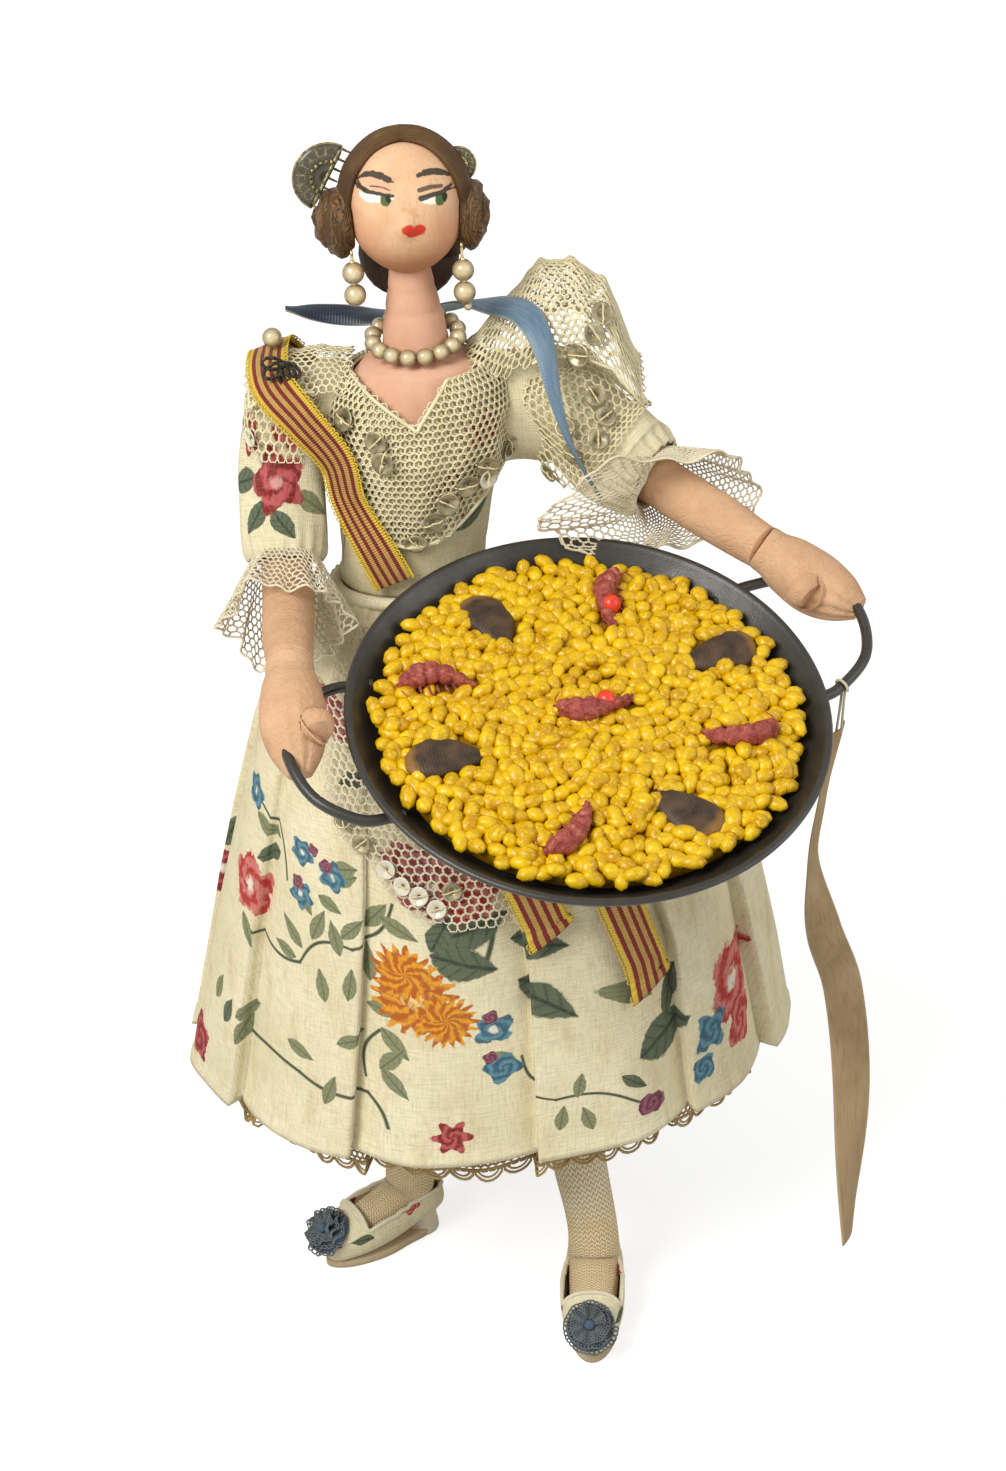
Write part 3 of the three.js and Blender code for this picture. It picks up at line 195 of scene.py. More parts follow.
soft_lamp("wide_lamp", (-420, -520, 760), (5, 0, 130), 0.45, 7.8)
soft_lamp("fill_lamp", (620, -300, 420), (5, 0, 130), 0.6, 1.7)


# Frame inside the doll: a bent steel wire in the spine, one through the shoulders and one in each limb.
# They are cut from bright wire with a drawn, slightly brushed skin.
def blended(factor, first, second, blend_type="MIX"):
    tree = next(value.tree for value in (factor, first, second) if isinstance(value, Value))
    first, second = (value if isinstance(value, Value) else (*value, 1) for value in (first, second))
    inputs = {0: factor, 6: first, 7: second}
    return node(tree, "ShaderNodeMix", inputs, 2, data_type="RGBA", blend_type=blend_type)


def noise(where, scale, detail=2.0, roughness=0.5, output="Fac"):
    return node(where.tree, "ShaderNodeTexNoise", {
        "Vector": where, "Scale": scale, "Detail": detail, "Roughness": roughness}, output)


def stretched(where, *scale):
    return node(where.tree, "ShaderNodeMapping", {"Vector": where, "Scale": scale})


def in_mm(shader):
    return stretched(node(shader.id_data, "ShaderNodeTexCoord", output="Object"), 1000, 1000, 1000)


def xyz(where):
    made = put(where.tree, "ShaderNodeSeparateXYZ", {0: where})
    return [Value(where.tree, socket) for socket in made.outputs]


def new_material(name, slot, **sockets):
    made = bpy.data.materials.new(name)
    made["slot"] = slot
    made.use_nodes = True
    shader = made.node_tree.nodes["Principled BSDF"]
    shader.inputs["Specular IOR Level"].default_value = 0.22
    for key, value in sockets.items():
        shader.inputs[key.replace("_", " ")].default_value = value
    return made, shader


def finish(shader, colour, height=None, relief_mm=0.0, gloss=None):
    links = shader.id_data.links
    links.new(colour.socket, shader.inputs["Base Color"])
    if gloss:
        links.new(gloss.socket, shader.inputs["Roughness"])
    if relief_mm:
        bump = put(shader.id_data, "ShaderNodeBump", {"Height": height, "Distance": relief_mm * 0.001})
        links.new(bump.outputs[0], shader.inputs["Normal"])


def speckled(name, slot, grain, first, second, relief_mm, band=None, gloss=None, **sockets):
    made, shader = new_material(name, slot, **sockets)
    specks = noise(in_mm(shader), *grain)
    colour = blended(spread(specks, *band) if band else specks, first, second)
    finish(shader, colour, specks, relief_mm, spread(specks, 0.3, 0.7, *gloss) if gloss else None)
    return made


drawn_wire = speckled("drawn_wire", "core_wire", (1.6, 4.0, 0.7), (0.44, 0.44, 0.45), (0.66, 0.66, 0.68),
                      0.03, gloss=(0.24, 0.46), Metallic=1.0)
limb_wires = [side + limb for limb in ("_leg_wire", "_arm_wire") for side in ("right", "left")]
for wire in ("spine_wire", "shoulder_rod", *limb_wires):
    wire_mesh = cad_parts[wire].data
    wire_mesh.materials.clear()
    wire_mesh.materials.append(drawn_wire)


# Stuffed body: a sewn cotton skin over wadding, narrow at the waist, with a padded chest and hips.
# Every soft shape is a grid laid on its own surface: cloth() makes it, dress() gives it its finish and place.
def cloth(columns, rows, place, flat, round_about=False):
    shape = bmesh.new()
    pattern = shape.loops.layers.uv.new("cloth_mm")
    bmesh.ops.create_grid(shape, x_segments=columns, y_segments=rows, size=0.5)
    spots = {point: (point.co.x + 0.5, point.co.y + 0.5) for point in shape.verts}
    for face in shape.faces:
        for corner in face.loops:
            u, v = spots[corner.vert]
            corner[pattern].uv = flat(u, v) if callable(flat) else (u * flat[0], v * flat[1])
    for point, (u, v) in spots.items():
        point.co = at(place(u, v))
    if round_about:
        bmesh.ops.remove_doubles(shape, verts=shape.verts, dist=1e-6)
        bmesh.ops.recalc_face_normals(shape, faces=shape.faces)
    return shape


def dress(name, shape, material, body, *nodes):
    mesh = bpy.data.meshes.new(name)
    shape.to_mesh(mesh)
    shape.free()
    mesh.shade_smooth()
    mesh.materials.append(material)
    piece = bpy.data.objects.new(name, mesh)
    bpy.context.scene.collection.objects.link(piece)
    if body:
        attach(piece, body)
    if nodes:
        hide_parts(*nodes)
    return piece


def along(points, share):
    last = len(points) - 1
    step = min(max(share, 0.0) * last, last - 1e-6)
    i = int(step)
    t = step - i
    a, b, c, d = points[max(i - 1, 0)], points[i], points[i + 1], points[min(i + 2, last)]
    bent = (2 * a - 5 * b + 4 * c - d) * t * t + (3 * b - a - 3 * c + d) * t * t * t
    return 0.5 * (2 * b + (c - a) * t + bent)


def heading(points, share):
    return (along(points, min(share + 0.01, 1)) - along(points, max(share - 0.01, 0))).normalized()


def lerp(first, second, share):
    return first + (second - first) * share


def at_level(table, z):
    rows = sorted(table)
    z = min(max(z, rows[0][0]), rows[-1][0])
    for low, high in zip(rows, rows[1:]):
        if z <= high[0]:
            t = (z - low[0]) / (high[0] - low[0])
            return [lerp(a, b, t) for a, b in zip(low[1:], high[1:])]


# One row of torso_levels is a height, the middle of the body there, its half width and its half depth.
torso_levels = [
    (217.7, -1, -1.5, 6.8, 6.6), (216.5, -1, -1.8, 10.6, 9.6), (212, -1, -1.8, 14.8, 11.2),
    (207, -1.5, -1.5, 17, 12.8), (199, -2.2, -1.5, 16.2, 14.2), (187, -3.5, -1.5, 14.6, 12.8),
    (176, -4.9, -1.5, 13.6, 11.6), (168, -5.5, -1.5, 13.6, 11.4), (154, -3.9, -1.5, 16.2, 13.4),
    (138, -2.9, -1.5, 17.4, 14.4), (130, -2.7, -1.5, 15.4, 12.6), (126, -2.7, -1.5, 10.5, 8.6),
]
torso_foot, torso_height = 126, 91.7
turn = 2 * math.pi


def on_torso(angle, z, lift=0.0):
    x, y, half_width, half_depth = at_level(torso_levels, z)
    return Vector((x + (half_width + lift) * math.cos(angle), y + (half_depth + lift) * math.sin(angle), z))


def torso_skin(u, v):
    z = torso_foot + torso_height * v
    end = 0.0 if v in (0, 1) else 1.0
    x, y, half_width, half_depth = at_level(torso_levels, z)
    seam = 0.35 * math.exp(-((math.cos(turn * u)) / 0.06) ** 2)
    pull = 1 - 0.004 * math.sin(9 * turn * u + 20 * v)
    return Vector((x + end * (half_width * pull - seam) * math.cos(turn * u),
                   y + end * (half_depth * pull - seam) * math.sin(turn * u), z))


# Shared finish: plain weave, drawn on the cloth's own millimetres. Height is the thread, Gap what it leaves.
def new_group(name, inputs, outputs):
    tree = bpy.data.node_groups.new(name, "ShaderNodeTree")
    for way, sockets in (("INPUT", inputs), ("OUTPUT", outputs)):
        for kind, names in sockets.items():
            for socket in names:
                tree.interface.new_socket(socket, in_out=way, socket_type="NodeSocket" + kind)
    given = {socket.name: Value(tree, socket) for socket in tree.nodes.new("NodeGroupInput").outputs}
    return tree, given, tree.nodes.new("NodeGroupOutput").inputs


def give(result, **values):
    for name, value in values.items():
        value.tree.links.new(value.socket, result[name])


plain_weave, given, result = new_group("plain_weave", {"Vector": ["Cloth"], "Float": ["Thread"]},
                                       {"Float": ["Height", "Gap"]})
wobble = noise(given["Cloth"], 0.35, 2.0) * 1.2
thread_turn = node(plain_weave, "ShaderNodeMath", {0: math.pi, 1: given["Thread"]}, operation="DIVIDE")
warp, weft = ((way * thread_turn + wobble).math("SINE") for way in xyz(given["Cloth"])[:2])
crossing = (warp * weft).math("SIGN") * 0.25
warp_over = abs(warp) * (crossing + 0.75)
weft_over = abs(weft) * (crossing * -1.0 + 0.75)
give(result, Height=warp_over.math("MAXIMUM", weft_over),
     Gap=spread(abs(warp).math("MAXIMUM", abs(weft)), 0.0, 0.55, 1.0, 0.0))


def cloth_mm(shader):
    return node(shader.id_data, "ShaderNodeUVMap", uv_map="cloth_mm")


def woven(shader, colour, thread, relief_mm, gap_shade=0.55):
    tree = shader.id_data
    weave = put(tree, "ShaderNodeGroup", {"Cloth": cloth_mm(shader), "Thread": thread}, node_tree=plain_weave)
    darker = blended(1.0, colour, (gap_shade, gap_shade * 0.93, gap_shade * 0.85), "MULTIPLY")
    gaps = Value(tree, weave.outputs["Gap"]) * 0.8
    finish(shader, blended(gaps, colour, darker), Value(tree, weave.outputs["Height"]), relief_mm)


def skin_cloth(name, pale, warm):
    made, shader = new_material(name, "skin_cloth", Roughness=0.92)
    patches = noise(in_mm(shader), 0.09, 3.0, 0.6)
    woven(shader, blended(spread(patches, 0.35, 0.68), pale, warm), 0.32, 0.05, 0.7)
    return made


body_skin = skin_cloth("chest_cotton", (0.72, 0.42, 0.28), (0.64, 0.34, 0.21))
body = dress("stuffed_body", cloth(64, 60, torso_skin, (96, 92), True), body_skin, "figure", "torso")


# Neck: a sewn tube of the same cotton, wadded round the spine wire.
# Two soft rings run round it where it bends.
neck_foot, neck_height = 218, 21.5
neck_girths = [(218, 6.8), (224.6, 6.0), (230, 4.9), (234, 4.2), (239.5, 3.6)]
neck_rings = [(226.5, 0.22), (231, 0.16)]


def neck_skin(u, v):
    z = neck_foot + neck_height * v
    rings = sum(deep * math.exp(-(((z - ring) / 0.7) ** 2)) for ring, deep in neck_rings)
    radius = (at_level(neck_girths, z)[0] - rings) * (0.0 if v in (0, 1) else 1.0)
    return Vector((-1 + radius * math.cos(turn * u), -1.5 + radius * math.sin(turn * u), z))


neck = dress("stuffed_neck", cloth(48, 36, neck_skin, (36, 22), True), body_skin, "figure", "neck")


# Legs: two stuffed tubes, each cut in one piece with its foot, which is bent forward at the ankle.
# tube() lays a grid round a bent line; its girths run from one end to the other and both ends are closed.
def tube(points, girths, columns, rows, across=Vector((1, 0, 0)), length=100.0, flatness=1.0, ripple=None):
    points = [Vector(point) for point in points]
    girths = [girths, girths] if isinstance(girths, float) else girths

    def place(u, v):
        share = 0.5 - 0.5 * math.cos(math.pi * v) if rows > 12 else v
        forward = heading(points, share)
        side = (across - forward * across.dot(forward)).normalized()
        other = forward.cross(side)
        radius = along(girths, share) * (0.0 if v in (0, 1) else 1.0)
        if ripple and radius:
            radius += ripple(turn * u, share)
        return (along(points, share) + side * radius * math.cos(turn * u)
                + other * radius * flatness * math.sin(turn * u))

    return cloth(columns, rows, place, (turn * max(girths), length), True)


leg_girths = [8.95, 7.15, 4.95, 4.15, 4.35, 4.35, 3.85, 2.35]
leg_lines = {
    "left": (Vector((5.5, -3, 134)), Vector((14, -12, 82)), Vector((22.3, -27.3, 20)), math.radians(-96)),
    "right": (Vector((-11, -2, 134)), Vector((-13.5, -1, 82)), Vector((-17.8, 2.2, 20)), math.radians(210)),
}


def toes(side):
    return Vector((math.cos(leg_lines[side][3]), math.sin(leg_lines[side][3]), 0))


def beside_foot(side):
    return Vector((-toes(side).y, toes(side).x, 0))


def low(side, forward, z):
    ankle = leg_lines[side][2]
    return Vector((ankle.x, ankle.y, 0)) + toes(side) * forward + Vector((0, 0, z))


def leg_route(side):
    hip, knee, ankle, _ = leg_lines[side]
    foot = [low(side, forward, z) for forward, z in ((1.5, 12), (8, 8.6), (15, 6.6), (19.5, 5.4))]
    return [hip, knee, lerp(knee, ankle, 0.55), ankle, *foot]


leg_skin = skin_cloth("leg_cotton", (0.72, 0.5, 0.36), (0.64, 0.42, 0.29))
for side in ("right", "left"):
    leg_shape = tube(leg_route(side), leg_girths, 32, 60, length=150)
    leg = dress(side + "_stuffed_leg", leg_shape, leg_skin, "figure", side + "_leg")


# Head: a firm stuffed egg covered in fine peach cotton, flatter in front, with a small nose of its own.
# The face is painted by hand on the cloth: brows, lids with lashes, green eyes, red lips, rubbed cheeks.
head_middle = Vector((-0.8, -2, 247.7))
head_width, head_depth, crown_height, chin_height = 10.9, 11.6, 12.3, 13.3


def on_head(direction, lift=0.0, nose=1.3):
    x, y, z = direction
    width = head_width * (1 + 0.05 * z + 0.25 * max(0.0, -z) * (1 + z)) + lift
    front = max(0.0, -y)
    rise = nose * math.exp(-((x / 0.14) ** 2) - (((z + 0.1) / 0.16) ** 2)) * front
    depth = (head_depth + lift) * (1 - 0.08 * front * front)
    height = (crown_height if z > 0 else chin_height) + lift
    return head_middle + Vector((width * x, depth * y - rise, height * z))


head_shape = bmesh.new()
bmesh.ops.create_uvsphere(head_shape, u_segments=96, v_segments=72, radius=1)
for point in head_shape.verts:
    point.co = at(on_head(point.co.copy()))

brush_stroke, given, result = new_group(
    "brush_stroke", {"Vector": ["Place", "From", "To"], "Float": ["Width", "Soft"]}, {"Float": ["Mask"]})
stroke = given["To"].vector("SUBTRACT", given["From"])
reached = given["Place"].vector("SUBTRACT", given["From"])
forward = reached.vector("DOT_PRODUCT", stroke, output=1)
share = forward.math("DIVIDE", stroke.vector("DOT_PRODUCT", stroke, output=1), use_clamp=True)
off = reached.vector("SUBTRACT", stroke.vector("SCALE", Scale=share)).vector("LENGTH", output=1)
give(result, Mask=spread(off, given["Width"], given["Width"] - given["Soft"]))

paint_dab, given, result = new_group(
    "paint_dab", {"Vector": ["Place", "Middle", "Reach"], "Float": ["Soft"]}, {"Float": ["Mask"]})
reached = given["Place"].vector("SUBTRACT", given["Middle"])
off = reached.vector("DIVIDE", given["Reach"]).vector("LENGTH", output=1)
give(result, Mask=spread(off, given["Soft"] + 1.0, given["Soft"] * -1.0 + 1.0))

face, shader = new_material("painted_face", "skin_cloth", Roughness=0.75)
place = in_mm(shader)


def swayed(where, scale, detail, by):
    sway = noise(where, scale, detail, output="Color").vector("SUBTRACT", (0.5, 0.5, 0.5))
    return where.vector("ADD", sway.vector("SCALE", Scale=by))


painted_place = swayed(place, 0.8, 3.0, 0.5)


def painted(colour, mask, tint, strength=1.0):
    return blended(mask * strength if strength < 1 else mask, colour, tint)


def dab(middle, reach, soft=0.12):
    inputs = {"Place": painted_place, "Middle": at(middle) * 1000, "Reach": reach, "Soft": soft}
    return node(painted_place.tree, "ShaderNodeGroup", inputs, node_tree=paint_dab)


def strokes(points, widths):
    mask = None
    for first, second, width in zip(points, points[1:], widths):
        inputs = {"Place": painted_place, "From": at(first) * 1000, "To": at(second) * 1000, "Width": width}
        part = node(painted_place.tree, "ShaderNodeGroup", {**inputs, "Soft": 0.16}, node_tree=brush_stroke)
        mask = mask.math("MAXIMUM", part) if mask else part
    return mask


colour = blended(spread(noise(place, 0.16, 3.0), 0.35, 0.7), (0.76, 0.49, 0.29), (0.7, 0.41, 0.23))
rubbed = noise(stretched(place, 1.5, 1.5, 0.16), 1.0, 3.0, 0.7)
colour = painted(colour, spread(rubbed, 0.52, 0.72), (0.56, 0.27, 0.14), 0.55)
# The dabs on the cheeks are blush; the dabs on the jaw and the temples are painted shade.
cheek, jaw_shade, temple_shade, brow = (0.58, 0.25, 0.13), (0.4, 0.16, 0.07), (0.62, 0.31, 0.17), (0.66, 0.32, 0.2)
for middle, reach, tint, strength in (
        ((-9.2, -6.5, 244.0), (5.5, 6, 4.2), cheek, 0.6), ((7.6, -7.5, 243.4), (5.0, 6, 4.6), cheek, 0.6),
        ((-0.8, -6.5, 237.4), (10.5, 8, 4.6), jaw_shade, 0.8), ((-10.8, -4.0, 249.5), (2.6, 4, 8), temple_shade, 0.5),
        ((9.2, -4.0, 249.5), (2.6, 4, 8), temple_shade, 0.5), ((-5.6, -9.5, 255.0), (2.6, 4, 1.6), brow, 0.45)):
    colour = painted(colour, dab(middle, reach, 0.5), tint, strength)
# Light brown dabs along the nose are painted shade beside it.
for middle, reach in (((0.7, -12.6, 249.6), (1.0, 2, 0.75)), ((-0.9, -12.6, 250.2), (0.7, 2, 0.35)),
                      ((1.4, -12.6, 248.8), (0.7, 2, 0.3))):
    colour = painted(colour, dab(middle, reach, 0.4), (0.55, 0.27, 0.13), 0.42)

# Eyes: white, iris and pupil of each are dabs cut off by the edge of its upper lid.
under_right_lid, under_left_lid = (xyz(painted_place)[2].math("LESS_THAN", lid) for lid in (252.9, 251.9))
for right_eye, left_eye, tint in (
        (((-6.7, -9.9, 252.75), (3.1, 4, 1.35)), ((5.0, -11.0, 251.75), (2.6, 4, 1.3)), (0.9, 0.87, 0.74)),
        (((-4.35, -11.6, 252.1), (1.0, 3, 1.35)), ((6.1, -10.2, 251.1), (1.0, 3, 1.3)), (0.085, 0.13, 0.04)),
        (((-3.75, -11.8, 252.3), (0.5, 3, 0.95)), ((6.95, -10.2, 251.15), (0.55, 3, 0.95)),
         (0.02, 0.025, 0.015))):
    right_part, left_part = dab(*right_eye) * under_right_lid, dab(*left_eye) * under_left_lid
    colour = painted(colour, right_part.math("MAXIMUM", left_part), tint)
colour = painted(colour, dab((-2.95, -12, 252.5), (0.4, 3, 0.4)), (0.9, 0.9, 0.8))

# Brows, lids, lashes and the creases over the lids: strokes of a small brush, each point with its width.
dark_brush, crease_brush = ((0.03, 0.028, 0.026), 0.94), ((0.06, 0.035, 0.03), 0.85)
for brush, points, widths in (
        (dark_brush, ((-9.7, -5.3, 254.9), (-8.2, -6.3, 255.7), (-6.5, -7.5, 256.0), (-4.9, -9.0, 255.9),
                      (-3.4, -10.1, 255.4), (-2.5, -10.4, 255.0)), (0.5, 0.74, 0.84, 0.7, 0.36)),
        (dark_brush, ((2.0, -9.6, 255.6), (3.4, -8.9, 255.9), (5.0, -8.0, 255.8), (6.6, -6.9, 255.3),
                      (7.9, -5.7, 254.5), (8.9, -4.4, 253.6)), (0.6, 0.8, 0.8, 0.66, 0.36)),
        (dark_brush, ((-10.8, -2.9, 254.3), (-9.6, -6.2, 253.7), (-7.6, -9.3, 253.25), (-5.2, -10.9, 253.05),
                      (-2.9, -11.7, 252.75)), (0.45, 0.56, 0.46, 0.42)),
        (dark_brush, ((2.4, -11.7, 251.85), (4.6, -10.9, 252.1), (6.6, -9.6, 252.15), (8.0, -7.8, 252.5),
                      (9.3, -5.0, 253.3)), (0.56, 0.56, 0.58, 0.42)),
        (dark_brush, ((-8.9, -7.3, 253.4), (-10.5, -4.0, 252.5)), (0.4,)),
        (dark_brush, ((-8.0, -8.6, 253.3), (-10.2, -4.8, 254.9)), (0.4,)),
        (dark_brush, ((7.7, -8.0, 252.2), (9.7, -4.4, 251.3)), (0.34,)),
        (dark_brush, ((8.2, -7.3, 252.6), (9.6, -4.6, 252.4)), (0.3,)),
        (crease_brush, ((-7.2, -9.1, 254.25), (-5.2, -10.3, 254.3), (-3.4, -11.2, 253.7)), (0.26, 0.22)),
        (crease_brush, ((2.3, -11.2, 253.3), (4.5, -10.3, 253.6), (6.6, -9.0, 253.2)), (0.56, 0.5))):
    colour = painted(colour, strokes(points, widths), *brush)
lips = dab((-0.45, -12.6, 246.35), (1.3, 3, 1.1)).math("MAXIMUM", dab((1.6, -12.6, 245.95), (1.3, 3, 1.1)))
lips = lips.math("MAXIMUM", dab((0.5, -12.6, 245.6), (1.6, 3, 0.95)))
weave = put(place.tree, "ShaderNodeGroup", {"Cloth": place, "Thread": 0.3}, node_tree=plain_weave)
finish(shader, painted(colour, lips, (0.6, 0.045, 0.025)), Value(place.tree, weave.outputs["Height"]), 0.03)
head = dress("painted_head", head_shape, face, "head", "head")


# Hair: silky brown thread, parted in the middle, combed down in locks over a cap sewn to the scalp.
# The ends are rolled into a curled coil over each ear and a larger one at the nape, whose much darker copy of
# the hair is painted shade behind the neck.
def combed_strands(where, across=6.0, down=0.12):
    return noise(stretched(where, across, down, 1.0), 1.0, 3.0, 0.6)


hair, shader = new_material("brown_hair", "hair", Roughness=0.58)
strands = combed_strands(cloth_mm(shader))
patches = spread(noise(in_mm(shader), 0.18, 2.0), 0.35, 0.65)
light_hair = blended(patches, (0.105, 0.052, 0.017), (0.175, 0.092, 0.028))
# Towards the sides of the head the combed hair and cap are painted darker, as shade where the head turns from
# the light.
aside = abs(xyz(in_mm(shader))[0] - at(head_middle).x * 1000)
light_hair = blended(spread(aside, 8.0, 13.0, 0.0, 0.6), light_hair, (0.05, 0.025, 0.01))
finish(shader, blended(spread(strands, 0.3, 0.62), (0.035, 0.017, 0.008), light_hair), strands, 0.22)

curled_hair, shader = new_material("curled_hair", "hair", Roughness=0.52)
strands = combed_strands(swayed(cloth_mm(shader), 0.3, 2.0, 6.0), 3.4, 0.2)
finish(shader, blended(spread(strands, 0.36, 0.64), (0.026, 0.013, 0.006), (0.2, 0.108, 0.036)), strands, 0.5)

# The nape coil's hair is painted far darker, as shade under the head.
shaded_nape_hair, shader = new_material("nape_hair_painted_shade", "hair", Roughness=0.6)
strands = combed_strands(cloth_mm(shader))
colour = blended(spread(strands, 0.3, 0.7), (0.012, 0.008, 0.006), (0.075, 0.038, 0.018))
finish(shader, colour, strands, 0.22)


def one_mesh(shapes):
    whole = bmesh.new()
    whole.loops.layers.uv.new("cloth_mm")
    for part in shapes:
        lump = bpy.data.meshes.new("part")
        part.to_mesh(lump)
        part.free()
        whole.from_mesh(lump)
        bpy.data.meshes.remove(lump)
    return whole


def joined(name, shapes, material, body, *nodes):
    return dress(name, one_mesh(shapes), material, body, *nodes)


def walled(piece, thickness_mm, offset=-1.0):
    wall = piece.modifiers.new("thickness", "SOLIDIFY")
    wall.thickness = thickness_mm * 0.001
    wall.offset = offset
    return piece


def ball(columns, rows, radius=1):
    shape = bmesh.new()
    shape.loops.layers.uv.new("cloth_mm")
    bmesh.ops.create_uvsphere(shape, u_segments=columns, v_segments=rows, radius=radius)
    return shape


scalp_foot, scalp_front = 241.4, -1.6
scalp = ball(64, 40)
for point in scalp.verts:
    point.co = on_head(point.co.copy(), 0.7, 0.0)
everything = list(scalp.verts) + list(scalp.edges) + list(scalp.faces)
bmesh.ops.bisect_plane(
    scalp, geom=everything, plane_co=(0, 0, scalp_foot), plane_no=(0, 0, -1), clear_outer=True)
front = [patch for patch in scalp.faces if patch.calc_center_median().y < scalp_front]
bmesh.ops.delete(scalp, geom=front, context="FACES")
for point in scalp.verts:
    point.co = at(point.co)
for patch in scalp.faces:
    for corner in patch.loops:
        corner[scalp.loops.layers.uv.active].uv = (corner.vert.co.y * 1000, corner.vert.co.x * 300)
walled(dress("scalp_cap", scalp, hair, "head", "hair_cap"), 0.4, 1.0)

# The locks run from the hairline back to the line behind the ears, and from there to the middle of the nape.
hairline, behind, nape_line = ([Vector(point) for point in line] for line in (
    ((-0.012, 0.09, 1.0), (0.28, 0.05, 0.955), (0.5, -0.02, 0.86), (0.68, -0.13, 0.72), (0.82, -0.19, 0.54),
     (0.93, -0.24, 0.27), (0.97, -0.2, -0.1)),
    ((-0.012, 0.86, 0.5), (0.3, 0.84, 0.45), (0.52, 0.74, 0.38), (0.7, 0.6, 0.3), (0.84, 0.42, 0.2),
     (0.93, 0.26, 0.05), (0.97, 0.1, -0.1)),
    ((-0.012, 0.88, 0.47), (0.03, 0.96, 0.3), (0.04, 0.99, 0.15), (0.05, 1, 0), (0.05, 0.98, -0.15),
     (0.05, 0.95, -0.3), (0.05, 0.9, -0.42))))
lock_girths = [0.8, 1.2, 1.3, 1.3, 1.3, 1.2, 1.1]
sweeps = ((hairline, behind, 16, 1.0), (behind, nape_line, 9, 0.0))
locks = []
for side in (-1, 1):
    for front_line, back_line, last_lock, fullness in sweeps:
        for lock in range(last_lock + 1):
            back = lock / last_lock
            route = []
            for near, far in zip(front_line, back_line):
                arch = fullness * 0.55 * math.sin(math.pi * back)
                direction = (lerp(near, far, back) + Vector((0, 0, arch * (1 - near.x)))).normalized()
                lift = 0.35 + fullness * 2.2 * math.sin(math.pi * min(1.0, 0.06 + back)) * (1 - 0.5 * near.x)
                route.append(on_head(Vector((side * direction.x, direction.y, direction.z)), lift, 0.0))
            locks.append(tube(route, lock_girths, 8, 22, Vector((0, 1, 0)), 22.0, 0.8))
joined("combed_hair", locks, hair, "head")
up = Vector((0, 0, 1))


def coil(centre, outward, start, turns, thick, rope, phase=0.0):
    outward = outward.normalized()
    side = outward.cross(up).normalized()
    rise = side.cross(outward)
    route = []
    count = int(turns * 12)
    for step in range(count + 1):
        share = step / count
        angle = phase + turn * turns * share
        radius = start * (1 - share) ** 0.8 + 0.4
        lift = rope * 0.7 + (thick - 1.7 * rope) * share ** 0.7
        route.append(centre + (side * math.cos(angle) + rise * math.sin(angle)) * radius + outward * lift)
    girths = [rope * 0.8] + [rope] * 5 + [rope * 0.55]

    def strand_ripple(angle, share):
        return 0.24 * math.sin(4 * angle + 38 * share) + 0.1 * math.sin(9 * angle - 20 * share)

    return tube(route, girths, 20, count * 3, outward, 12 * turns * start / 2, ripple=strand_ripple)


def wad(centre, outward, radius, thick):
    outward = outward.normalized()
    shape = ball(24, 14)
    stretch = Matrix.Diagonal((radius, radius, thick / 2, 1))
    turned = outward.to_track_quat("Z", "Y").to_matrix().to_4x4()
    bmesh.ops.transform(shape, matrix=turned @ stretch, verts=shape.verts)
    for point in shape.verts:
        point.co = at(point.co + centre + outward * thick / 2)
    return shape


for place_on_head, centre, outward, tress, coil_sizes, wad_sizes in (
        ("right", (-10.4, -0.5, 245.1), (-1, 0, 0), curled_hair, (5.4, 2.2, 9.4, 2.5, 1.2), (6.4, 8)),
        ("left", (8.4, -0.5, 245.1), (1, 0, 0), curled_hair, (5.4, 2.2, 7.4, 2.5, 2.4), (6.4, 6)),
        ("nape", (-0.8, 4.7, 233.9), (0, 1, 0.06), shaded_nape_hair, (7.9, 2.4, 11.6, 3.1), (9.8, 9))):
    rolled = coil(Vector(centre), Vector(outward), *coil_sizes)
    wadding = wad(Vector(centre), Vector(outward), *wad_sizes)
    joined(place_on_head + "_coil", [rolled, wadding], tress, "head", "hair_bun_" + place_on_head)


# Combs: pressed and pierced grey-gold metal fans with a beaded rim and a smoky shell behind it.
# Their teeth stand in the hair over each ear.
comb_gold = speckled("comb_metal", "comb_metal", (0.9, 4.0, 0.65), (0.075, 0.066, 0.042), (0.42, 0.36, 0.16),
                     0.08, (0.38, 0.66), (0.5, 0.3), Metallic=0.75)
smoke = speckled("comb_shell", "comb_metal", (0.5, 3.0), (0.03, 0.026, 0.018), (0.13, 0.11, 0.07), 0.1,
                 Roughness=0.3, Coat_Weight=0.4)


def bead(centre, radius, columns=10, rows=7):
    shape = ball(columns, rows, radius)
    for point in shape.verts:
        point.co = at(point.co + centre)
    return shape


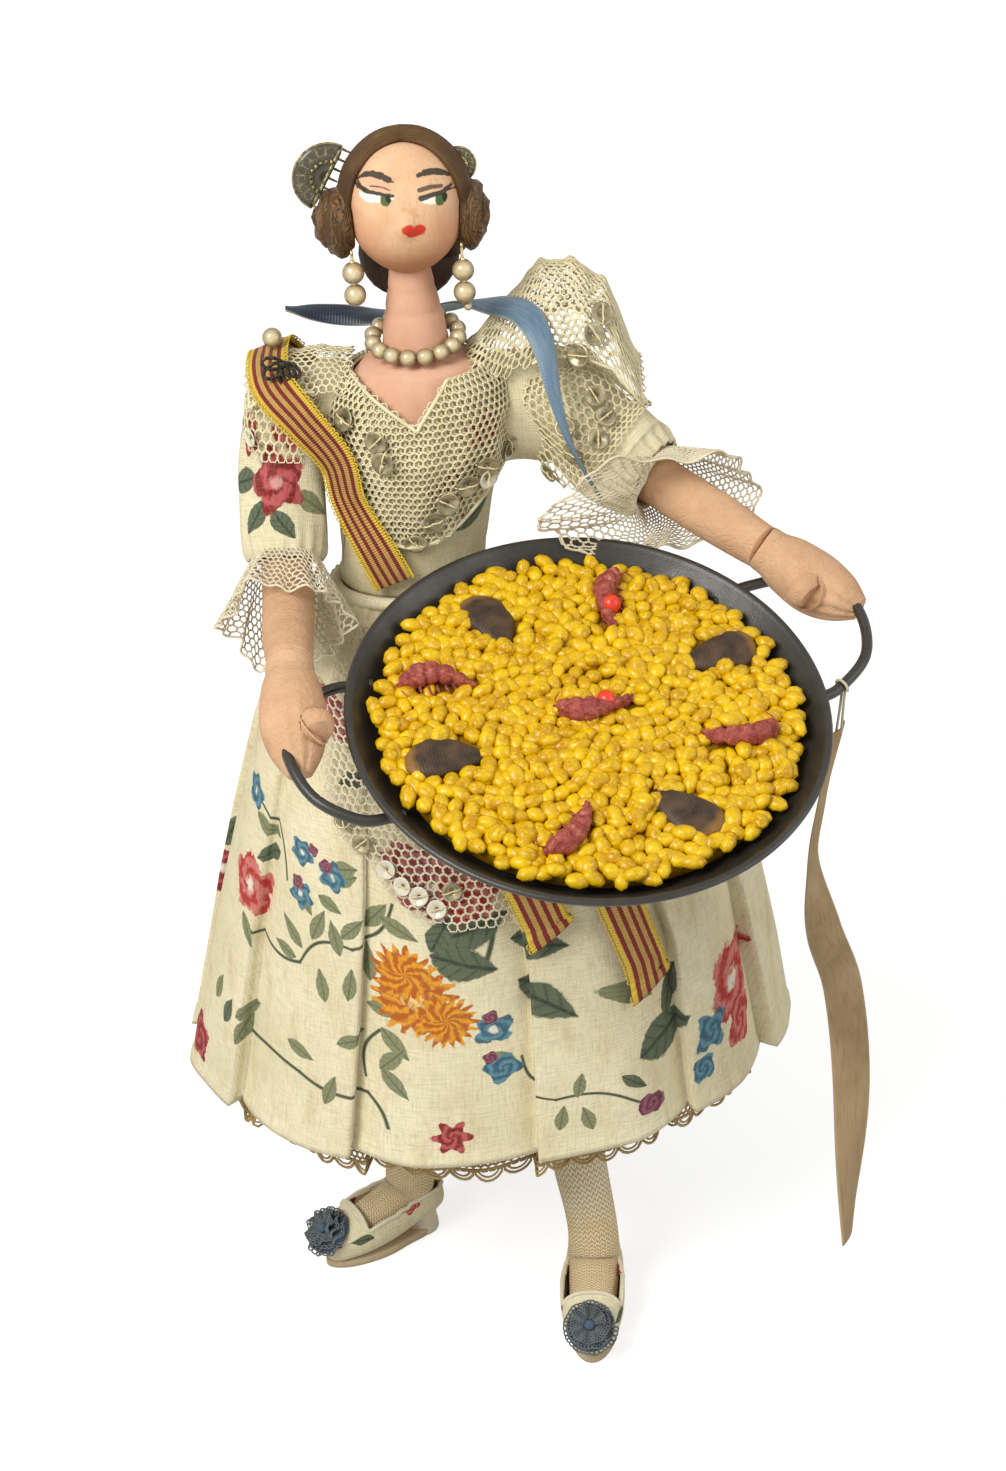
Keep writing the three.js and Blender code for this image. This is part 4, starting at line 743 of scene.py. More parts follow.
def make_comb(name, centre, reach, lean, twist):
    turned = (Matrix.Rotation(math.radians(twist), 3, "Z") @ Matrix.Rotation(math.radians(lean), 3, "Y")
              @ Matrix.Rotation(math.radians(90), 3, "X"))
    side, rise, outward = turned.transposed()
    parts = []

    def spot(x, y, lift=0.4):
        return turned @ Vector((x, y, lift)) + centre

    def fan(radius, angle, lift=0.4):
        return spot(radius * math.cos(angle), radius * math.sin(angle), lift)

    for radius, girth in ((reach * 0.97, 0.24), (reach * 0.42, 0.3)):
        rim = [fan(radius, math.pi * step / 12) for step in range(13)]
        parts.append(tube(rim, girth, 6, 26, outward, 10))
    for spoke in range(9):
        angle = math.pi * (spoke + 0.5) / 9
        parts.append(tube([fan(reach * 0.5, angle), fan(reach * 0.95, angle)], 0.22, 5, 4, outward, 3))
        parts.append(bead(fan(reach * 0.46, angle, 0.75), 0.5))
    for scroll in range(8):
        middle = fan(reach * 0.73, math.pi * (scroll + 1) / 9)
        loop = [middle + (side * math.cos(t * turn / 8) + rise * math.sin(t * turn / 8)) * reach * 0.11
                for t in range(9)]
        parts.append(tube(loop, 0.2, 5, 12, outward, 3))
    parts.append(tube([spot(-reach, 0), spot(reach, 0)], 0.5, 8, 6, outward, 8))
    for tooth in range(7):
        x = reach * (-0.9 + 1.8 * tooth / 6)
        parts.append(tube([spot(x, 0.2), spot(x, -2.6)], [0.3, 0.26, 0.12], 6, 5, outward, 3))
    joined(name + "_comb", parts, comb_gold, "head", "comb_" + name)
    return cloth(24, 4, lambda u, v: fan(reach * (0.06 + 0.89 * v), math.pi * u, 0.4), (10, 3))


plates = [make_comb("right", Vector((-15.6, -0.5, 254.0)), 6.9, -58, 12),
          make_comb("left", Vector((9.8, 0.5, 254.3)), 3.6, 62, 0)]
walled(joined("comb_shells", plates, smoke, "head"), 0.3, 0.0)


# Earrings and necklace: cream glass pearls; each earring hangs two of them on a gilt hook.
# The necklace strings sixteen on a gilt thread.
pearl, shader = new_material("cream_pearl", "pearl", Roughness=0.2, Specular_IOR_Level=0.5, Coat_Weight=0.6)
cloud = noise(in_mm(shader), 0.7, 3.0)
# Each pearl is painted darker towards its rim, as painted shade round a lit middle.
facing = node(shader.id_data, "ShaderNodeLayerWeight", {"Blend": 0.72}, "Facing")
body_colour = blended(spread(cloud, 0.3, 0.7), (0.7, 0.57, 0.33), (0.56, 0.44, 0.23))
finish(shader, blended(facing, body_colour, (0.12, 0.08, 0.02)), cloud, 0.02)
gilt = speckled("gilt_wire", "pearl", (1.2, 3.0), (0.45, 0.34, 0.14), (0.75, 0.62, 0.33), 0.0,
                gloss=(0.24, 0.42), Metallic=1.0)
pearl_radius, earring_y = 2.2, -7.2
for side, x, high_pearl, low_pearl, tail in (
        ("right", -11.9, 236.5, 232.0, []), ("left", 9.4, 235.5, 231.0, [0.85])):
    earring = "earring_" + side
    drops = [bead(Vector((x, earring_y, z)), pearl_radius, 24, 16) for z in (high_pearl, low_pearl)]
    drops += [bead(Vector((x + 0.5, earring_y, low_pearl - 3.0)), radius, 12, 8) for radius in tail]
    joined(earring + "_pearls", drops, pearl, earring, earring)
    hook = [Vector((x, earring_y, z)) for z in (241.0, 240.2, high_pearl + 2.0)]
    eye = [Vector((x, earring_y + 0.55 * math.sin(turn * t / 8), 240.6 + 0.5 * math.cos(turn * t / 8)))
           for t in range(9)]
    caps = [bead(Vector((x, earring_y, high_pearl + lift)), 0.5, 10, 6) for lift in (2.2, -2.25)]
    joined(earring + "_hook", [tube(hook, 0.3, 8, 6), tube(eye, 0.22, 6, 16), *caps], gilt, earring)

necklace_pearls, necklace_radius = 16, 8.6


def on_necklace(share):
    x, y = necklace_radius * math.cos(turn * share), necklace_radius * math.sin(turn * share)
    return Vector((-1 + x, -1.5 + y, 220.6 + 0.16 * y))


strung = [bead(on_necklace((count + 0.5) / necklace_pearls), 1.72, 20, 14)
          for count in range(necklace_pearls)]
joined("pearl_necklace", strung, pearl, "figure", "necklace")
joined("necklace_thread", [tube([on_necklace(step / 24) for step in range(25)], 0.2, 6, 72)], gilt, "figure")


# Bodice: the same printed linen as the skirt, cut close and shaped by four shallow darts, its ground painted
# darker as shade under the shawl.
# Its roses show through the shawl. A drawn flower, leaf or stem is one patch of the print.
flower, given, result = new_group(
    "printed_flower", {"Vector": ["Cloth", "Middle"], "Float": ["Radius", "Petals", "Turned", "Frill"]},
    {"Float": ["Mask", "Shade", "Eye"]})
reached = given["Cloth"].vector("SUBTRACT", given["Middle"])
uneven = noise(given["Cloth"], 0.55, 2.0) * 0.5 - 0.25
away = reached.vector("LENGTH", output=1) / given["Radius"] + uneven
along_cloth, up_cloth, _ = xyz(reached)
petal_turn = (up_cloth.math("ARCTAN2", along_cloth) + given["Turned"]) * given["Petals"]
border = petal_turn.math("COSINE") * given["Frill"] + 0.86 - away
fold_wave = (away * 13.0 + petal_turn * 0.5).math("SINE")
streaks = noise(stretched(given["Cloth"], 1.6, 0.5, 1), 1.0, 3.0, 0.7)
give(result, Mask=spread(border, 0.0, 0.07), Shade=spread(fold_wave * 0.24 + streaks, 0.35, 0.72),
     Eye=spread(streaks * 0.3 + away, 0.4, 0.26))

leaf, given, result = new_group(
    "printed_leaf", {"Vector": ["Cloth", "Middle"], "Float": ["Turned", "Length", "Width"]},
    {"Float": ["Mask", "Vein"]})
reached = given["Cloth"].vector("SUBTRACT", given["Middle"])
laid = node(leaf, "ShaderNodeVectorRotate", {"Vector": reached, "Angle": given["Turned"]},
            rotation_type="Z_AXIS")
along_leaf, across_leaf, _ = xyz(laid)
length_share, width_share = along_leaf / given["Length"], abs(across_leaf / given["Width"])
outline = (length_share * length_share * -1.0 + 1.0) * (length_share * -0.35 + 1.0).math("MAXIMUM", 0.3)
uneven = noise(given["Cloth"], 0.9, 2.0) * 0.3 - 0.15
ribs = ((length_share + width_share * 0.45) * 16.0).math("SINE")
veins = spread(width_share, 0.16, 0.05).math("MAXIMUM", spread(ribs, 0.55, 0.95, 0.0, 0.6))
give(result, Mask=spread(outline - width_share + uneven, 0.0, 0.12), Vein=veins)

stem, given, result = new_group(
    "printed_stem", {"Vector": ["Cloth", "From", "To"], "Float": ["Bend", "Width"]}, {"Float": ["Mask"]})
span = given["To"].vector("SUBTRACT", given["From"])
reached = given["Cloth"].vector("SUBTRACT", given["From"])
squared = span.vector("DOT_PRODUCT", span, output=1)
share = reached.vector("DOT_PRODUCT", span, output=1).math("DIVIDE", squared, use_clamp=True)
along_span, up_span, _ = xyz(span)
across_span = node(stem, "ShaderNodeCombineXYZ", {0: up_span * -1.0, 1: along_span})
bow = (share * math.pi).math("SINE") * given["Bend"]
off = reached.vector("SUBTRACT", span.vector("SCALE", Scale=share))
off = off.vector("SUBTRACT", across_span.vector("SCALE", Scale=bow)).vector("LENGTH", output=1)
give(result, Mask=spread(off, given["Width"], given["Width"] * 0.4))

# Inks of the print: the deep and the pale shade of each.
rose_red = ((0.2, 0.008, 0.014), (0.5, 0.09, 0.1))
faded_rose = ((0.27, 0.04, 0.05), (0.5, 0.17, 0.17))
coral_red = ((0.42, 0.02, 0.022), (0.62, 0.2, 0.17))
marigold = ((0.45, 0.1, 0.01), (0.76, 0.33, 0.018))
berry_blue = ((0.03, 0.11, 0.17), (0.1, 0.26, 0.33))
plum = ((0.13, 0.03, 0.06), (0.3, 0.09, 0.14))
forest = ((0.028, 0.05, 0.032), (0.1, 0.13, 0.08))
sage = ((0.12, 0.14, 0.07), (0.23, 0.25, 0.13))
linen_cream = ((0.72, 0.64, 0.4), (0.84, 0.76, 0.52))


def print_on(colour, where, motifs):
    def motif(kind, **inputs):
        made = put(where.tree, "ShaderNodeGroup", {"Cloth": where, **inputs}, node_tree=kind)
        return {name: Value(where.tree, socket) for name, socket in made.outputs.items()}

    for kind, first, *data in motifs:
        if kind == "flower":
            radius, petals, frill, (deep, pale), eye = data
            made = motif(flower, Middle=(*first, 0), Radius=radius, Petals=petals, Turned=first[0] * 0.7,
                         Frill=frill)
            ink = blended(made["Shade"], deep, pale)
            ink = blended(made["Eye"], ink, eye) if eye else ink
        elif kind == "leaf":
            angle, length, width, (deep, pale) = data
            made = motif(leaf, Middle=(*first, 0), Turned=-math.radians(angle), Length=length, Width=width)
            ink = blended(made["Vein"], pale, deep)
        else:
            second, bend, width, ink = data
            made = motif(stem, From=(*first, 0), To=(*second, 0), Bend=bend, Width=width)
        colour = blended(made["Mask"], colour, ink)
    return colour


def printed_linen(name, motifs, stains=0.0, ground=linen_cream):
    made, shader = new_material(name, "printed_linen", Roughness=0.88)
    where = cloth_mm(shader)
    colour = blended(spread(noise(where, 0.05, 4.0, 0.6), 0.3, 0.7), *ground)
    if stains:
        smear = spread(noise(stretched(where, 0.16, 0.05, 1), 1.0, 4.0, 0.65), 0.52, 0.75, 0.0, stains)
        colour = blended(smear, colour, (0.56, 0.36, 0.16))
    colour = print_on(colour, where, motifs)
    for slubs in ((0.22, 2.6, 1), (2.6, 0.22, 1)):
        darker = spread(noise(stretched(where, *slubs), 1.0, 3.0, 0.75), 0.46, 0.72, 0.0, 0.3)
        colour = blended(darker, colour, (0.25, 0.2, 0.11))
    woven(shader, colour, 0.42, 0.07, 0.62)
    return made


# Its darker ground, given last, is painted shade under the shawl.
bodice_print = printed_linen("bodice_linen", [
    ("stem", (-20, 4), (16, 26), 0.25, 0.35, (0.1, 0.13, 0.08)),
    ("flower", (6.5, 23), 5.2, 5, 0.1, faded_rose, (0.8, 0.7, 0.6)),
    ("flower", (-15, 31), 4.2, 5, 0.1, rose_red, (0.6, 0.4, 0.3)),
    ("flower", (12.5, 34), 4.6, 6, 0.1, coral_red, None),
    ("flower", (-6, 9), 3.2, 5, 0.12, berry_blue, None),
    ("flower", (44, 22), 5, 5, 0.1, rose_red, (0.8, 0.7, 0.6)),
    ("flower", (-46, 15), 5, 5, 0.1, coral_red, (0.8, 0.7, 0.6)),
    ("leaf", (12, 16), 30, 5, 2.2, forest), ("leaf", (-9, 24), 150, 4.6, 2, sage),
    ("leaf", (-2, 15), -40, 4.6, 2, forest), ("leaf", (34, 12), 70, 5, 2.2, sage),
    ("leaf", (-36, 26), 110, 5, 2.2, forest),
], ground=((0.54, 0.46, 0.27), (0.66, 0.58, 0.36)))
front_angle = math.radians(-90)
bodice_foot, bodice_height = 169.5, 45.5
neck_point_x, neck_point_z, right_slope, left_slope = -2, 206.5, 1.35, 0.75


def in_neckline(point, margin=0.0):
    rise = point.z - neck_point_z
    slope = right_slope if point.x < neck_point_x else left_slope
    return point.y < 0 and rise > -margin and abs(point.x - neck_point_x) < rise * slope + margin


def bodice_cloth(u, v):
    angle = front_angle + turn * (u - 0.5)
    z = bodice_foot + bodice_height * v
    dart = 0.25 * math.exp(-((math.cos(2 * angle) + 0.2) / 0.12) ** 2)
    return on_torso(angle, z, 1.2 - dart + 0.14 * math.sin(7 * angle + 0.4 * z) * (1 - v))


bodice_shape = cloth(120, 60, bodice_cloth, lambda u, v: ((u - 0.5) * 92, v * bodice_height), True)
opening = [patch for patch in bodice_shape.faces if in_neckline(drawn(patch.calc_center_median()), 0.3)]
bmesh.ops.delete(bodice_shape, geom=opening, context="FACES")
bodice = walled(dress("linen_bodice", bodice_shape, bodice_print, "figure", "bodice"), 0.5)


# Shawl: cream bobbin net of six-sided cells, doubled over the breast and thrown over both shoulders in folds.
# net() lays the cells out flat and puts each knot on the cloth; threads() makes their outlines round.
def net(place, left, right, low_edge, high_edge, pitch, keep=None):
    shape = bmesh.new()
    shape.loops.layers.uv.new("cloth_mm")
    row_step, cell_radius = pitch * math.sqrt(3) / 2, pitch / math.sqrt(3)
    for row in range(int((high_edge - low_edge) / row_step) + 1):
        for column in range(int(round((right - left) / pitch))):
            x = left + (column + 0.5 * (row % 2)) * pitch
            y = low_edge + row * row_step
            if keep is None or keep(x, y):
                spot = Matrix.Translation((x, y, 0)) @ Matrix.Rotation(math.radians(30), 4, "Z")
                bmesh.ops.create_circle(shape, cap_ends=True, segments=6, radius=cell_radius, matrix=spot)
    bmesh.ops.remove_doubles(shape, verts=shape.verts, dist=pitch * 0.05)
    for point in shape.verts:
        point.co = at(place(point.co.x, point.co.y))
    bmesh.ops.remove_doubles(shape, verts=shape.verts, dist=pitch * 0.00005)
    return shape


def threads(piece, thickness):
    outline = piece.modifiers.new("threads", "WIREFRAME")
    outline.thickness = thickness * 0.001
    outline.use_even_offset = False
    outline.use_boundary = True
    outline.use_replace = True
    return piece


def net_thread(name, slot, pale, deep):
    made, shader = new_material(name, slot, Roughness=0.85)
    fibre = noise(in_mm(shader), 5.0, 2.0)
    colour = blended(spread(noise(in_mm(shader), 0.22, 3.0), 0.36, 0.66), pale, deep)
    finish(shader, blended(fibre * 0.5, colour, (0.35, 0.29, 0.17)), fibre, 0.05)
    return made


shawl_thread = net_thread("shawl_net", "net", (0.9, 0.82, 0.54), (0.78, 0.69, 0.43))
net_pitch = 1.55
ring_round = 66 * net_pitch
ring_foot = 181


def shawl_edge(angle):
    front = max(0.0, -math.sin(angle))
    back = max(0.0, math.sin(angle))
    return 195 - 14 * front * front - 14 * back * back


def shawl_ring(lift, shift):
    def round_body(x):
        return front_angle + turn * (x + shift) / ring_round

    def place(x, y):
        angle, z = round_body(x), ring_foot + y
        folds = 0.35 * math.sin(6 * angle + 0.22 * z) + 0.2 * math.sin(15 * angle - 0.1 * z)
        return on_torso(angle, min(z, 215.4), lift + folds * (0.4 if z > 205 else 1.0))

    def keep(x, y):
        spot = place(x, y)
        return spot.z > shawl_edge(round_body(x)) + 0.4 and not in_neckline(spot)

    return net(place, -ring_round / 2, ring_round / 2, 0.3, 34.2, net_pitch, keep)


shawl_layers = [shawl_ring(2.55, 0.0), shawl_ring(1.95, 0.5 * net_pitch)]

# One row of a drape is a place along the shoulder, then its arch's middle, foot, ridge and half depth there.
right_drape = [(-14, 0.6, 206, 216.8, 11.4), (-18, 1.6, 206, 217.4, 11.8), (-25.5, 1.6, 207, 217.4, 10.8),
               (-31, 1.6, 207, 216.7, 10.6), (-35, 1.2, 205, 213.6, 9.6)]
left_drape = [(9.5, 0.6, 206, 216.4, 11.2), (16.5, 5, 205, 222.6, 12.4), (25, 6, 205, 230.8, 14.4),
              (31.5, 5.5, 205, 230.4, 15.6), (37.5, 4.5, 203, 226.2, 14.8), (43.2, 3, 200, 210, 12)]


def over_shoulder(table, limits, folds):
    first, last = min(row[0] for row in table), max(row[0] for row in table)

    def arch(x, angle):
        middle, base, ridge, depth = at_level(table, x)
        wave = folds * (0.6 * math.sin(0.85 * x + 1.5 * angle) + 0.3 * math.sin(2.1 * x - 2.4 * angle))
        return Vector((x, middle + (depth + 0.55 + wave) * math.sin(angle),
                       base + (ridge - base + 0.55 + wave) * math.cos(angle)))

    def place(x, y):
        angle, walked, step = 0.0, 0.0, math.copysign(0.02, y)
        spot = arch(x, 0.0)
        while walked < abs(y):
            following = arch(x, angle + step)
            leap = (following - spot).length
            if walked + leap >= abs(y):
                return lerp(spot, following, (abs(y) - walked) / leap)
            walked, spot, angle = walked + leap, following, angle + step
        return spot

    def keep(x, y):
        spot = place(x, y)
        middle, base, ridge, depth = at_level(table, x)
        rise = max(0.01, (spot.z - base) / (ridge - base))
        reach = math.degrees(math.atan2((spot.y - middle) / depth, rise))
        return limits[0] < reach < limits[1] and first < x < last

    sides = [math.radians(limit) for limit in limits]
    inner, outer = (first + 0.3, last - 0.3) if last > 0 else (last - 0.3, first + 0.3)
    inner = lerp(inner, outer, 0.36)
    corners = [(inner, sides[0]), (outer, sides[0]), (outer, sides[1]), (inner, sides[1])]
    round_edge = [arch(lerp(a[0], b[0], t / 12), lerp(a[1], b[1], t / 12))
                  for a, b in zip(corners, corners[1:]) for t in range(12)]
    return place, keep, round_edge


hems = []
for table, limits, folds, left, right in ((right_drape, (-56, 60), 0.45, -35.5, -14),
                                          (left_drape, (-64, 64), 0.8, 9, 44),
                                          (left_drape, (-58, 30), 0.3, 10.3, 42)):
    place_drape, keep_drape, drape_edge = over_shoulder(table, limits, folds)
    if folds > 0.3:
        hems.append(tube(drape_edge, 0.36, 6, 200, Vector((0.5, 0.5, 0.7)), 120))
    shawl_layers.append(net(place_drape, left, right, -30, 30, net_pitch, keep_drape))

shawl_shape = one_mesh(shawl_layers)
shawl_surface = BVHTree.FromBMesh(shawl_shape)
shawl = threads(dress("net_shawl", shawl_shape, shawl_thread, "figure", "shawl"), 0.36)


def on_chest(x, z, lift):
    middle, _, half_width, _ = at_level(torso_levels, z)
    return on_torso(-math.acos(min(0.999, max(-0.999, (x - middle) / (half_width + lift)))), z, lift)


neck_edge = [on_chest(neck_point_x + slope * (z - neck_point_z), z, 2.5) for slope, z in (
    (-right_slope, 215.4), (-right_slope, 213), (-right_slope, 210.5), (-right_slope, 208.5),
    (-right_slope, 207), (0, 206.4), (left_slope, 207.5), (left_slope, 209.5), (left_slope, 212),
    (left_slope, 215.4))]
lower_edge = [on_torso(turn * step / 72, shawl_edge(turn * step / 72) + 0.4, 2.5) for step in range(73)]
for edge in (neck_edge, lower_edge):
    hems.append(tube(edge, 0.4, 6, 120, Vector((0.1, 0.5, 0.8)), 90))
joined("shawl_hem", hems, shawl_thread, "figure")


# Sequins: smoky grey-gold cups held on the net by stitches of cream thread; a few of them are white.
# Each lies where the photograph shows it.
def seen_on(surface, pixel_x, pixel_y):
    return surface.ray_cast(camera_spot, sight_line(pixel_x, pixel_y))[:2]


def spin_round(profile, steps, centre, axis):
    shape = bmesh.new()
    shape.loops.layers.uv.new("cloth_mm")
    ring = [shape.verts.new((x, 0, z)) for x, z in profile]
    edges = [shape.edges.new(pair) for pair in zip(ring, ring[1:])]
    bmesh.ops.spin(shape, geom=ring + edges, cent=(0, 0, 0), axis=(0, 0, 1), dvec=(0, 0, 0), angle=turn,
                   steps=steps, use_merge=True)
    bmesh.ops.remove_doubles(shape, verts=shape.verts, dist=1e-4)
    bmesh.ops.recalc_face_normals(shape, faces=shape.faces)
    turned = Vector(axis).to_track_quat("Z", "Y").to_matrix()
    for point in shape.verts:
        point.co = at(turned @ point.co + Vector(centre))
    return shape


sequin_gold = speckled("smoky_sequin", "net", (0.5, 3.0), (0.17, 0.14, 0.075), (0.4, 0.34, 0.19), 0.05,
                       (0.35, 0.65), Metallic=0.35, Roughness=0.34, Coat_Weight=0.5)
sequin_white = speckled("white_sequin", "net", (0.6, 3.0), (0.6, 0.55, 0.4), (0.78, 0.74, 0.6), 0.03,
                        Roughness=0.22, Coat_Weight=0.5)
stitch_thread = speckled("cream_stitches", "net", (6.0, 2.0), (0.62, 0.5, 0.25), (0.86, 0.75, 0.44), 0.05,
                         Roughness=0.7)
sequin_profile = ((0.2, 0), (0.5, 0.05), (0.8, 0.42), (1, 0.5), (1.02, 0.4), (0.82, 0.3), (0.52, -0.08),
                  (0.2, -0.12), (0.2, 0))
dice = random.Random(7)


def sew_sequins(name, surface, pixels, radius, disc, body):
    cups, stitches = [], []
    for pixel_x, pixel_y in pixels:
        spot, facing = seen_on(surface, pixel_x, pixel_y)
        if spot is None:
            continue
        facing = -facing if facing.dot(backwards) < 0 else facing
        tilt = Vector((dice.uniform(-0.25, 0.25), dice.uniform(-0.2, 0.2), dice.uniform(-0.2, 0.2)))
        facing = (facing + tilt).normalized()
        middle = drawn(spot) + facing * 0.75
        cups.append(spin_round([(radius * share, z) for share, z in sequin_profile], 16, middle, facing))
        side = Matrix.Rotation(dice.uniform(0, turn), 3, facing) @ facing.orthogonal().normalized()
        for reach in (side, -side):
            stitch = [middle + reach * radius * aside + facing * rise
                      for aside, rise in ((0, -0.4), (0, 0.55), (0.65, 0.75), (1.15, -0.45))]
            stitches.append(tube(stitch, 0.17, 5, 8, facing, 5))
    joined(name, cups, disc, body)
    joined(name + "_stitches", stitches, stitch_thread, body)


shawl_sequin_pixels = (
    (310, 403), (347, 420), (378, 441), (385, 462), (404, 556), (416, 540), (431, 521), (446, 503),
    (486, 464), (465, 484), (506, 446), (520, 420), (551, 463), (535, 478), (600, 315), (592, 335),
    (580, 355), (605, 398), (595, 418), (590, 438), (560, 405), (578, 372))
white_sequin_pixels = ((275, 457), (283, 433), (308, 400), (558, 395), (485, 478))
sew_sequins("shawl_sequins", shawl_surface, shawl_sequin_pixels, 2.4, sequin_gold, "figure")
sew_sequins("shawl_white_sequins", shawl_surface, white_sequin_pixels, 1.9, sequin_white, "figure")


# Sleeves: linen puffs gathered into the armhole and into a narrow band below the elbow.
# The right one carries the print; the left one is cut from the plain ground of the same cloth.
def sleeve(route, girths, across, gathers, length):
    route = [Vector(point) for point in route]

    def place(u, v):
        angle = turn * u
        forward = heading(route, v)
        side = (across - forward * across.dot(forward)).normalized()
        other = forward.cross(side)
        near_hem = math.exp(-((1 - v) / 0.2) ** 2)
        near_top = math.exp(-(v / 0.16) ** 2)
        radius = along(girths, v) - 0.3
        radius += gathers * (0.3 * math.sin(17 * angle) * (near_hem + near_top)
                             + 0.38 * math.sin(5 * angle + 9 * v) * math.sin(math.pi * v)
                             + 0.2 * math.sin(3 * angle - 16 * v) * math.sin(math.pi * v))
        radius -= 0.75 * math.exp(-((1 - v) / 0.045) ** 2)
        return along(route, v) + side * radius * math.cos(angle) + other * radius * math.sin(angle)

    return cloth(120, 64, place, lambda u, v: ((u - 0.5) * 54, v * length), True), place


right_sleeve_print = printed_linen("right_sleeve_linen", [
    ("stem", (0, 5), (7, 26), 0.2, 0.4, (0.06, 0.09, 0.05)),
    ("leaf", (-8, 31), 60, 4.4, 2.1, forest), ("leaf", (-14, 33), 120, 4.6, 2.2, forest),
    ("leaf", (-3.5, 24), 10, 4.6, 2.2, forest), ("leaf", (-20, 28), 150, 4.4, 2, sage),
    ("flower", (-12.6, 24), 6.4, 5, 0.16, rose_red, (0.62, 0.3, 0.26)),
    ("flower", (-15, 15), 4.4, 5, 0.14, coral_red, None),
    ("flower", (-5.5, 17), 3.4, 5, 0.14, rose_red, None),
    ("flower", (16, 22), 5.6, 5, 0.14, rose_red, (0.62, 0.3, 0.26)),
    ("leaf", (12, 30), 70, 4.6, 2.1, forest), ("leaf", (21, 29), 110, 4.4, 2, forest),
])
plain_linen = printed_linen("left_sleeve_linen", [], stains=0.25)
sleeve_lines = {
    "right": [(-27, 1.6, 215.4), (-27.3, 1.6, 210), (-29.4, -2.5, 196), (-30.3, -7.5, 185),
              (-30.6, -11.5, 178.5)],
    "left": [(23, 1.6, 215.4), (25, 1.6, 209), (33.5, -1.5, 197), (40, -4.6, 191.4), (44.4, -7.5, 189.2)],
}
on_sleeve = {}
for side, girths, across, gathers, length, linen, limit, outside in (
        ("right", [2.4, 8.2, 9.0, 9.2, 8.6], Vector((1, 0, 0)), 1.0, 42, right_sleeve_print, -21.7, -1),
        ("left", [2.4, 8.2, 10.4, 10.6, 9.3], Vector((0, 1, 0)), 1.3, 40, plain_linen, 19.2, 1)):
    sleeve_shape, on_sleeve[side] = sleeve(sleeve_lines[side], girths, across, gathers, length)
    for point in sleeve_shape.verts:
        spot = drawn(point.co)
        if outside * (spot.x - limit) < 0.1:
            point.co = at((limit + outside * 0.1, spot.y, spot.z))
    puff = walled(dress(side + "_linen_sleeve", sleeve_shape, linen, side + "_arm", side + "_sleeve"), 0.5)


# Armholes: a gusset of the plain linen joins each sleeve to the side of the bodice.
# It is gathered: its inner rim lies on the bodice and its outer rim on the sleeve.
for side, inner, outer, low_rim, half_high in (
        ("right", -14, -23.5, 194.5, 10), ("left", 10.5, 24.5, 190.5, 11.5)):
    def gusset_cloth(u, v):
        return Vector((lerp(inner, outer, v), 1.2 + (8.4 - 0.8 * v) * math.cos(turn * u),
                       low_rim + half_high * (1 + math.sin(turn * u)) + 1.5 * math.sin(math.pi * v)))

    gusset_shape = cloth(48, 10, gusset_cloth, (50, 12), True)
    gusset = walled(dress(side + "_armhole_gusset", gusset_shape, plain_linen, None), 0.4)
    side + "_arm"
    at((inner, 1.6, 207))
    at((outer, 1.6, 207))
    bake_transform(gusset)


# Shawl ends: the net runs on over the tops of both sleeves and is caught there by more sequins.
# Each is laid 1.3 mm off its sleeve with shallow folds, and its outer edge is a curve.
def net_over_sleeve(side, middle, wide, first, last, blend_from, blend_to):
    length, girth = 41.0, 9.6
    route = [Vector(point) for point in sleeve_lines[side]]

    def place(x, y):
        spot = on_sleeve[side]((middle + x / girth) / turn, y / length)
        lift = 1.3 + 0.35 * math.sin(0.5 * x + 0.3 * y)
        return spot + (spot - along(route, y / length)).normalized() * lift

    def keep(x, y):
        return y < last - 0.014 * x * x + 1.2 * math.sin(0.35 * x)

    shape = net(place, -wide, wide, first, last, net_pitch, keep)
    surface = BVHTree.FromBMesh(shape)
    piece = threads(dress("net_on_%s_sleeve" % side, shape, shawl_thread, None), 0.34)
    at((blend_from, 1.6, 207))
    at((blend_to, 1.6, 207))
    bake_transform(piece)
    return surface


right_net = net_over_sleeve("right", math.radians(75), 13, 8.5, 20, -19, -27)
left_net = net_over_sleeve("left", math.radians(160), 18, 7.5, 27, 17, 27)
left_sleeve_pixels = ((552, 470), (575, 452), (597, 440), (604, 418), (594, 395), (566, 428))
right_sleeve_pixels = ((261, 460), (254, 436))
sew_sequins("left_sleeve_sequins", left_net, left_sleeve_pixels, 2.1, sequin_gold, "left_arm")
sew_sequins("right_sleeve_sequin", right_net, right_sleeve_pixels, 1.9, sequin_white, "right_arm")


# Arms: stuffed tan cotton felt, sewn straight at the wrist; the hands are mitten shaped, closed round the
# pan's handles with a round thumb, and the fingers are only drawn in with a few stitched furrows.
felt, shader = new_material("tan_felt", "skin_cloth", Roughness=0.95)
place = in_mm(shader)
specks = noise(place, 1.1, 3.0, 0.7)
fuzz = noise(place, 3.4, 3.0, 0.65)
colour = blended(spread(noise(place, 0.16, 4.0, 0.6), 0.33, 0.68), (0.64, 0.38, 0.21), (0.52, 0.28, 0.14))
colour = blended(spread(specks, 0.62, 0.75, 0.0, 0.6), colour, (0.4, 0.2, 0.08))
creases = spread(abs(noise(place, 0.35, 3.0, 0.6) - 0.5), 0.0, 0.06)
finish(shader, blended(fuzz * 0.35, colour, (0.76, 0.54, 0.36)), creases * 0.6 + fuzz, 0.14)


def arm_ripple(angle, share):
    return 0.1 * math.sin(3 * angle + 20 * share)


def furrows(angle, share):
    fingers = sum(math.exp(-((math.cos(angle) - mark) / 0.09) ** 2) for mark in (-0.5, 0.0, 0.5))
    reach = min(1.0, max(0.0, (share - 0.35) / 0.3))
    return -0.5 * fingers * reach - 0.35 * math.exp(-((share - 0.12) / 0.05) ** 2)


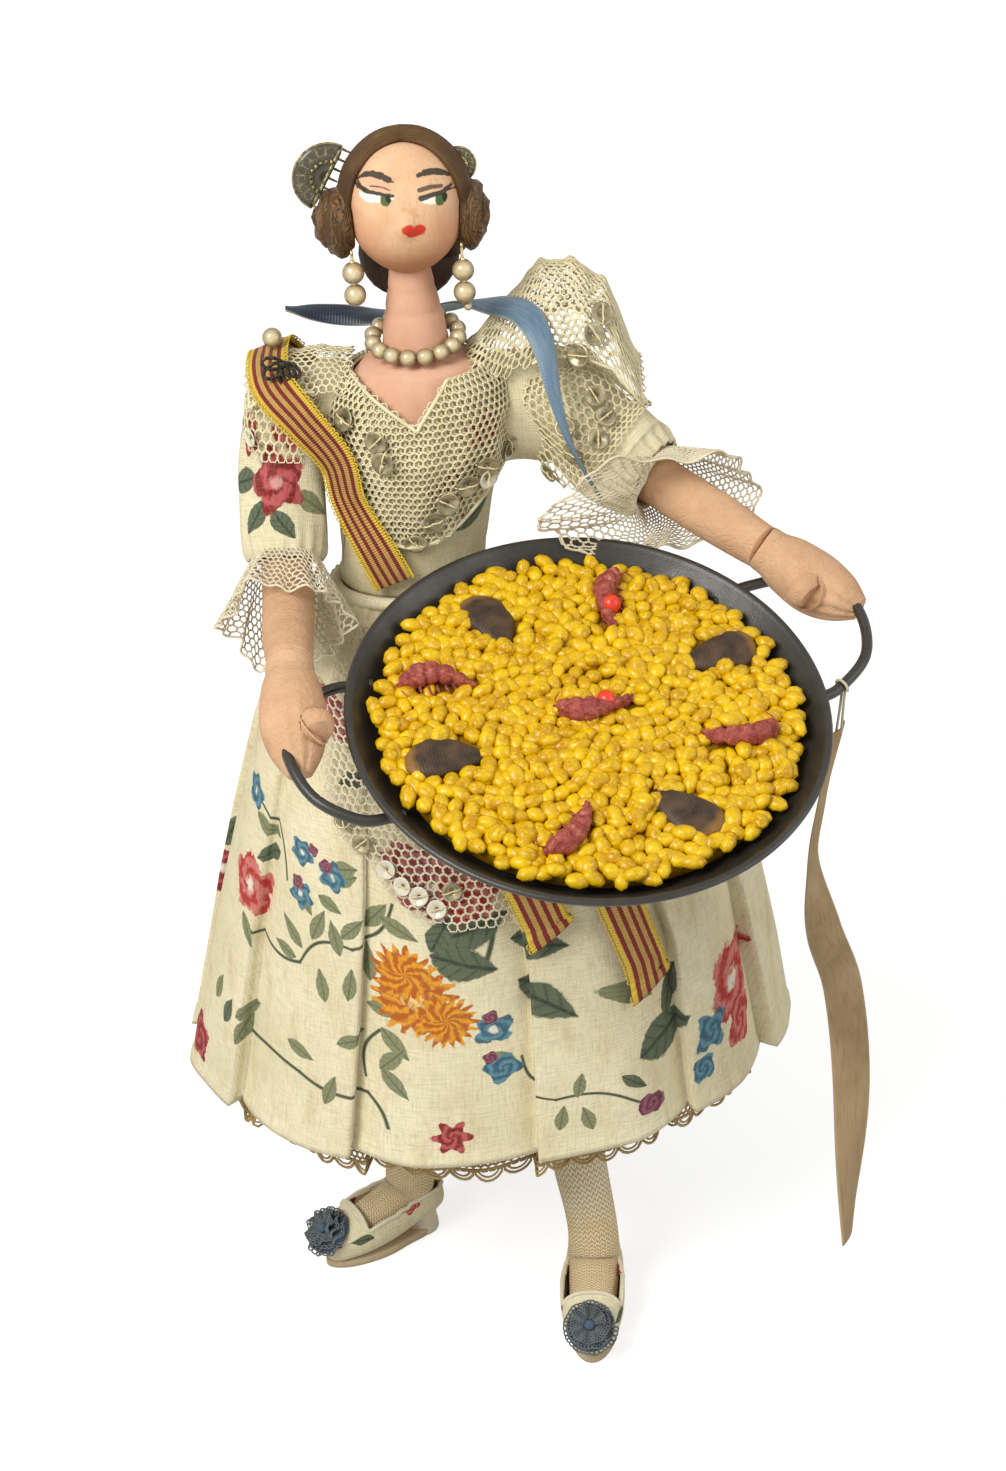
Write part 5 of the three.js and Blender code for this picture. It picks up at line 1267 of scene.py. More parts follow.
# Each row is a side, the line of its arm from shoulder to wrist, the way across it, and where its hand grips.
# The tip of the fingers and the thumb are measured from that grip.
for side, arm_line, across, grip, finger_tip, thumb in (
        ("right", [(-27, 1.6, 210.4), (-27.6, 0.8, 203), (-30, -8, 184), (-30.3, -15, 177), (-29.8, -34, 175),
                   (-29, -53, 175.6)],
         (1, 0, 0), (-28.36, -67.22, 169.95), (0.8, -7.5, -6), (4.2, -3.5, 1.4)),
        ("left", [(24, 1.8, 210.4), (27.6, 0.6, 203), (37.2, -3, 192.7), (45.3, -8, 188.7),
                  (55.8, -17, 183.6), (64.5, -25, 180)],
         (0, 0, 1), (74.27, -29.17, 173.08), (7.5, -5, -3.4), (-2.6, -4.6, 1.0))):
    across, grip, finger_tip, thumb = Vector(across), Vector(grip), Vector(finger_tip), Vector(thumb)
    arm_shape = tube(arm_line, [2.5, 5.15, 5.15, 5.15, 5.15, 4.45], 28, 48, across, 70, ripple=arm_ripple)
    arm = dress(side + "_stuffed_arm", arm_shape, felt, side + "_arm", side + "_arm")
    before, wrist = Vector(arm_line[-2]), Vector(arm_line[-1])
    heel = wrist - (wrist - before).normalized() * 0.5
    hand_route = [heel, lerp(wrist, grip, 0.5), grip, grip + finger_tip * 0.6, grip + finger_tip * 1.05]
    hand_shape = tube(hand_route, [4.5, 5.9, 6.35, 5, 2.4], 56, 44, across, 26, ripple=furrows)
    thumb_route = [lerp(wrist, grip, 0.55) + thumb * 0.6, grip + thumb * 0.75, grip + thumb,
                   grip + thumb * 1.12 + (grip - wrist).normalized() * 1.6]
    thumb_shape = tube(thumb_route, [2.6, 3.7, 3.9, 2.8], 28, 24, across, 12)
    hand = joined(side + "_felt_hand", [hand_shape, thumb_shape], felt, side + "_arm", side + "_hand")


# Cuffs: frills of the same net, gathered on a thread inside the sleeve band and flaring over the forearm.
# The left one's long side falls over the far rim of the pan.
cuff_thread = net_thread("cuff_net", "net", (0.9, 0.82, 0.6), (0.76, 0.68, 0.49))
cuff_columns = 54


def on_cuff(hem, end, upward, flare, fall):
    hem, end = Vector(hem), Vector(end)
    axis = (end - hem).normalized()
    side = axis.cross(Vector(upward)).normalized()
    top = side.cross(axis)

    def place(x, y):
        angle = turn * x / cuff_columns
        row = min(max(y, 0.0), 1.0)
        wave = 1 + row * (0.11 * math.cos(6 * angle) + 0.07 * math.cos(15.6 * angle + 1))
        radius = lerp(6.3, flare, row ** 0.8) * wave
        spot = lerp(hem, end, row * (1 + 0.07 * math.sin(4 * angle)))
        spot += (side * math.cos(angle) + top * math.sin(angle)) * radius
        return spot + Vector(fall) * row * row * (0.5 + 0.5 * math.cos(angle)) ** 1.2

    return place


for side, hem, end, upward, flare, depth, fall in (
        ("right", (-30.5, -11.6, 178.4), (-31, -27, 171.6), (0, -1, 1), 12.4, 17, (0, 0, 0)),
        ("left", (44, -7.2, 189.4), (57.5, -18.4, 185), (0, 0, 1), 11.6, 29, (-29, -1.4, 6.6))):
    place_cuff = on_cuff(hem, end, upward, flare, fall)
    row_step = math.sqrt(3) / 2
    high = int(depth / 1.4) * row_step
    cuff_shape = net(lambda x, y: place_cuff(x, y / high), 0, cuff_columns, row_step / 2, high, 1.0)
    frill = threads(dress(side + "_net_cuff", cuff_shape, cuff_thread, side + "_arm", side + "_cuff"), 0.32)
    gather = [place_cuff(cuff_columns * t / 36, 0.03) for t in range(37)]
    edge = [place_cuff(cuff_columns * t / 90, 0.99) for t in range(91)]
    across = Vector((0.3, 0.2, 0.9))
    joined(side + "_cuff_threads", [tube(gather, 0.35, 6, 72, across), tube(edge, 0.26, 5, 180, across)],
           cuff_thread, side + "_arm")


# Sash: gold woven ribbon with four dark red stripes and yellow looped edges, over the right shoulder and
# across the breast, pinned at the waist; two loose ends hang over the apron.
sash_weave, shader = new_material("striped_sash", "sash_ribbon", Roughness=0.6)
where = cloth_mm(shader)
across_mm, along_mm, _ = xyz(where)
frayed = across_mm + (noise(where, 2.2, 2.0) * 0.22 - 0.11)
inside = frayed.math("GREATER_THAN", 0.8) * frayed.math("LESS_THAN", 7.2)
stripe = spread(((frayed - 1.35) * (turn / 1.77)).math("COSINE"), 0.0, 0.25) * inside
ribs = (along_mm * (turn / 0.55)).math("SINE")
warp_line = (across_mm * (turn / 0.42)).math("SINE")
ground = blended(spread(noise(where, 0.3, 3.0), 0.3, 0.7), (0.58, 0.37, 0.1), (0.46, 0.28, 0.07))
ground = blended(inside, (0.72, 0.5, 0.05), ground)
colour = blended(stripe, ground, (0.2, 0.016, 0.016))
# The troughs between the weft ribs are painted darker, as shade.
colour = blended(spread(ribs, -1.0, 0.2, 0.3, 0.0), colour, (0.16, 0.08, 0.035))
finish(shader, colour, warp_line * 0.35 + ribs, 0.07)
picot = speckled("yellow_picot", "sash_ribbon", (4.0, 2.0), (0.5, 0.3, 0.02), (0.86, 0.62, 0.07), 0.05,
                 Roughness=0.6)


def ribbon_line(points, facings, width, rows, narrow=None, curl=0.0):
    points = [Vector(point) for point in points]
    facings = [Vector(facing).normalized() for facing in facings]
    length = sum((b - a).length for a, b in zip(points, points[1:]))

    def place(u, v):
        forward = heading(points, v)
        side = forward.cross(along(facings, v)).normalized()
        facing = side.cross(forward).normalized()
        half = (u - 0.5) * width * (narrow(v) if narrow else 1.0)
        bow = curl * (1 - (2 * u - 1) ** 2) + 0.1 * math.sin(5 * u + 26 * v)
        return along(points, v) + side * half + facing * bow

    return cloth(14, rows, place, (width, length)), place, length


def looped_edges(place, length, pitch=1.15, loop=0.62):
    made = []
    count = int(length / pitch)
    for edge in (0.0, 1.0):
        for step in range(count):
            share = (step + 0.5) / count
            middle = place(edge, share)
            along_edge = (place(edge, min(share + 0.01, 1)) - place(edge, max(share - 0.01, 0))).normalized()
            away = (middle - place(0.5, share)).normalized()
            arc = [middle + along_edge * pitch * 0.42 * math.cos(t) + away * (loop * math.sin(t) - 0.12)
                   for t in (math.pi, math.pi * 0.75, math.pi * 0.5, math.pi * 0.25, 0.0)]
            made.append(tube(arc, 0.17, 4, 6, along_edge.cross(away), 2))
    return made


sash_points = [on_torso(math.radians(104), 184, 3.65), on_torso(math.radians(132), 198, 4.25),
               Vector((-28.5, 12.2, 214.75)), Vector((-30.6, 1.6, 218.55)), Vector((-30, -7.8, 215.15)),
               Vector((-24.6, -12.8, 209)), on_torso(math.radians(-141), 200, 4.85),
               on_torso(math.radians(-136), 191, 3.95), on_torso(math.radians(-114), 180, 3.85),
               on_torso(math.radians(-103), 174, 3.85)]
sash_facings = [(-0.3, 1, 0), (-0.6, 1, 0.2), (-0.3, 1, 0.8), (-0.3, 0, 1), (-0.4, -0.8, 0.8),
                (-0.5, -1, 0.3), (-0.6, -1, 0.1), (-0.6, -1, 0), (-0.3, -1, 0), (-0.2, -1, 0)]
sash_shape, place_sash, sash_length = ribbon_line(sash_points, sash_facings, 8, 150, curl=0.25)
walled(dress("striped_sash", sash_shape, sash_weave, "figure", "sash"), 0.4)
joined("sash_picots", looped_edges(place_sash, sash_length), picot, "figure")

# One row of skirt_levels is a height, the skirt's middle there, its half width and its half depth.
# skirt_folds are the angles of its pressed folds, in degrees round the body.
skirt_levels = [(169, -5.5, 16.8, 14.6), (165, -5, 19.5, 16.4), (160, -4, 27, 22), (150, -1.5, 35, 29),
                (137, 1.3, 43.3, 37), (117, 4, 52.5, 46), (100, 5, 58.5, 51.5), (79, 4, 63, 56.5),
                (61, 3, 66.5, 60)]
skirt_folds = (-147, -84, -25, -116, -52, 6, 36, 66, 96, 126, 156, 180)
skirt_top, skirt_hem = 169, 61


def on_skirt(angle, z, lift=0.0, folds=1.0):
    x, half_width, half_depth = at_level(skirt_levels, z)
    drop = min(1.0, max(0.0, (skirt_top - z) / (skirt_top - skirt_hem)))
    valley, tuck = 0.0, 0.0
    for middle in skirt_folds:
        gap = (math.degrees(angle) - middle + 180) % 360 - 180
        way = 1 if (middle + 90) % 360 > 180 else -1
        deep = (1 - min(gap * way, 13) / 13) ** 1.6 if gap * way > 0 else 1 - min(-gap * way, 1.2) / 1.2
        if deep > valley:
            valley, tuck = deep, -way * deep
    push = lift - 4.0 * min(1.0, 1.4 * drop) * folds * valley
    angle += tuck * math.radians(2.6) * max(0.0, 2 * folds - 1) * min(1.0, 1.6 * drop)
    return Vector((x + (half_width + push) * math.cos(angle), (half_depth + push) * math.sin(angle), z))


tail_top, tail_wide = 165, 8
for name, first, last, end_z in (("short", -92, -77, 109), ("long", -68, -59, 94)):
    def place_tail(u, v):
        z = lerp(tail_top, end_z, v) + (5.0 * (u - 0.5) if v > 0.97 else 0.0)
        angle = math.radians(lerp(first, last, v)) + (u - 0.5) * tail_wide / at_level(skirt_levels, z)[2]
        return on_skirt(angle, z, 3.0 + 0.5 * math.sin(math.pi * u) + 0.25 * math.sin(9 * v + 3 * u), 0.0)

    tail_shape = cloth(14, 70, place_tail, (tail_wide, tail_top - end_z))
    walled(dress("sash_end_" + name, tail_shape, sash_weave, "figure", "sash_tail_" + name), 0.4)
    joined("sash_end_picots_" + name, looped_edges(place_tail, (tail_top - end_z) * 1.1), picot, "figure")


# Pin and clip: a large pearl on the shoulder and a bow of dark lacquered wire hold the sash to the shawl.
# The bow is five loops of the wire, bound by a knot in their middle.
joined("shoulder_pearl", [bead(Vector((-29.4, 0.6, 221.65)), 2.0, 24, 16)], pearl, "figure", "shoulder_pin")
lacquer = speckled("dark_wire", "clip_wire", (1.5, 3.0), (0.02, 0.016, 0.012), (0.12, 0.09, 0.06), 0.04,
                   (0.45, 0.75), (0.5, 0.32), Metallic=0.6)
clip_at = Vector((-27.4, -8.2, 219.2))
clip_parts = []
for tilt, reach, wide in ((150, 4.2, 1.3), (195, 4.0, 1.2), (60, 3.9, 1.3), (85, 4.4, 1.1), (35, 4.0, 1.2)):
    way = Matrix.Rotation(math.radians(tilt), 3, "Y") @ Vector((1, 0, 0))
    beside = way.cross(Vector((0, -1, 0)))
    loop = []
    for step in range(13):
        angle = step * turn / 12
        spot = clip_at + way * reach * (0.5 - 0.5 * math.cos(angle)) + beside * wide * math.sin(angle)
        loop.append(spot + Vector((0, -0.7 * math.sin(angle / 2), 0)))
    clip_parts.append(tube(loop, 0.38, 6, 26, Vector((0, 1, 0)), 8))
joined("wire_bow", [*clip_parts, bead(clip_at, 0.95, 12, 8)], lacquer, "figure", "shoulder_clip")


# Neck ribbon: blue satin passed behind the neck; its left end runs down over the shoulder and twists to a
# string.
# Its lighter streaks are painted sheen, the pale line along each edge is a painted highlight, and its end
# behind the right shoulder is painted near black navy as shade.
satin, shader = new_material("blue_satin", "blue_satin", Roughness=0.42, Specular_IOR_Level=0.5)
where = cloth_mm(shader)
across_mm, along_mm, _ = xyz(where)
lines = (along_mm * (turn / 0.6)).math("SINE")
streak = noise(stretched(where, 2.4, 0.14, 1), 1.0, 3.0, 0.6)
# Lighter streaks along the satin are painted sheen.
shine = spread(streak, 0.42, 0.66)
blue = blended(shine, (0.085, 0.15, 0.21), (0.15, 0.22, 0.28))
# The end behind the neck is painted near black, as shade.
shaded_end_blue = blended(shine, (0.006, 0.01, 0.02), (0.02, 0.035, 0.06))
colour = blended(spread(along_mm, 18.0, 36.0), shaded_end_blue, blue)
# The pale line along each edge is a painted highlight.
border = spread(across_mm, 0.35, 0.1).math("MAXIMUM", spread(across_mm, 5.65, 5.9))
finish(shader, blended(border * 0.7, colour, (0.42, 0.4, 0.3)), lines * 0.25 + streak, 0.05)
ribbon_points = [(-27, 13, 223), (-18, 13.4, 221), (-8, 13.6, 219.8), (2, 13.6, 220.2), (10, 10, 222.6),
                 (15.5, 2.5, 224.4), (21, -5, 224.6), (24, -11, 219.8), (25.4, -15.4, 211), (28.2, -18, 201),
                 (33.5, -19.6, 190)]
ribbon_facings = [(0, 0.2, 1), (0, -0.9, 0.7), (0, -0.2, 1), (0, 0.6, 1), (-0.3, 0.7, 1), (-0.3, -0.2, 1),
                  (0, -0.8, 1), (0.2, -1, 0.6), (0.3, -1, 0.3), (0.3, -1, 0.2), (0.3, -1, 0.2)]


def ribbon_taper(share):
    return min(1.0, 0.5 + 2.2 * share) if share < 0.62 else max(0.13, 1.0 - (share - 0.62) * 2.9)


ribbon_shape, _, _ = ribbon_line(ribbon_points, ribbon_facings, 6, 110, ribbon_taper, 0.5)
walled(dress("satin_ribbon", ribbon_shape, satin, "figure", "neck_ribbon"), 0.3)


# Petticoat: plain cream cotton gathered under the skirt, with a gold-brown bobbin lace at its hem.
# The lace is a band of net with scallops of two threads hung from its lower edge.
calico, shader = new_material("petticoat_cotton", "petticoat_cloth", Roughness=0.9)
patches = spread(noise(cloth_mm(shader), 0.06, 3.0), 0.35, 0.65)
woven(shader, blended(patches, (0.74, 0.66, 0.48), (0.64, 0.55, 0.37)), 0.45, 0.06, 0.6)


def petticoat_cloth(u, v):
    angle = front_angle + turn * (u - 0.5)
    flutter = (0.5 * math.sin(31 * angle) + 0.35 * math.sin(53 * angle + 1)) * v
    return on_skirt(angle, lerp(158, 58.5, v), -7.4 + flutter)


petticoat_shape = cloth(330, 46, petticoat_cloth, lambda u, v: ((u - 0.5) * 370, v * 108), True)
petticoat = walled(dress("cotton_petticoat", petticoat_shape, calico, "figure", "petticoat"), 0.6)

lace_thread, shader = new_material("gold_lace", "gold_lace", Roughness=0.75)
place = in_mm(shader)
fibre = noise(place, 3.2, 2.0)
colour = blended(spread(noise(place, 0.15, 3.0), 0.35, 0.65), (0.42, 0.27, 0.09), (0.58, 0.42, 0.18))
finish(shader, blended(fibre * 0.55, colour, (0.2, 0.12, 0.05)), fibre, 0.06)
lace_top, lace_height, lace_round = 60.0, 7.0, 400


def lace_place(x, y):
    angle = front_angle + turn * x
    z = lace_top - lace_height * y
    ruffle = 0.9 * y * math.cos(12 * angle) + 0.5 * y * math.cos(31 * angle)
    return on_skirt(angle, max(z, skirt_hem), -6.6 + ruffle) + Vector((0, 0, z - max(z, skirt_hem)))


scallops = 72
lace_parts = []
for scallop in range(scallops):
    for depth, girth, width in ((1.0, 0.36, 1.0), (0.66, 0.28, 0.72)):
        arc = []
        for t in (math.pi, 2.5, 1.9, math.pi / 2, 1.2, 0.65, 0.0):
            aside = (scallop + 0.5 + 0.5 * width * math.cos(t)) / scallops
            arc.append(lace_place(aside, 0.62 + 0.38 * depth * math.sin(t)))
        lace_parts.append(tube(arc, girth, 4, 8, up, 8))
for height, girth in ((0.0, 0.45), (0.62, 0.34)):
    band = [lace_place(t / 240, height) for t in range(241)]
    lace_parts.append(tube(band, girth, 4, 300, up, 380))
lace = joined("bobbin_lace", lace_parts, lace_thread, "figure", "petticoat_lace")
lace_ground = net(lambda x, y: lace_place(x / lace_round, y / lace_height), -200, 200, 0.3, 4.2, 1.45)
lace_net = threads(dress("lace_ground", lace_ground, lace_thread, "figure"), 0.5)


# Skirt: printed cream linen, gathered at the waist and pressed into broad overlapping folds, its hem turned
# in. Red roses, blue berries, marigolds and sage leaves run over it on thin dark stems.
def skirt_cloth(u, v):
    angle = front_angle + turn * (u - 0.5)
    gathers = 0.45 * math.sin(46 * angle) * math.exp(-v / 0.12)
    slack = 0.5 * math.sin(7 * angle + 3.2 * v) * v + 0.25 * math.sin(17 * angle - 5 * v) * v
    rolled = 0.35 if v > 0.985 else 0.0
    return on_skirt(angle, lerp(skirt_top, skirt_hem, v), gathers + slack + rolled)


def skirt_flat(u, v):
    _, half_width, half_depth = at_level(skirt_levels, lerp(skirt_top, skirt_hem, v))
    return (u - 0.5) * turn * (half_width + half_depth) / 2, 118 * (1 - v)


skirt_shape = cloth(400, 84, skirt_cloth, skirt_flat, True)
skirt_shape.faces.ensure_lookup_table()
skirt_surface = BVHTree.FromBMesh(skirt_shape)
skirt_pattern = skirt_shape.loops.layers.uv.active


# A motif is placed by the pixel where the photograph shows it; on_print() gives its place on the flat cloth.
def on_print(pixel_x, pixel_y):
    spot, _, index, _ = skirt_surface.ray_cast(camera_spot, sight_line(pixel_x, pixel_y))
    if index is None:
        aim = camera_spot + sight_line(pixel_x, pixel_y) * camera_distance
        spot, _, index, _ = skirt_surface.find_nearest(aim)
    corners = skirt_shape.faces[index].loops[:3]
    flat = [Vector((*corner[skirt_pattern].uv, 0)) for corner in corners]
    return geometry.barycentric_transform(spot, *(corner.vert.co for corner in corners), *flat)[:2]


stem_ink = (0.05, 0.075, 0.045)
stem_pixels = (
    (244, 920, 300, 962, -0.12, 0.55), (300, 962, 352, 950, 0.2, 0.5), (352, 950, 392, 905, -0.15, 0.5),
    (240, 1038, 300, 1072, 0.08, 0.6), (300, 1072, 368, 1092, -0.08, 0.6), (368, 1092, 388, 1128, 0.1, 0.6),
    (366, 1075, 380, 1030, 0.15, 0.5), (522, 1056, 556, 1100, -0.2, 0.4), (556, 1100, 640, 1102, 0.12, 0.45),
    (478, 885, 487, 960, 0.1, 0.7))
leaf_pixels = (
    (318, 925, 60, 4.2, 1.7, sage), (335, 938, 100, 4, 1.7, sage), (352, 930, 40, 4, 1.6, sage),
    (322, 985, 100, 4, 1.6, sage), (350, 985, 80, 4, 1.7, sage), (292, 930, 130, 4, 1.6, sage),
    (285, 948, 170, 3.6, 1.5, sage), (375, 915, 50, 4.4, 1.8, sage), (398, 930, -30, 4.2, 1.8, sage),
    (368, 960, 90, 4.6, 1.8, sage), (385, 1010, 0, 4, 1.7, sage), (352, 1042, 20, 4, 1.6, sage),
    (395, 1045, -50, 4.2, 1.8, sage), (300, 1050, -20, 4, 1.6, sage), (330, 1090, 70, 4, 1.6, sage),
    (395, 1085, -50, 4.2, 1.7, sage), (392, 1060, 50, 4, 1.7, sage), (242, 1030, 60, 4.2, 1.8, sage),
    (220, 985, 60, 4, 1.8, sage), (250, 1008, 30, 4, 1.6, sage), (247, 930, -70, 4, 1.6, sage),
    (345, 880, 20, 3.4, 1.6, sage), (305, 902, -60, 3.2, 1.5, sage), (330, 905, -30, 3.2, 1.5, sage),
    (470, 930, 20, 7.5, 4.4, forest), (462, 965, -20, 6.5, 4.2, forest), (440, 935, 60, 4.6, 2.6, forest),
    (537, 945, -10, 6.6, 3.3, forest), (545, 1002, -35, 8.4, 3.8, forest), (632, 990, 70, 2.8, 8.2, sage),
    (665, 1030, 20, 7.2, 5.0, forest), (668, 985, 80, 7.0, 2.0, forest), (502, 1060, -30, 3.6, 1.9, sage),
    (580, 1085, 80, 3, 1.4, sage), (562, 1118, 80, 3, 1.5, sage), (588, 1118, 110, 3.2, 1.5, sage),
    (635, 1082, -40, 3.8, 1.3, forest), (232, 830, 50, 5.6, 2.6, forest), (228, 1010, 60, 4.0, 1.8, forest),
    (345, 870, 10, 3.2, 1.8, sage), (425, 885, -60, 4.2, 1.8, sage))
pale_eye = (0.8, 0.72, 0.58)
flower_pixels = (
    (250, 884, 7.6, 5, 0.1, coral_red, pale_eye), (224, 868, 6.8, 5, 0.12, rose_red, pale_eye),
    (200, 1034, 6.0, 5, 0.14, rose_red, None), (430, 884, 8.6, 7, 0.08, faded_rose, pale_eye),
    (408, 868, 6.0, 6, 0.1, faded_rose, None), (466, 900, 6.0, 6, 0.1, coral_red, None),
    (302, 852, 3.2, 5, 0.15, berry_blue, pale_eye), (313, 850, 1.5, 4, 0.1, plum, None),
    (332, 877, 3.6, 5, 0.15, berry_blue, pale_eye), (326, 866, 1.7, 4, 0.1, plum, None),
    (301, 894, 3.4, 5, 0.15, berry_blue, pale_eye), (298, 881, 1.8, 4, 0.1, plum, None),
    (494, 1030, 3.8, 4, 0.15, berry_blue, pale_eye), (490, 1018, 1.7, 4, 0.1, plum, None),
    (503, 1068, 3.6, 4, 0.18, berry_blue, None), (490, 1058, 1.6, 4, 0.1, plum, None),
    (414, 1000, 9.0, 19, 0.13, marigold, (0.82, 0.6, 0.25)), (446, 1022, 6.4, 19, 0.15, marigold, None),
    (404, 975, 6.6, 17, 0.14, marigold, None), (732, 978, 10.5, 4, 0.1, coral_red, pale_eye),
    (740, 1018, 6.5, 4, 0.12, coral_red, None), (712, 1030, 5.4, 4, 0.2, berry_blue, None),
    (704, 1068, 3.8, 4, 0.12, berry_blue, None), (652, 1103, 3.4, 2, 0.16, plum, None),
    (452, 1138, 4.0, 6, 0.2, rose_red, None), (766, 830, 3.6, 4, 0.15, coral_red, None),
    (545, 925, 1.8, 4, 0.3, rose_red, None))
skirt_motifs = [("stem", on_print(ax, ay), on_print(bx, by), bend, width, stem_ink)
                for ax, ay, bx, by, bend, width in stem_pixels]
skirt_motifs += [("leaf", on_print(x, y), *drawing) for x, y, *drawing in leaf_pixels]
skirt_motifs += [("flower", on_print(x, y), *drawing) for x, y, *drawing in flower_pixels]

# Higher up, where the photograph shows little of the print, sprays of one flower and two leaves run round.
for x, y, radius, tint in (
        (-78, 92, 6, coral_red), (-52, 74, 4, berry_blue), (-24, 96, 6.5, faded_rose), (2, 78, 5.5, marigold),
        (27, 94, 4, berry_blue), (50, 76, 6.5, coral_red), (74, 98, 5, plum), (88, 74, 5.5, rose_red)):
    skirt_motifs += [("stem", (x, y), (x + 9, y - 15), 0.2, 0.5, stem_ink),
                     ("leaf", (x + radius, y - 6), -30, 4.2, 1.8, sage),
                     ("leaf", (x + 3, y - 12), 200, 4.2, 1.8, forest),
                     ("flower", (x, y), radius, 5 if radius != 5.5 else 17, 0.12, tint, pale_eye)]

# The print is drawn cell by cell, each with the motifs that reach it. What lies behind the side seams
# repeats the front's print.
side_seam, cell_wide, cell_high = 96, 32, 60
cells = {}
for patch in skirt_shape.faces:
    middle = sum((corner[skirt_pattern].uv for corner in patch.loops), Vector((0, 0))) / len(patch.loops)
    fold_back = 0 if abs(middle.x) < side_seam else -math.copysign(2 * side_seam, middle.x)
    for corner in patch.loops:
        corner[skirt_pattern].uv.x += fold_back
    cell = (math.floor((middle.x + fold_back) / cell_wide), math.floor(middle.y / cell_high))
    patch.material_index = cells.setdefault(cell, len(cells))


def reaches(motif, column, row):
    margin = 2 if motif[0] == "stem" else 1.35 * max(motif[2] if motif[0] == "flower" else motif[3], 1)
    ends = [motif[1], motif[2]] if motif[0] == "stem" else [motif[1]]
    spans = ((column * cell_wide, (column + 1) * cell_wide), (row * cell_high, (row + 1) * cell_high))
    return all(min(marks) - margin < high and max(marks) + margin > low
               for marks, (low, high) in zip(zip(*ends), spans))


skirt_prints = []
for cell, cell_number in cells.items():
    cell_motifs = [motif for motif in skirt_motifs if reaches(motif, *cell)]
    skirt_prints.append(printed_linen("skirt_linen_%d" % cell_number, cell_motifs, stains=0.5))
waistband = [on_torso(turn * step / 40, 168.6, 2.3) for step in range(41)]
joined("waistband", [tube(waistband, 1.35, 12, 120, up, 100)], plain_linen, "figure")
skirt = dress("printed_skirt", skirt_shape, skirt_prints[0], "figure", "skirt")
for cell_print in skirt_prints[1:]:
    skirt.data.materials.append(cell_print)
walled(skirt, 0.6)


# Apron: a half round of the same net with a few sequins, tied over the front of the skirt.
# It lies 1.7 mm off the skirt and creases lightly over its folds.
apron_top = 164.5


def round_skirt(x, y):
    z = apron_top - y
    _, half_width, half_depth = at_level(skirt_levels, z)
    return x / ((half_width + half_depth) / 2), z


def apron_place(x, y):
    angle, z = round_skirt(x, y)
    crease = 0.5 * math.sin(0.9 * x) + 0.3 * math.sin(0.43 * x + 0.2 * y)
    return on_skirt(front_angle + angle, z, 1.7 + crease * 0.6, 0.5)


def apron_keep(x, y):
    angle, z = round_skirt(x, y)
    share = (math.degrees(angle) + 38) / 76
    return 0 < share < 1 and z > 135 - 24 * math.sin(math.pi * share)


apron_shape = net(apron_place, -34, 34, 0.5, 53, 1.75, apron_keep)
apron_surface = BVHTree.FromBMesh(apron_shape)
apron = threads(dress("net_apron", apron_shape, cuff_thread, "figure", "apron"), 0.34)
apron_white_pixels = ((388, 868), (405, 885), (420, 896), (438, 908))
apron_gold_pixels = ((345, 820), (363, 842), (452, 890))
sew_sequins("apron_white_sequins", apron_surface, apron_white_pixels, 2.0, sequin_white, "figure")
sew_sequins("apron_sequins", apron_surface, apron_gold_pixels, 2.0, sequin_gold, "figure")


# Stockings: knitted cream cotton, every stitch a V, drawn over the stuffed legs.
# A paler band runs round each calf, and they are closed at the toe.
knit, shader = new_material("knitted_cotton", "stocking_knit", Roughness=0.92)
across_mm, along_mm, _ = xyz(cloth_mm(shader))
lean = across_mm.math("PINGPONG", 0.6)
strand = ((lean * 1.4 + along_mm) * (turn / 1.15)).math("SINE")
wale = (lean * (math.pi / 0.6)).math("SINE").math("SQRT")
stitch = (strand * 0.5 + 0.5) * wale
# Towards the knee the stocking is painted darker, as shade under the skirt.
ground = blended(spread(along_mm, 24.0, 34.0), (0.84, 0.63, 0.34), (0.95, 0.79, 0.5))
pale_band = spread(along_mm, 31.0, 34.0) * spread(along_mm, 46.0, 42.0)
ground = blended(pale_band, ground, (0.92, 0.85, 0.62))
ground = blended(spread(noise(cloth_mm(shader), 0.12, 3.0), 0.4, 0.7, 0.0, 0.3), ground, (0.64, 0.46, 0.24))
finish(shader, blended(spread(stitch, 0.04, 0.42), (0.5, 0.33, 0.15), ground), stitch, 0.22)
stocking_girths = [8.0, 7.05, 6.25, 5.75, 5.6, 5.6, 5.4, 4.8, 3.2]
for side in ("right", "left"):
    _, knee, ankle, _ = leg_lines[side]
    stocking_line = [lerp(knee, ankle, share) for share in (0.065, 0.3, 0.55, 0.8, 1.0)] + leg_route(side)[4:]

    def stocking_skin(u, v):
        forward = heading(stocking_line, v)
        across = (beside_foot(side) - forward * beside_foot(side).dot(forward)).normalized()
        girth = along(stocking_girths, v) + 0.12 * math.sin(23 * v + 2 * math.sin(turn * u))
        girth *= 0.0 if v == 1 else 1.0
        return (along(stocking_line, v) + across * girth * math.cos(turn * u)
                + forward.cross(across) * girth * math.sin(turn * u))

    stocking_shape = cloth(48, 80, stocking_skin, (36, 96), True)
    stocking = dress(side + "_knitted_stocking", stocking_shape, knit, "figure", side + "_stocking")
    walled(stocking, 0.6)


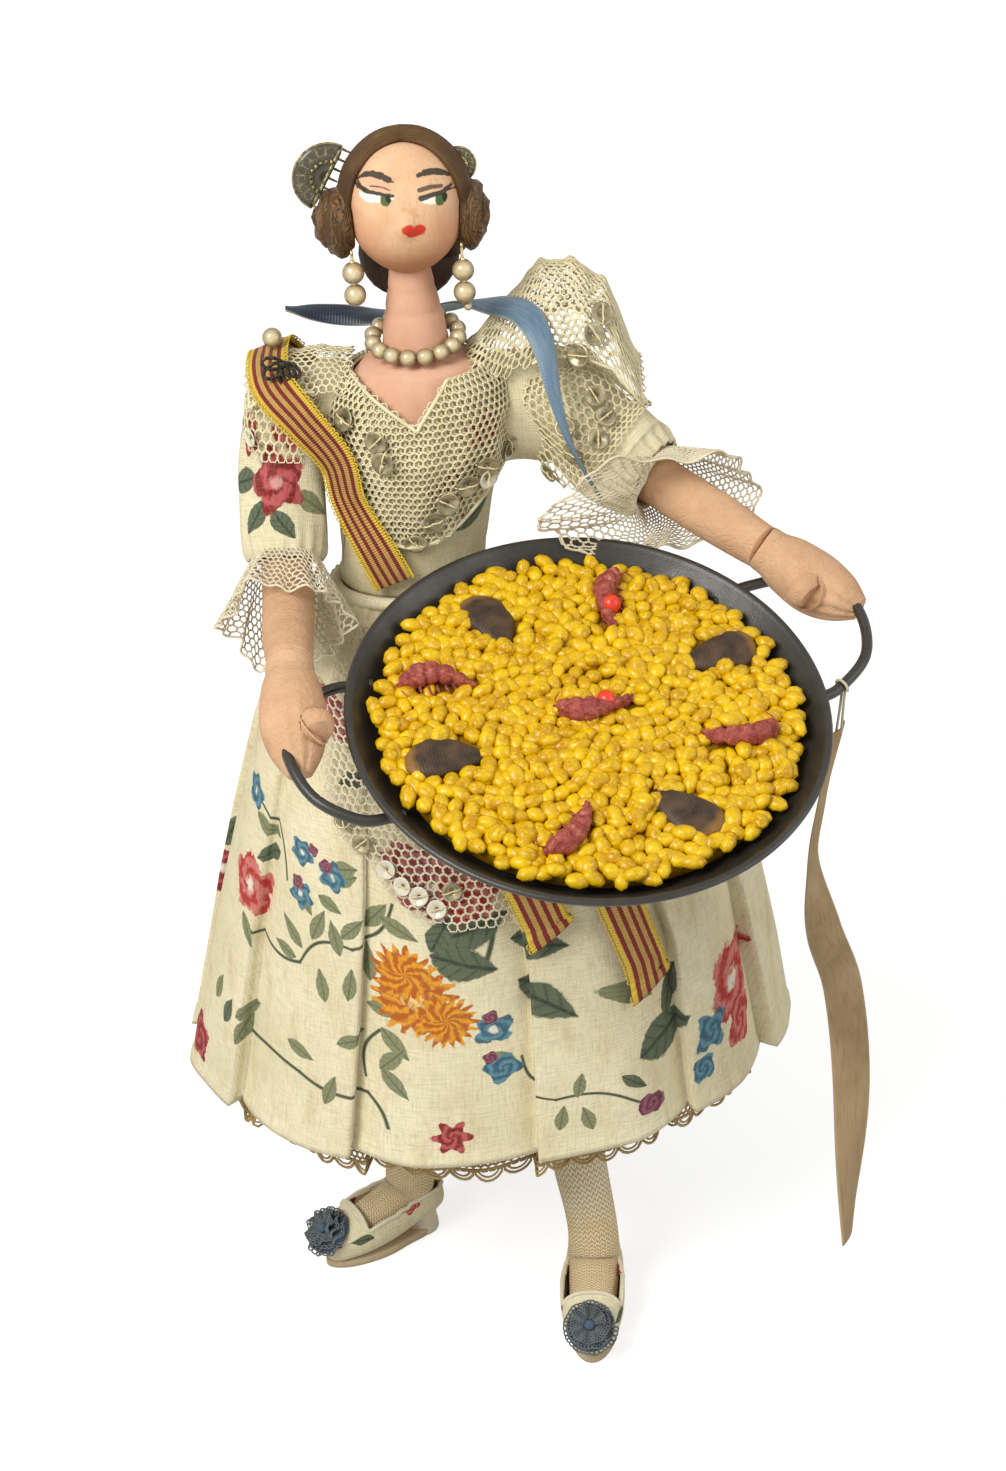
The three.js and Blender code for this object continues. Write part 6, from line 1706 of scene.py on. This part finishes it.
# Shoes: low slippers of the printed linen over card, with a bound edge, a card sole and a covered heel.
# Each is laid round eleven stations from heel to toe, and the opening for the foot is cut out of its top.
shoe_print = printed_linen("shoe_linen", [
    ("flower", (3, 12), 2.4, 5, 0.14, coral_red, None), ("flower", (19, 20), 2.2, 5, 0.14, rose_red, None),
    ("flower", (33, 11), 2.4, 5, 0.14, coral_red, None), ("leaf", (8, 19), 40, 3, 1.2, forest),
    ("leaf", (24, 14), 110, 3, 1.3, sage), ("leaf", (29, 21), 60, 3, 1.2, sage),
    ("leaf", (14, 10), -30, 3, 1.2, forest), ("flower", (12, 27), 2.6, 5, 0.14, rose_red, None),
    ("flower", (3, 29.5), 2.3, 5, 0.14, rose_red, None),
    ("flower", (18.5, 30.5), 2.2, 5, 0.14, coral_red, None),
    ("leaf", (8, 31), 20, 2.6, 1.1, forest), ("leaf", (14.5, 31.5), 120, 2.4, 1, sage),
    ("leaf", (1, 23), 70, 2.8, 1.2, forest), ("leaf", (20, 28), 80, 3, 1.2, forest),
    ("flower", (28, 28), 2.4, 5, 0.14, coral_red, None),
], stains=0.3)
shoe_stations = [Vector(row) for row in (
    (-6.4, 0, 9.5), (-5.8, 3.8, 6.4), (-2.6, 5.9, 5.6), (2, 6.5, 4.7), (6.4, 6.9, 3.2), (10.6, 7.0, 2.2),
    (14.6, 6.8, 1.8), (18.2, 6.0, 1.7), (21.6, 4.6, 1.7), (23.6, 3.0, 2.6), (24.4, 0, 5.3))]
shoe_tops = [9.6, 13.4, 14.2, 14.2, 14.8, 15.2, 14.0, 11.9, 9.9, 8.4, 5.5]
sole_steps = [(0, 0), (0.95, 0), (1, 0.4), (1, 1.7), (0.96, 2.0), (0, 2.0)]
card = speckled("sole_card", "printed_linen", (0.9, 4.0, 0.7), (0.4, 0.3, 0.18), (0.56, 0.45, 0.28), 0.06,
                Roughness=0.85)
tape = speckled("edge_tape", "printed_linen", (2.6, 2.0), (0.6, 0.52, 0.36), (0.8, 0.74, 0.56), 0.05,
                Roughness=0.85)
for side in ("right", "left"):
    beside = beside_foot(side)

    def shoe_skin(u, v):
        forward, half_width, bottom = along(shoe_stations, v)
        top = along(shoe_tops, v)
        half_width = 0.0 if v in (0, 1) else max(half_width, 0.0)
        ways = (math.cos(turn * u), math.sin(turn * u))
        across, rise = (math.copysign(abs(way) ** 0.85, way) for way in ways)
        z = (top + bottom) / 2 + (top - bottom) / 2 * rise
        return low(side, forward, z) + beside * half_width * across

    def in_opening(patch):
        middle = drawn(patch.calc_center_median())
        ahead = (middle - low(side, 0, 0)).dot(toes(side))
        return middle.z > 12.4 - 0.16 * max(0, ahead - 2) and ahead < 15.6

    def round_opening(spot):
        away = spot - low(side, 5, 0)
        return math.atan2(away.dot(beside), away.dot(toes(side)))

    def sole_skin(u, v):
        reach, rise = sole_steps[round(v * 5)]
        waist = 1 - 0.14 * math.exp(-((math.cos(turn * u) + 0.35) / 0.3) ** 2)
        return (low(side, 9.2 + 14.6 * reach * math.cos(turn * u), rise)
                + beside * 5.6 * reach * math.sin(turn * u) * waist)

    shoe_shape = cloth(56, 60, shoe_skin, (40, 34), True)
    foot_opening = [patch for patch in shoe_shape.faces if in_opening(patch)]
    bmesh.ops.delete(shoe_shape, geom=foot_opening, context="FACES")
    rim = sorted((drawn(point.co) for point in shoe_shape.verts if point.is_boundary), key=round_opening)
    binding = tube(rim[::2] + rim[:1], 0.5, 6, 110, up, 50)
    walled(dress(side + "_linen_slipper", shoe_shape, shoe_print, "figure", side + "_shoe"), 0.6)
    joined(side + "_shoe_binding", [binding], tape, "figure")
    joined(side + "_shoe_sole", [cloth(44, 5, sole_skin, (40, 12), True)], card, "figure")
    heel_profile = [(0, 0.1), (3.9, 0.1), (4.1, 0.6), (3.7, 4), (4.4, 8.6), (0, 8.6)]
    joined(side + "_shoe_heel", [spin_round(heel_profile, 32, low(side, -1.2, 0), up)], tape, "figure")


# Rosettes: a strip of slate blue net drawn up on a thread and rolled to a flat bow on the toe of each shoe.
# A felt pad with a felt bead holds its middle.
slate_net = net_thread("slate_net", "rosette_net", (0.075, 0.125, 0.18), (0.03, 0.055, 0.085))
felt_dot = speckled("slate_felt", "rosette_net", (1.7, 4.0, 0.7), (0.03, 0.05, 0.08), (0.12, 0.18, 0.25),
                    0.16, Roughness=0.95)
for side in ("right", "left"):
    tilt = (toes(side) * 0.8 + up).normalized()
    seat = leg_route(side)[7] + tilt * 4.6
    beside = beside_foot(side)
    ahead = beside.cross(tilt)

    def frill_place(x, y):
        layer = x / 34
        angle = turn * layer
        reach = 0.7 + (5.6 - 0.9 * layer) * y / 5
        rise = 0.3 + 0.75 * layer + 0.7 * (y / 5) * math.sin(8 * angle + 1.7 * layer) + 0.12 * y * layer
        return seat + (beside * math.cos(angle) + ahead * math.sin(angle)) * reach + tilt * rise

    frill = net(frill_place, 0, 102, 0.3, 4.9, 0.95)
    threads(dress(side + "_rosette_frill", frill, slate_net, "figure", side + "_rosette"), 0.42)
    pad = spin_round([(0, -0.9), (4.8, -0.7), (5.3, 0), (4.6, 0.9), (1.8, 1.9), (0, 2.0)], 28, seat, tilt)
    joined(side + "_rosette_pad", [pad, bead(seat + tilt * 2.7, 1.2, 12, 8)], felt_dot, "figure")


# Pan: a shallow round pan pressed from sheet steel and enamelled nearly black, its rim rolled outwards, with
# two wire handles riveted below the rim. Its own frame is pan_right across, pan_away to the back, pan_up out
# of the rice.
pan_up = Vector((math.sin(math.radians(6)), -math.sin(math.radians(21)), 0))
pan_up.z = math.sqrt(1 - pan_up.length_squared)
pan_right = (Vector((1, 0, 0)) - pan_up * pan_up.x).normalized()
pan_away = pan_up.cross(pan_right)
pan_middle = Vector((27, -64, 167))


def in_pan(reach, angle, rise):
    return pan_middle + (pan_right * math.cos(angle) + pan_away * math.sin(angle)) * reach + pan_up * rise


enamel, shader = new_material("black_enamel", "pan_metal", Specular_IOR_Level=0.5, Metallic=0.25)
cloudy = noise(in_mm(shader), 0.12, 4.0, 0.65)
specks = noise(in_mm(shader), 2.4, 3.0, 0.7)
colour = blended(spread(cloudy, 0.35, 0.68), (0.022, 0.019, 0.014), (0.042, 0.035, 0.026))
colour = blended(spread(specks, 0.64, 0.76, 0.0, 0.6), colour, (0.09, 0.085, 0.07))
finish(shader, colour, specks, 0.05, spread(cloudy, 0.3, 0.7, 0.42, 0.26))
pan_profile = [(0, -7.6), (30, -7.6), (37.2, -7.6), (38.6, -7.3), (41, -5), (43.8, -2.2), (44.6, -1.4),
               (45.4, -1.25), (46, -0.9), (46.15, -0.45), (45.9, -0.05), (45.3, 0.12), (44.8, -0.05),
               (44.3, -0.6), (43.4, -1.5), (41, -3.9), (38.4, -6.6), (37.2, -7.0), (30, -7.1), (0, -7.1)]
dress("enamelled_pan", spin_round(pan_profile, 128, pan_middle, pan_up), enamel, "pan", "pan")

# One mark of a handle is its reach from the pan's middle, its angle round the pan in degrees, and its rise.
handles = {
    "right": ((41.6, 212, 0), (44, 211, 0), (49.5, 208, 0), (55.5, 200, 1.5), (57.5, 189, 2.6),
              (55.5, 178, 1.5), (49.5, 170, 0), (44, 167, 0), (41.6, 166, 0)),
    "left": ((41.6, 7, 0), (44, 7.6, 0), (50, 10, 0), (58, 17, 1.5), (61.5, 28, 2.6), (58, 39, 1.5),
             (50, 46, 0), (44, 48.4, 0), (41.6, 49, 0)),
}
for side, marks in handles.items():
    rivets = []
    for _, angle, _ in (marks[1], marks[-2]):
        foot = in_pan(42.9, math.radians(angle), -3.6)
        outward = (foot - in_pan(40, math.radians(angle), -0.6)).normalized()
        for across in (-1.7, 1.7):
            spot = foot + outward.cross(pan_up).normalized() * across
            rivets.append(spin_round([(0, 0.95), (0.5, 0.85), (0.85, 0.5), (1.0, 0)], 14, spot, outward))
        rivets.append(spin_round([(0, 0.55), (2.9, 0.5), (3.1, 0.2), (3.1, -0.5)], 22, foot, outward))
    line = [in_pan(reach, math.radians(angle), rise - 3.7) for reach, angle, rise in marks]
    rod = tube(line, 1.1, 14, 90, pan_up, 60)
    joined(side + "_wire_handle", [rod, *rivets], enamel, "pan", "handle_" + side)


# Rice: short plump grains, dyed with saffron and heaped a little towards the middle, on a bed of the same.
# The grains lie in a spiral with some more strewn over it, and none where a mussel or a shrimp lies.
saffron, shader = new_material(
    "saffron_rice", "rice", Roughness=0.27, Specular_IOR_Level=0.28, Coat_Weight=0.1)
batch = noise(in_mm(shader), 0.32, 2.0)
highlight_specks = noise(in_mm(shader), 1.6, 3.0, 0.6)
colour = blended(spread(batch, 0.32, 0.68), (0.47, 0.23, 0.001), (0.72, 0.45, 0.0015))
# Lighter specks over the grains are painted highlights.
finish(shader, blended(spread(highlight_specks, 0.5, 0.72, 0.0, 0.75), colour, (0.86, 0.66, 0.01)), highlight_specks, 0.05)
# The bed is a saffron glaze, painted darker as shade between the grains.
shaded_broth = speckled("saffron_broth_in_shade", "rice", (0.8, 3.0), (0.17, 0.08, 0.003), (0.38, 0.19, 0.004), 0.3,
                 Roughness=0.4)


def bed_rise(reach):
    return -2.2 + 1.4 * (1 - (reach / 41.6) ** 2)


domed = [38.4 * math.cos(step * math.pi / 24) for step in range(13)]
bed_profile = [(0, -7.0), (36.6, -6.9), (38.6, -5.0), (38.6, -3.2)]
bed_profile += [(reach, bed_rise(reach)) for reach in domed]
joined("rice_ground", [spin_round(bed_profile, 72, pan_middle, pan_up)], shaded_broth, "pan", "rice_bed")

# One mark is a reach from the pan's middle, an angle round the pan and the way the shell or shrimp points.
mussel_marks = [(29.2, 127, 116), (30.6, 30, 25), (29.9, 202, 186), (29.1, -56, -35)]
shrimp_marks = [(27.9, 78, 265), (28.2, 165, 358), (2, 0, 12), (27.8, -14, 185), (28.9, -99, 55)]


def on_bed(mark, ahead, sideways, rise):
    reach, angle, way = mark[0], math.radians(mark[1]), math.radians(mark[2])
    x = reach * math.cos(angle) + ahead * math.cos(way) - sideways * math.sin(way)
    y = reach * math.sin(angle) + ahead * math.sin(way) + sideways * math.cos(way)
    return pan_middle + pan_right * x + pan_away * y + pan_up * rise


def covered(spot):
    for marks, half_length, half_width in ((mussel_marks, 6.9, 3.9), (shrimp_marks, 6.6, 1.7)):
        for mark in marks:
            middle = on_bed(mark, 0, 0, 0)
            ahead = (spot - middle).dot(on_bed(mark, 1, 0, 0) - middle)
            sideways = (spot - middle).dot(on_bed(mark, 0, 1, 0) - middle)
            if (ahead / half_length) ** 2 + (sideways / half_width) ** 2 < 1:
                return True
    return False


random.seed(11)
handfuls = []
spiral_grains, strewn_grains, rice_reach = 640, 120, 40.2
for grain in range(spiral_grains + strewn_grains):
    if grain % 100 == 0:
        handfuls.append(bmesh.new())
        handfuls[-1].loops.layers.uv.new("cloth_mm")
    strewn = grain >= spiral_grains
    reach = rice_reach * math.sqrt(random.random() if strewn else (grain + 0.5) / spiral_grains)
    angle = grain * 2.39996 + random.uniform(-0.012, 0.012)
    reach += random.uniform(-0.4, 0.4)
    rise = bed_rise(reach) + random.uniform(0.2, 0.9) + (0.9 if strewn else 0.0)
    spot = in_pan(min(reach, rice_reach), angle, rise)
    if covered(spot):
        continue
    lies = Matrix((pan_right, pan_away, pan_up)).transposed()
    lies = lies @ Matrix.Rotation(random.uniform(0, turn), 3, "Z")
    lies = lies @ Matrix.Rotation(random.gauss(0, 0.3), 3, "Y")
    plump = random.uniform(0.84, 1.16)
    stretch = Matrix.Diagonal((2.4 * plump, 1.62 * random.uniform(0.88, 1.12), 1.32))
    laid = Matrix.Translation(spot) @ (lies @ stretch).to_4x4()
    bmesh.ops.create_uvsphere(handfuls[-1], u_segments=8, v_segments=6, radius=1.0, matrix=laid)
for handful in handfuls:
    for point in handful.verts:
        point.co = at(point.co)
joined("rice_grains", handfuls, saffron, "pan")


# Mussels: four half shells laid hollow side down, nearly black, with fine growth rings.
# The rings run round the hinge, and the rim is horn coloured.
shell, shader = new_material("mussel_shell", "mussel", Specular_IOR_Level=0.2)
where = cloth_mm(shader)
from_hinge = where.vector("LENGTH", output=1)
ripple = noise(where, 0.5, 3.0)
rings = (ripple * 3.0 + from_hinge * (turn / 0.62)).math("SINE")
colour = blended(spread(noise(where, 0.25, 3.0), 0.35, 0.65), (0.025, 0.018, 0.012), (0.085, 0.05, 0.028))
colour = blended(spread(rings, 0.2, 1.0, 0.0, 0.22), colour, (0.12, 0.08, 0.05))
colour = blended(spread(ripple * 1.2 + from_hinge, 13.2, 14.6, 0.0, 0.8), colour, (0.26, 0.13, 0.03))
finish(shader, colour, ripple * 2.0 + rings, 0.018, spread(ripple, 0.3, 0.7, 0.34, 0.5))


def shell_spot(u, v):
    angle, closer = turn * u, math.sin(math.pi * v / 2)
    sideways = 5.2 * math.sin(angle) * (0.84 + 0.26 * math.cos(angle)) + 0.5 * math.cos(2 * angle)
    return lerp(-1.0, 7.6 * math.cos(angle), closer), sideways * closer


def shell_flat(u, v):
    ahead, sideways = shell_spot(u, v)
    return ahead + 7.6, sideways


for count, mark in enumerate(mussel_marks, 1):
    def shell_skin(u, v):
        hollow = 0.6 + 2.1 * math.cos(math.pi * v / 2) ** 0.8
        return on_bed(mark, *shell_spot(u, v), bed_rise(mark[0]) + hollow)

    shell_shape = cloth(44, 16, shell_skin, shell_flat, True)
    walled(dress("mussel_half_%d" % count, shell_shape, shell, "pan", "mussel_%d" % count), 0.4)


# Shrimps: five small dried shrimps with ringed bodies, curled legs, feelers and a fanned tail.
# Every second one curls the other way, and two hold red berries.
crust, shader = new_material("shrimp_crust", "shrimp", Roughness=0.42, Specular_IOR_Level=0.4)
mottle = noise(in_mm(shader), 0.75, 4.0, 0.7)
fine = noise(in_mm(shader), 3.0, 2.0)
colour = blended(spread(mottle, 0.34, 0.64), (0.19, 0.016, 0.016), (0.42, 0.09, 0.055))
# The pale patches on the crust are painted highlights.
colour = blended(spread(mottle, 0.58, 0.74, 0.0, 0.9), colour, (0.56, 0.26, 0.14))
finish(shader, colour, mottle * 3.0 + fine, 0.14)
berry_skin = speckled("red_berry", "shrimp", (0.7, 2.0), (0.6, 0.012, 0.008), (0.8, 0.06, 0.01), 0.05,
                      Roughness=0.3, Specular_IOR_Level=0.5)


def shrimp_ripple(angle, share):
    return (-0.55 * abs(math.sin(7 * math.pi * share)) ** 8 + 0.22 * math.sin(3 * angle + 9 * share)
            + 0.12 * math.sin(7 * angle - 31 * share))


for count, mark in enumerate(shrimp_marks, 1):
    curl = 1.0 if count % 2 else -1.0

    def limb(spots, girths, columns, rows, across, length, flatness=1.0, ripple=None):
        line = [on_bed(mark, ahead, curl * sideways, bed_rise(mark[0]) + 0.5 + rise)
                for ahead, sideways, rise in spots]
        return tube(line, girths, columns, rows, across, length, flatness, ripple)

    parts = [limb([(-8.2, 1.8, 0.8), (-6.6, 0.6, 1.7), (-3.9, -0.7, 2.2), (-0.7, -0.9, 2.1), (2.4, -0.3, 1.6),
                   (5.1, 0.8, 1.1), (7.0, 1.8, 0.8)],
                  [0.9, 2.3, 2.6, 2.3, 1.8, 1.2, 0.5], 24, 84, pan_up, 15, 0.85, shrimp_ripple)]
    for lobe in (-0.5, 0.0, 0.5):
        tail_fan = [(5.8, 1.4, 0.7), (7.0, 1.8 + 1.2 * lobe, 0.6), (7.9, 2.0 + 2.4 * lobe, 0.5)]
        parts.append(limb(tail_fan, [0.4, 0.8, 0.3], 8, 8, pan_up.cross(pan_right), 3, 0.35))
    for leg_number in range(5):
        ahead = -4.6 + 1.7 * leg_number
        hooked = [(ahead, 0.8, 1.2), (ahead + 0.5, 2.6, 1.0), (ahead + 1.3, 3.0, 0.3)]
        parts.append(limb(hooked, [0.34, 0.28, 0.14], 5, 7, pan_up, 3))
    for feeler in (-1, 1):
        swept = [(-6.6, 1.2 + 0.4 * feeler, 1.2), (-8.0, 1.6 + 1.4 * feeler, 1.9),
                 (-6.6, 2.0 + 2.8 * feeler, 2.0)]
        parts.append(limb(swept, [0.2, 0.16, 0.1], 4, 10, pan_up, 5))
    joined("dried_shrimp_%d" % count, parts, crust, "pan", "shrimp_%d" % count)
    if count in (1, 3):
        berry = bead(on_bed(mark, 1.2, curl * 0.4, bed_rise(mark[0]) + 3.1), 1.9, 20, 14)
        joined("red_berry_%d" % count, [berry], berry_skin, "pan")


# Tag: a long strip of tan paper that has been folded and twisted, tied by a thread to the left handle.
# Nothing is written on it.
paper, shader = new_material("tag_paper", "tag_paper", Roughness=0.85)
where = cloth_mm(shader)
fibre = noise(stretched(where, 1.4, 0.22, 1), 1.0, 4.0, 0.65)
colour = blended(spread(noise(where, 0.06, 3.0), 0.35, 0.65), (0.3, 0.2, 0.1), (0.42, 0.3, 0.16))
colour = blended(spread(fibre, 0.5, 0.75, 0.0, 0.6), colour, (0.19, 0.12, 0.06))
across_mm = xyz(where)[0]
edge_wear = spread(across_mm, 0.5, 0.0).math("MAXIMUM", spread(across_mm, 7.5, 8.0))
finish(shader, blended(edge_wear * 0.5, colour, (0.55, 0.44, 0.28)), fibre, 0.08)
tag_hook = Vector((76.205, -52.254, 162.08))
tag_top = tag_hook + Vector((-1, -1, -9))
tag_points = [tag_top + Vector((shift, 0, 0.6 - down)) for shift, down in (
    (0, 0), (-3.4, 16), (-5.4, 30), (-3.4, 46), (0.2, 60), (1.6, 84), (0.4, 122))]
tag_facings = [(1, -0.5, 0), (1, -0.35, 0), (1, -0.4, 0), (0.5, -1, 0), (0.1, -1, 0), (0.2, -1, 0),
               (1, -0.35, 0)]
tag_shape, _, _ = ribbon_line(tag_points, tag_facings, 8, 120, None, 0.7)
walled(dress("paper_tag", tag_shape, paper, "tag", "tag"), 0.35)

string = speckled("tag_string", "tag_paper", (3.5, 2.0), (0.4, 0.34, 0.22), (0.7, 0.62, 0.44), 0.05,
                  Roughness=0.8)
hook_axis = Vector((0.7677, 0.5912, 0.2471))
round_handle = hook_axis.cross(up).normalized()
over_handle = round_handle.cross(hook_axis).normalized()
tie = [tag_hook + (round_handle * math.cos(angle) + over_handle * math.sin(angle)) * 1.5
       for angle in (-1.3, -0.4, 0.6, 1.6, 2.6, 3.5, 4.4)]
tie = [tag_top + Vector((0.5, -0.4, -0.6)), *tie, tag_top + Vector((-0.5, -0.4, -0.6))]
joined("tag_tie", [tube(tie, 0.28, 8, 60, Vector((0.3, 0.4, 0.86)), 22)], string, "tag")
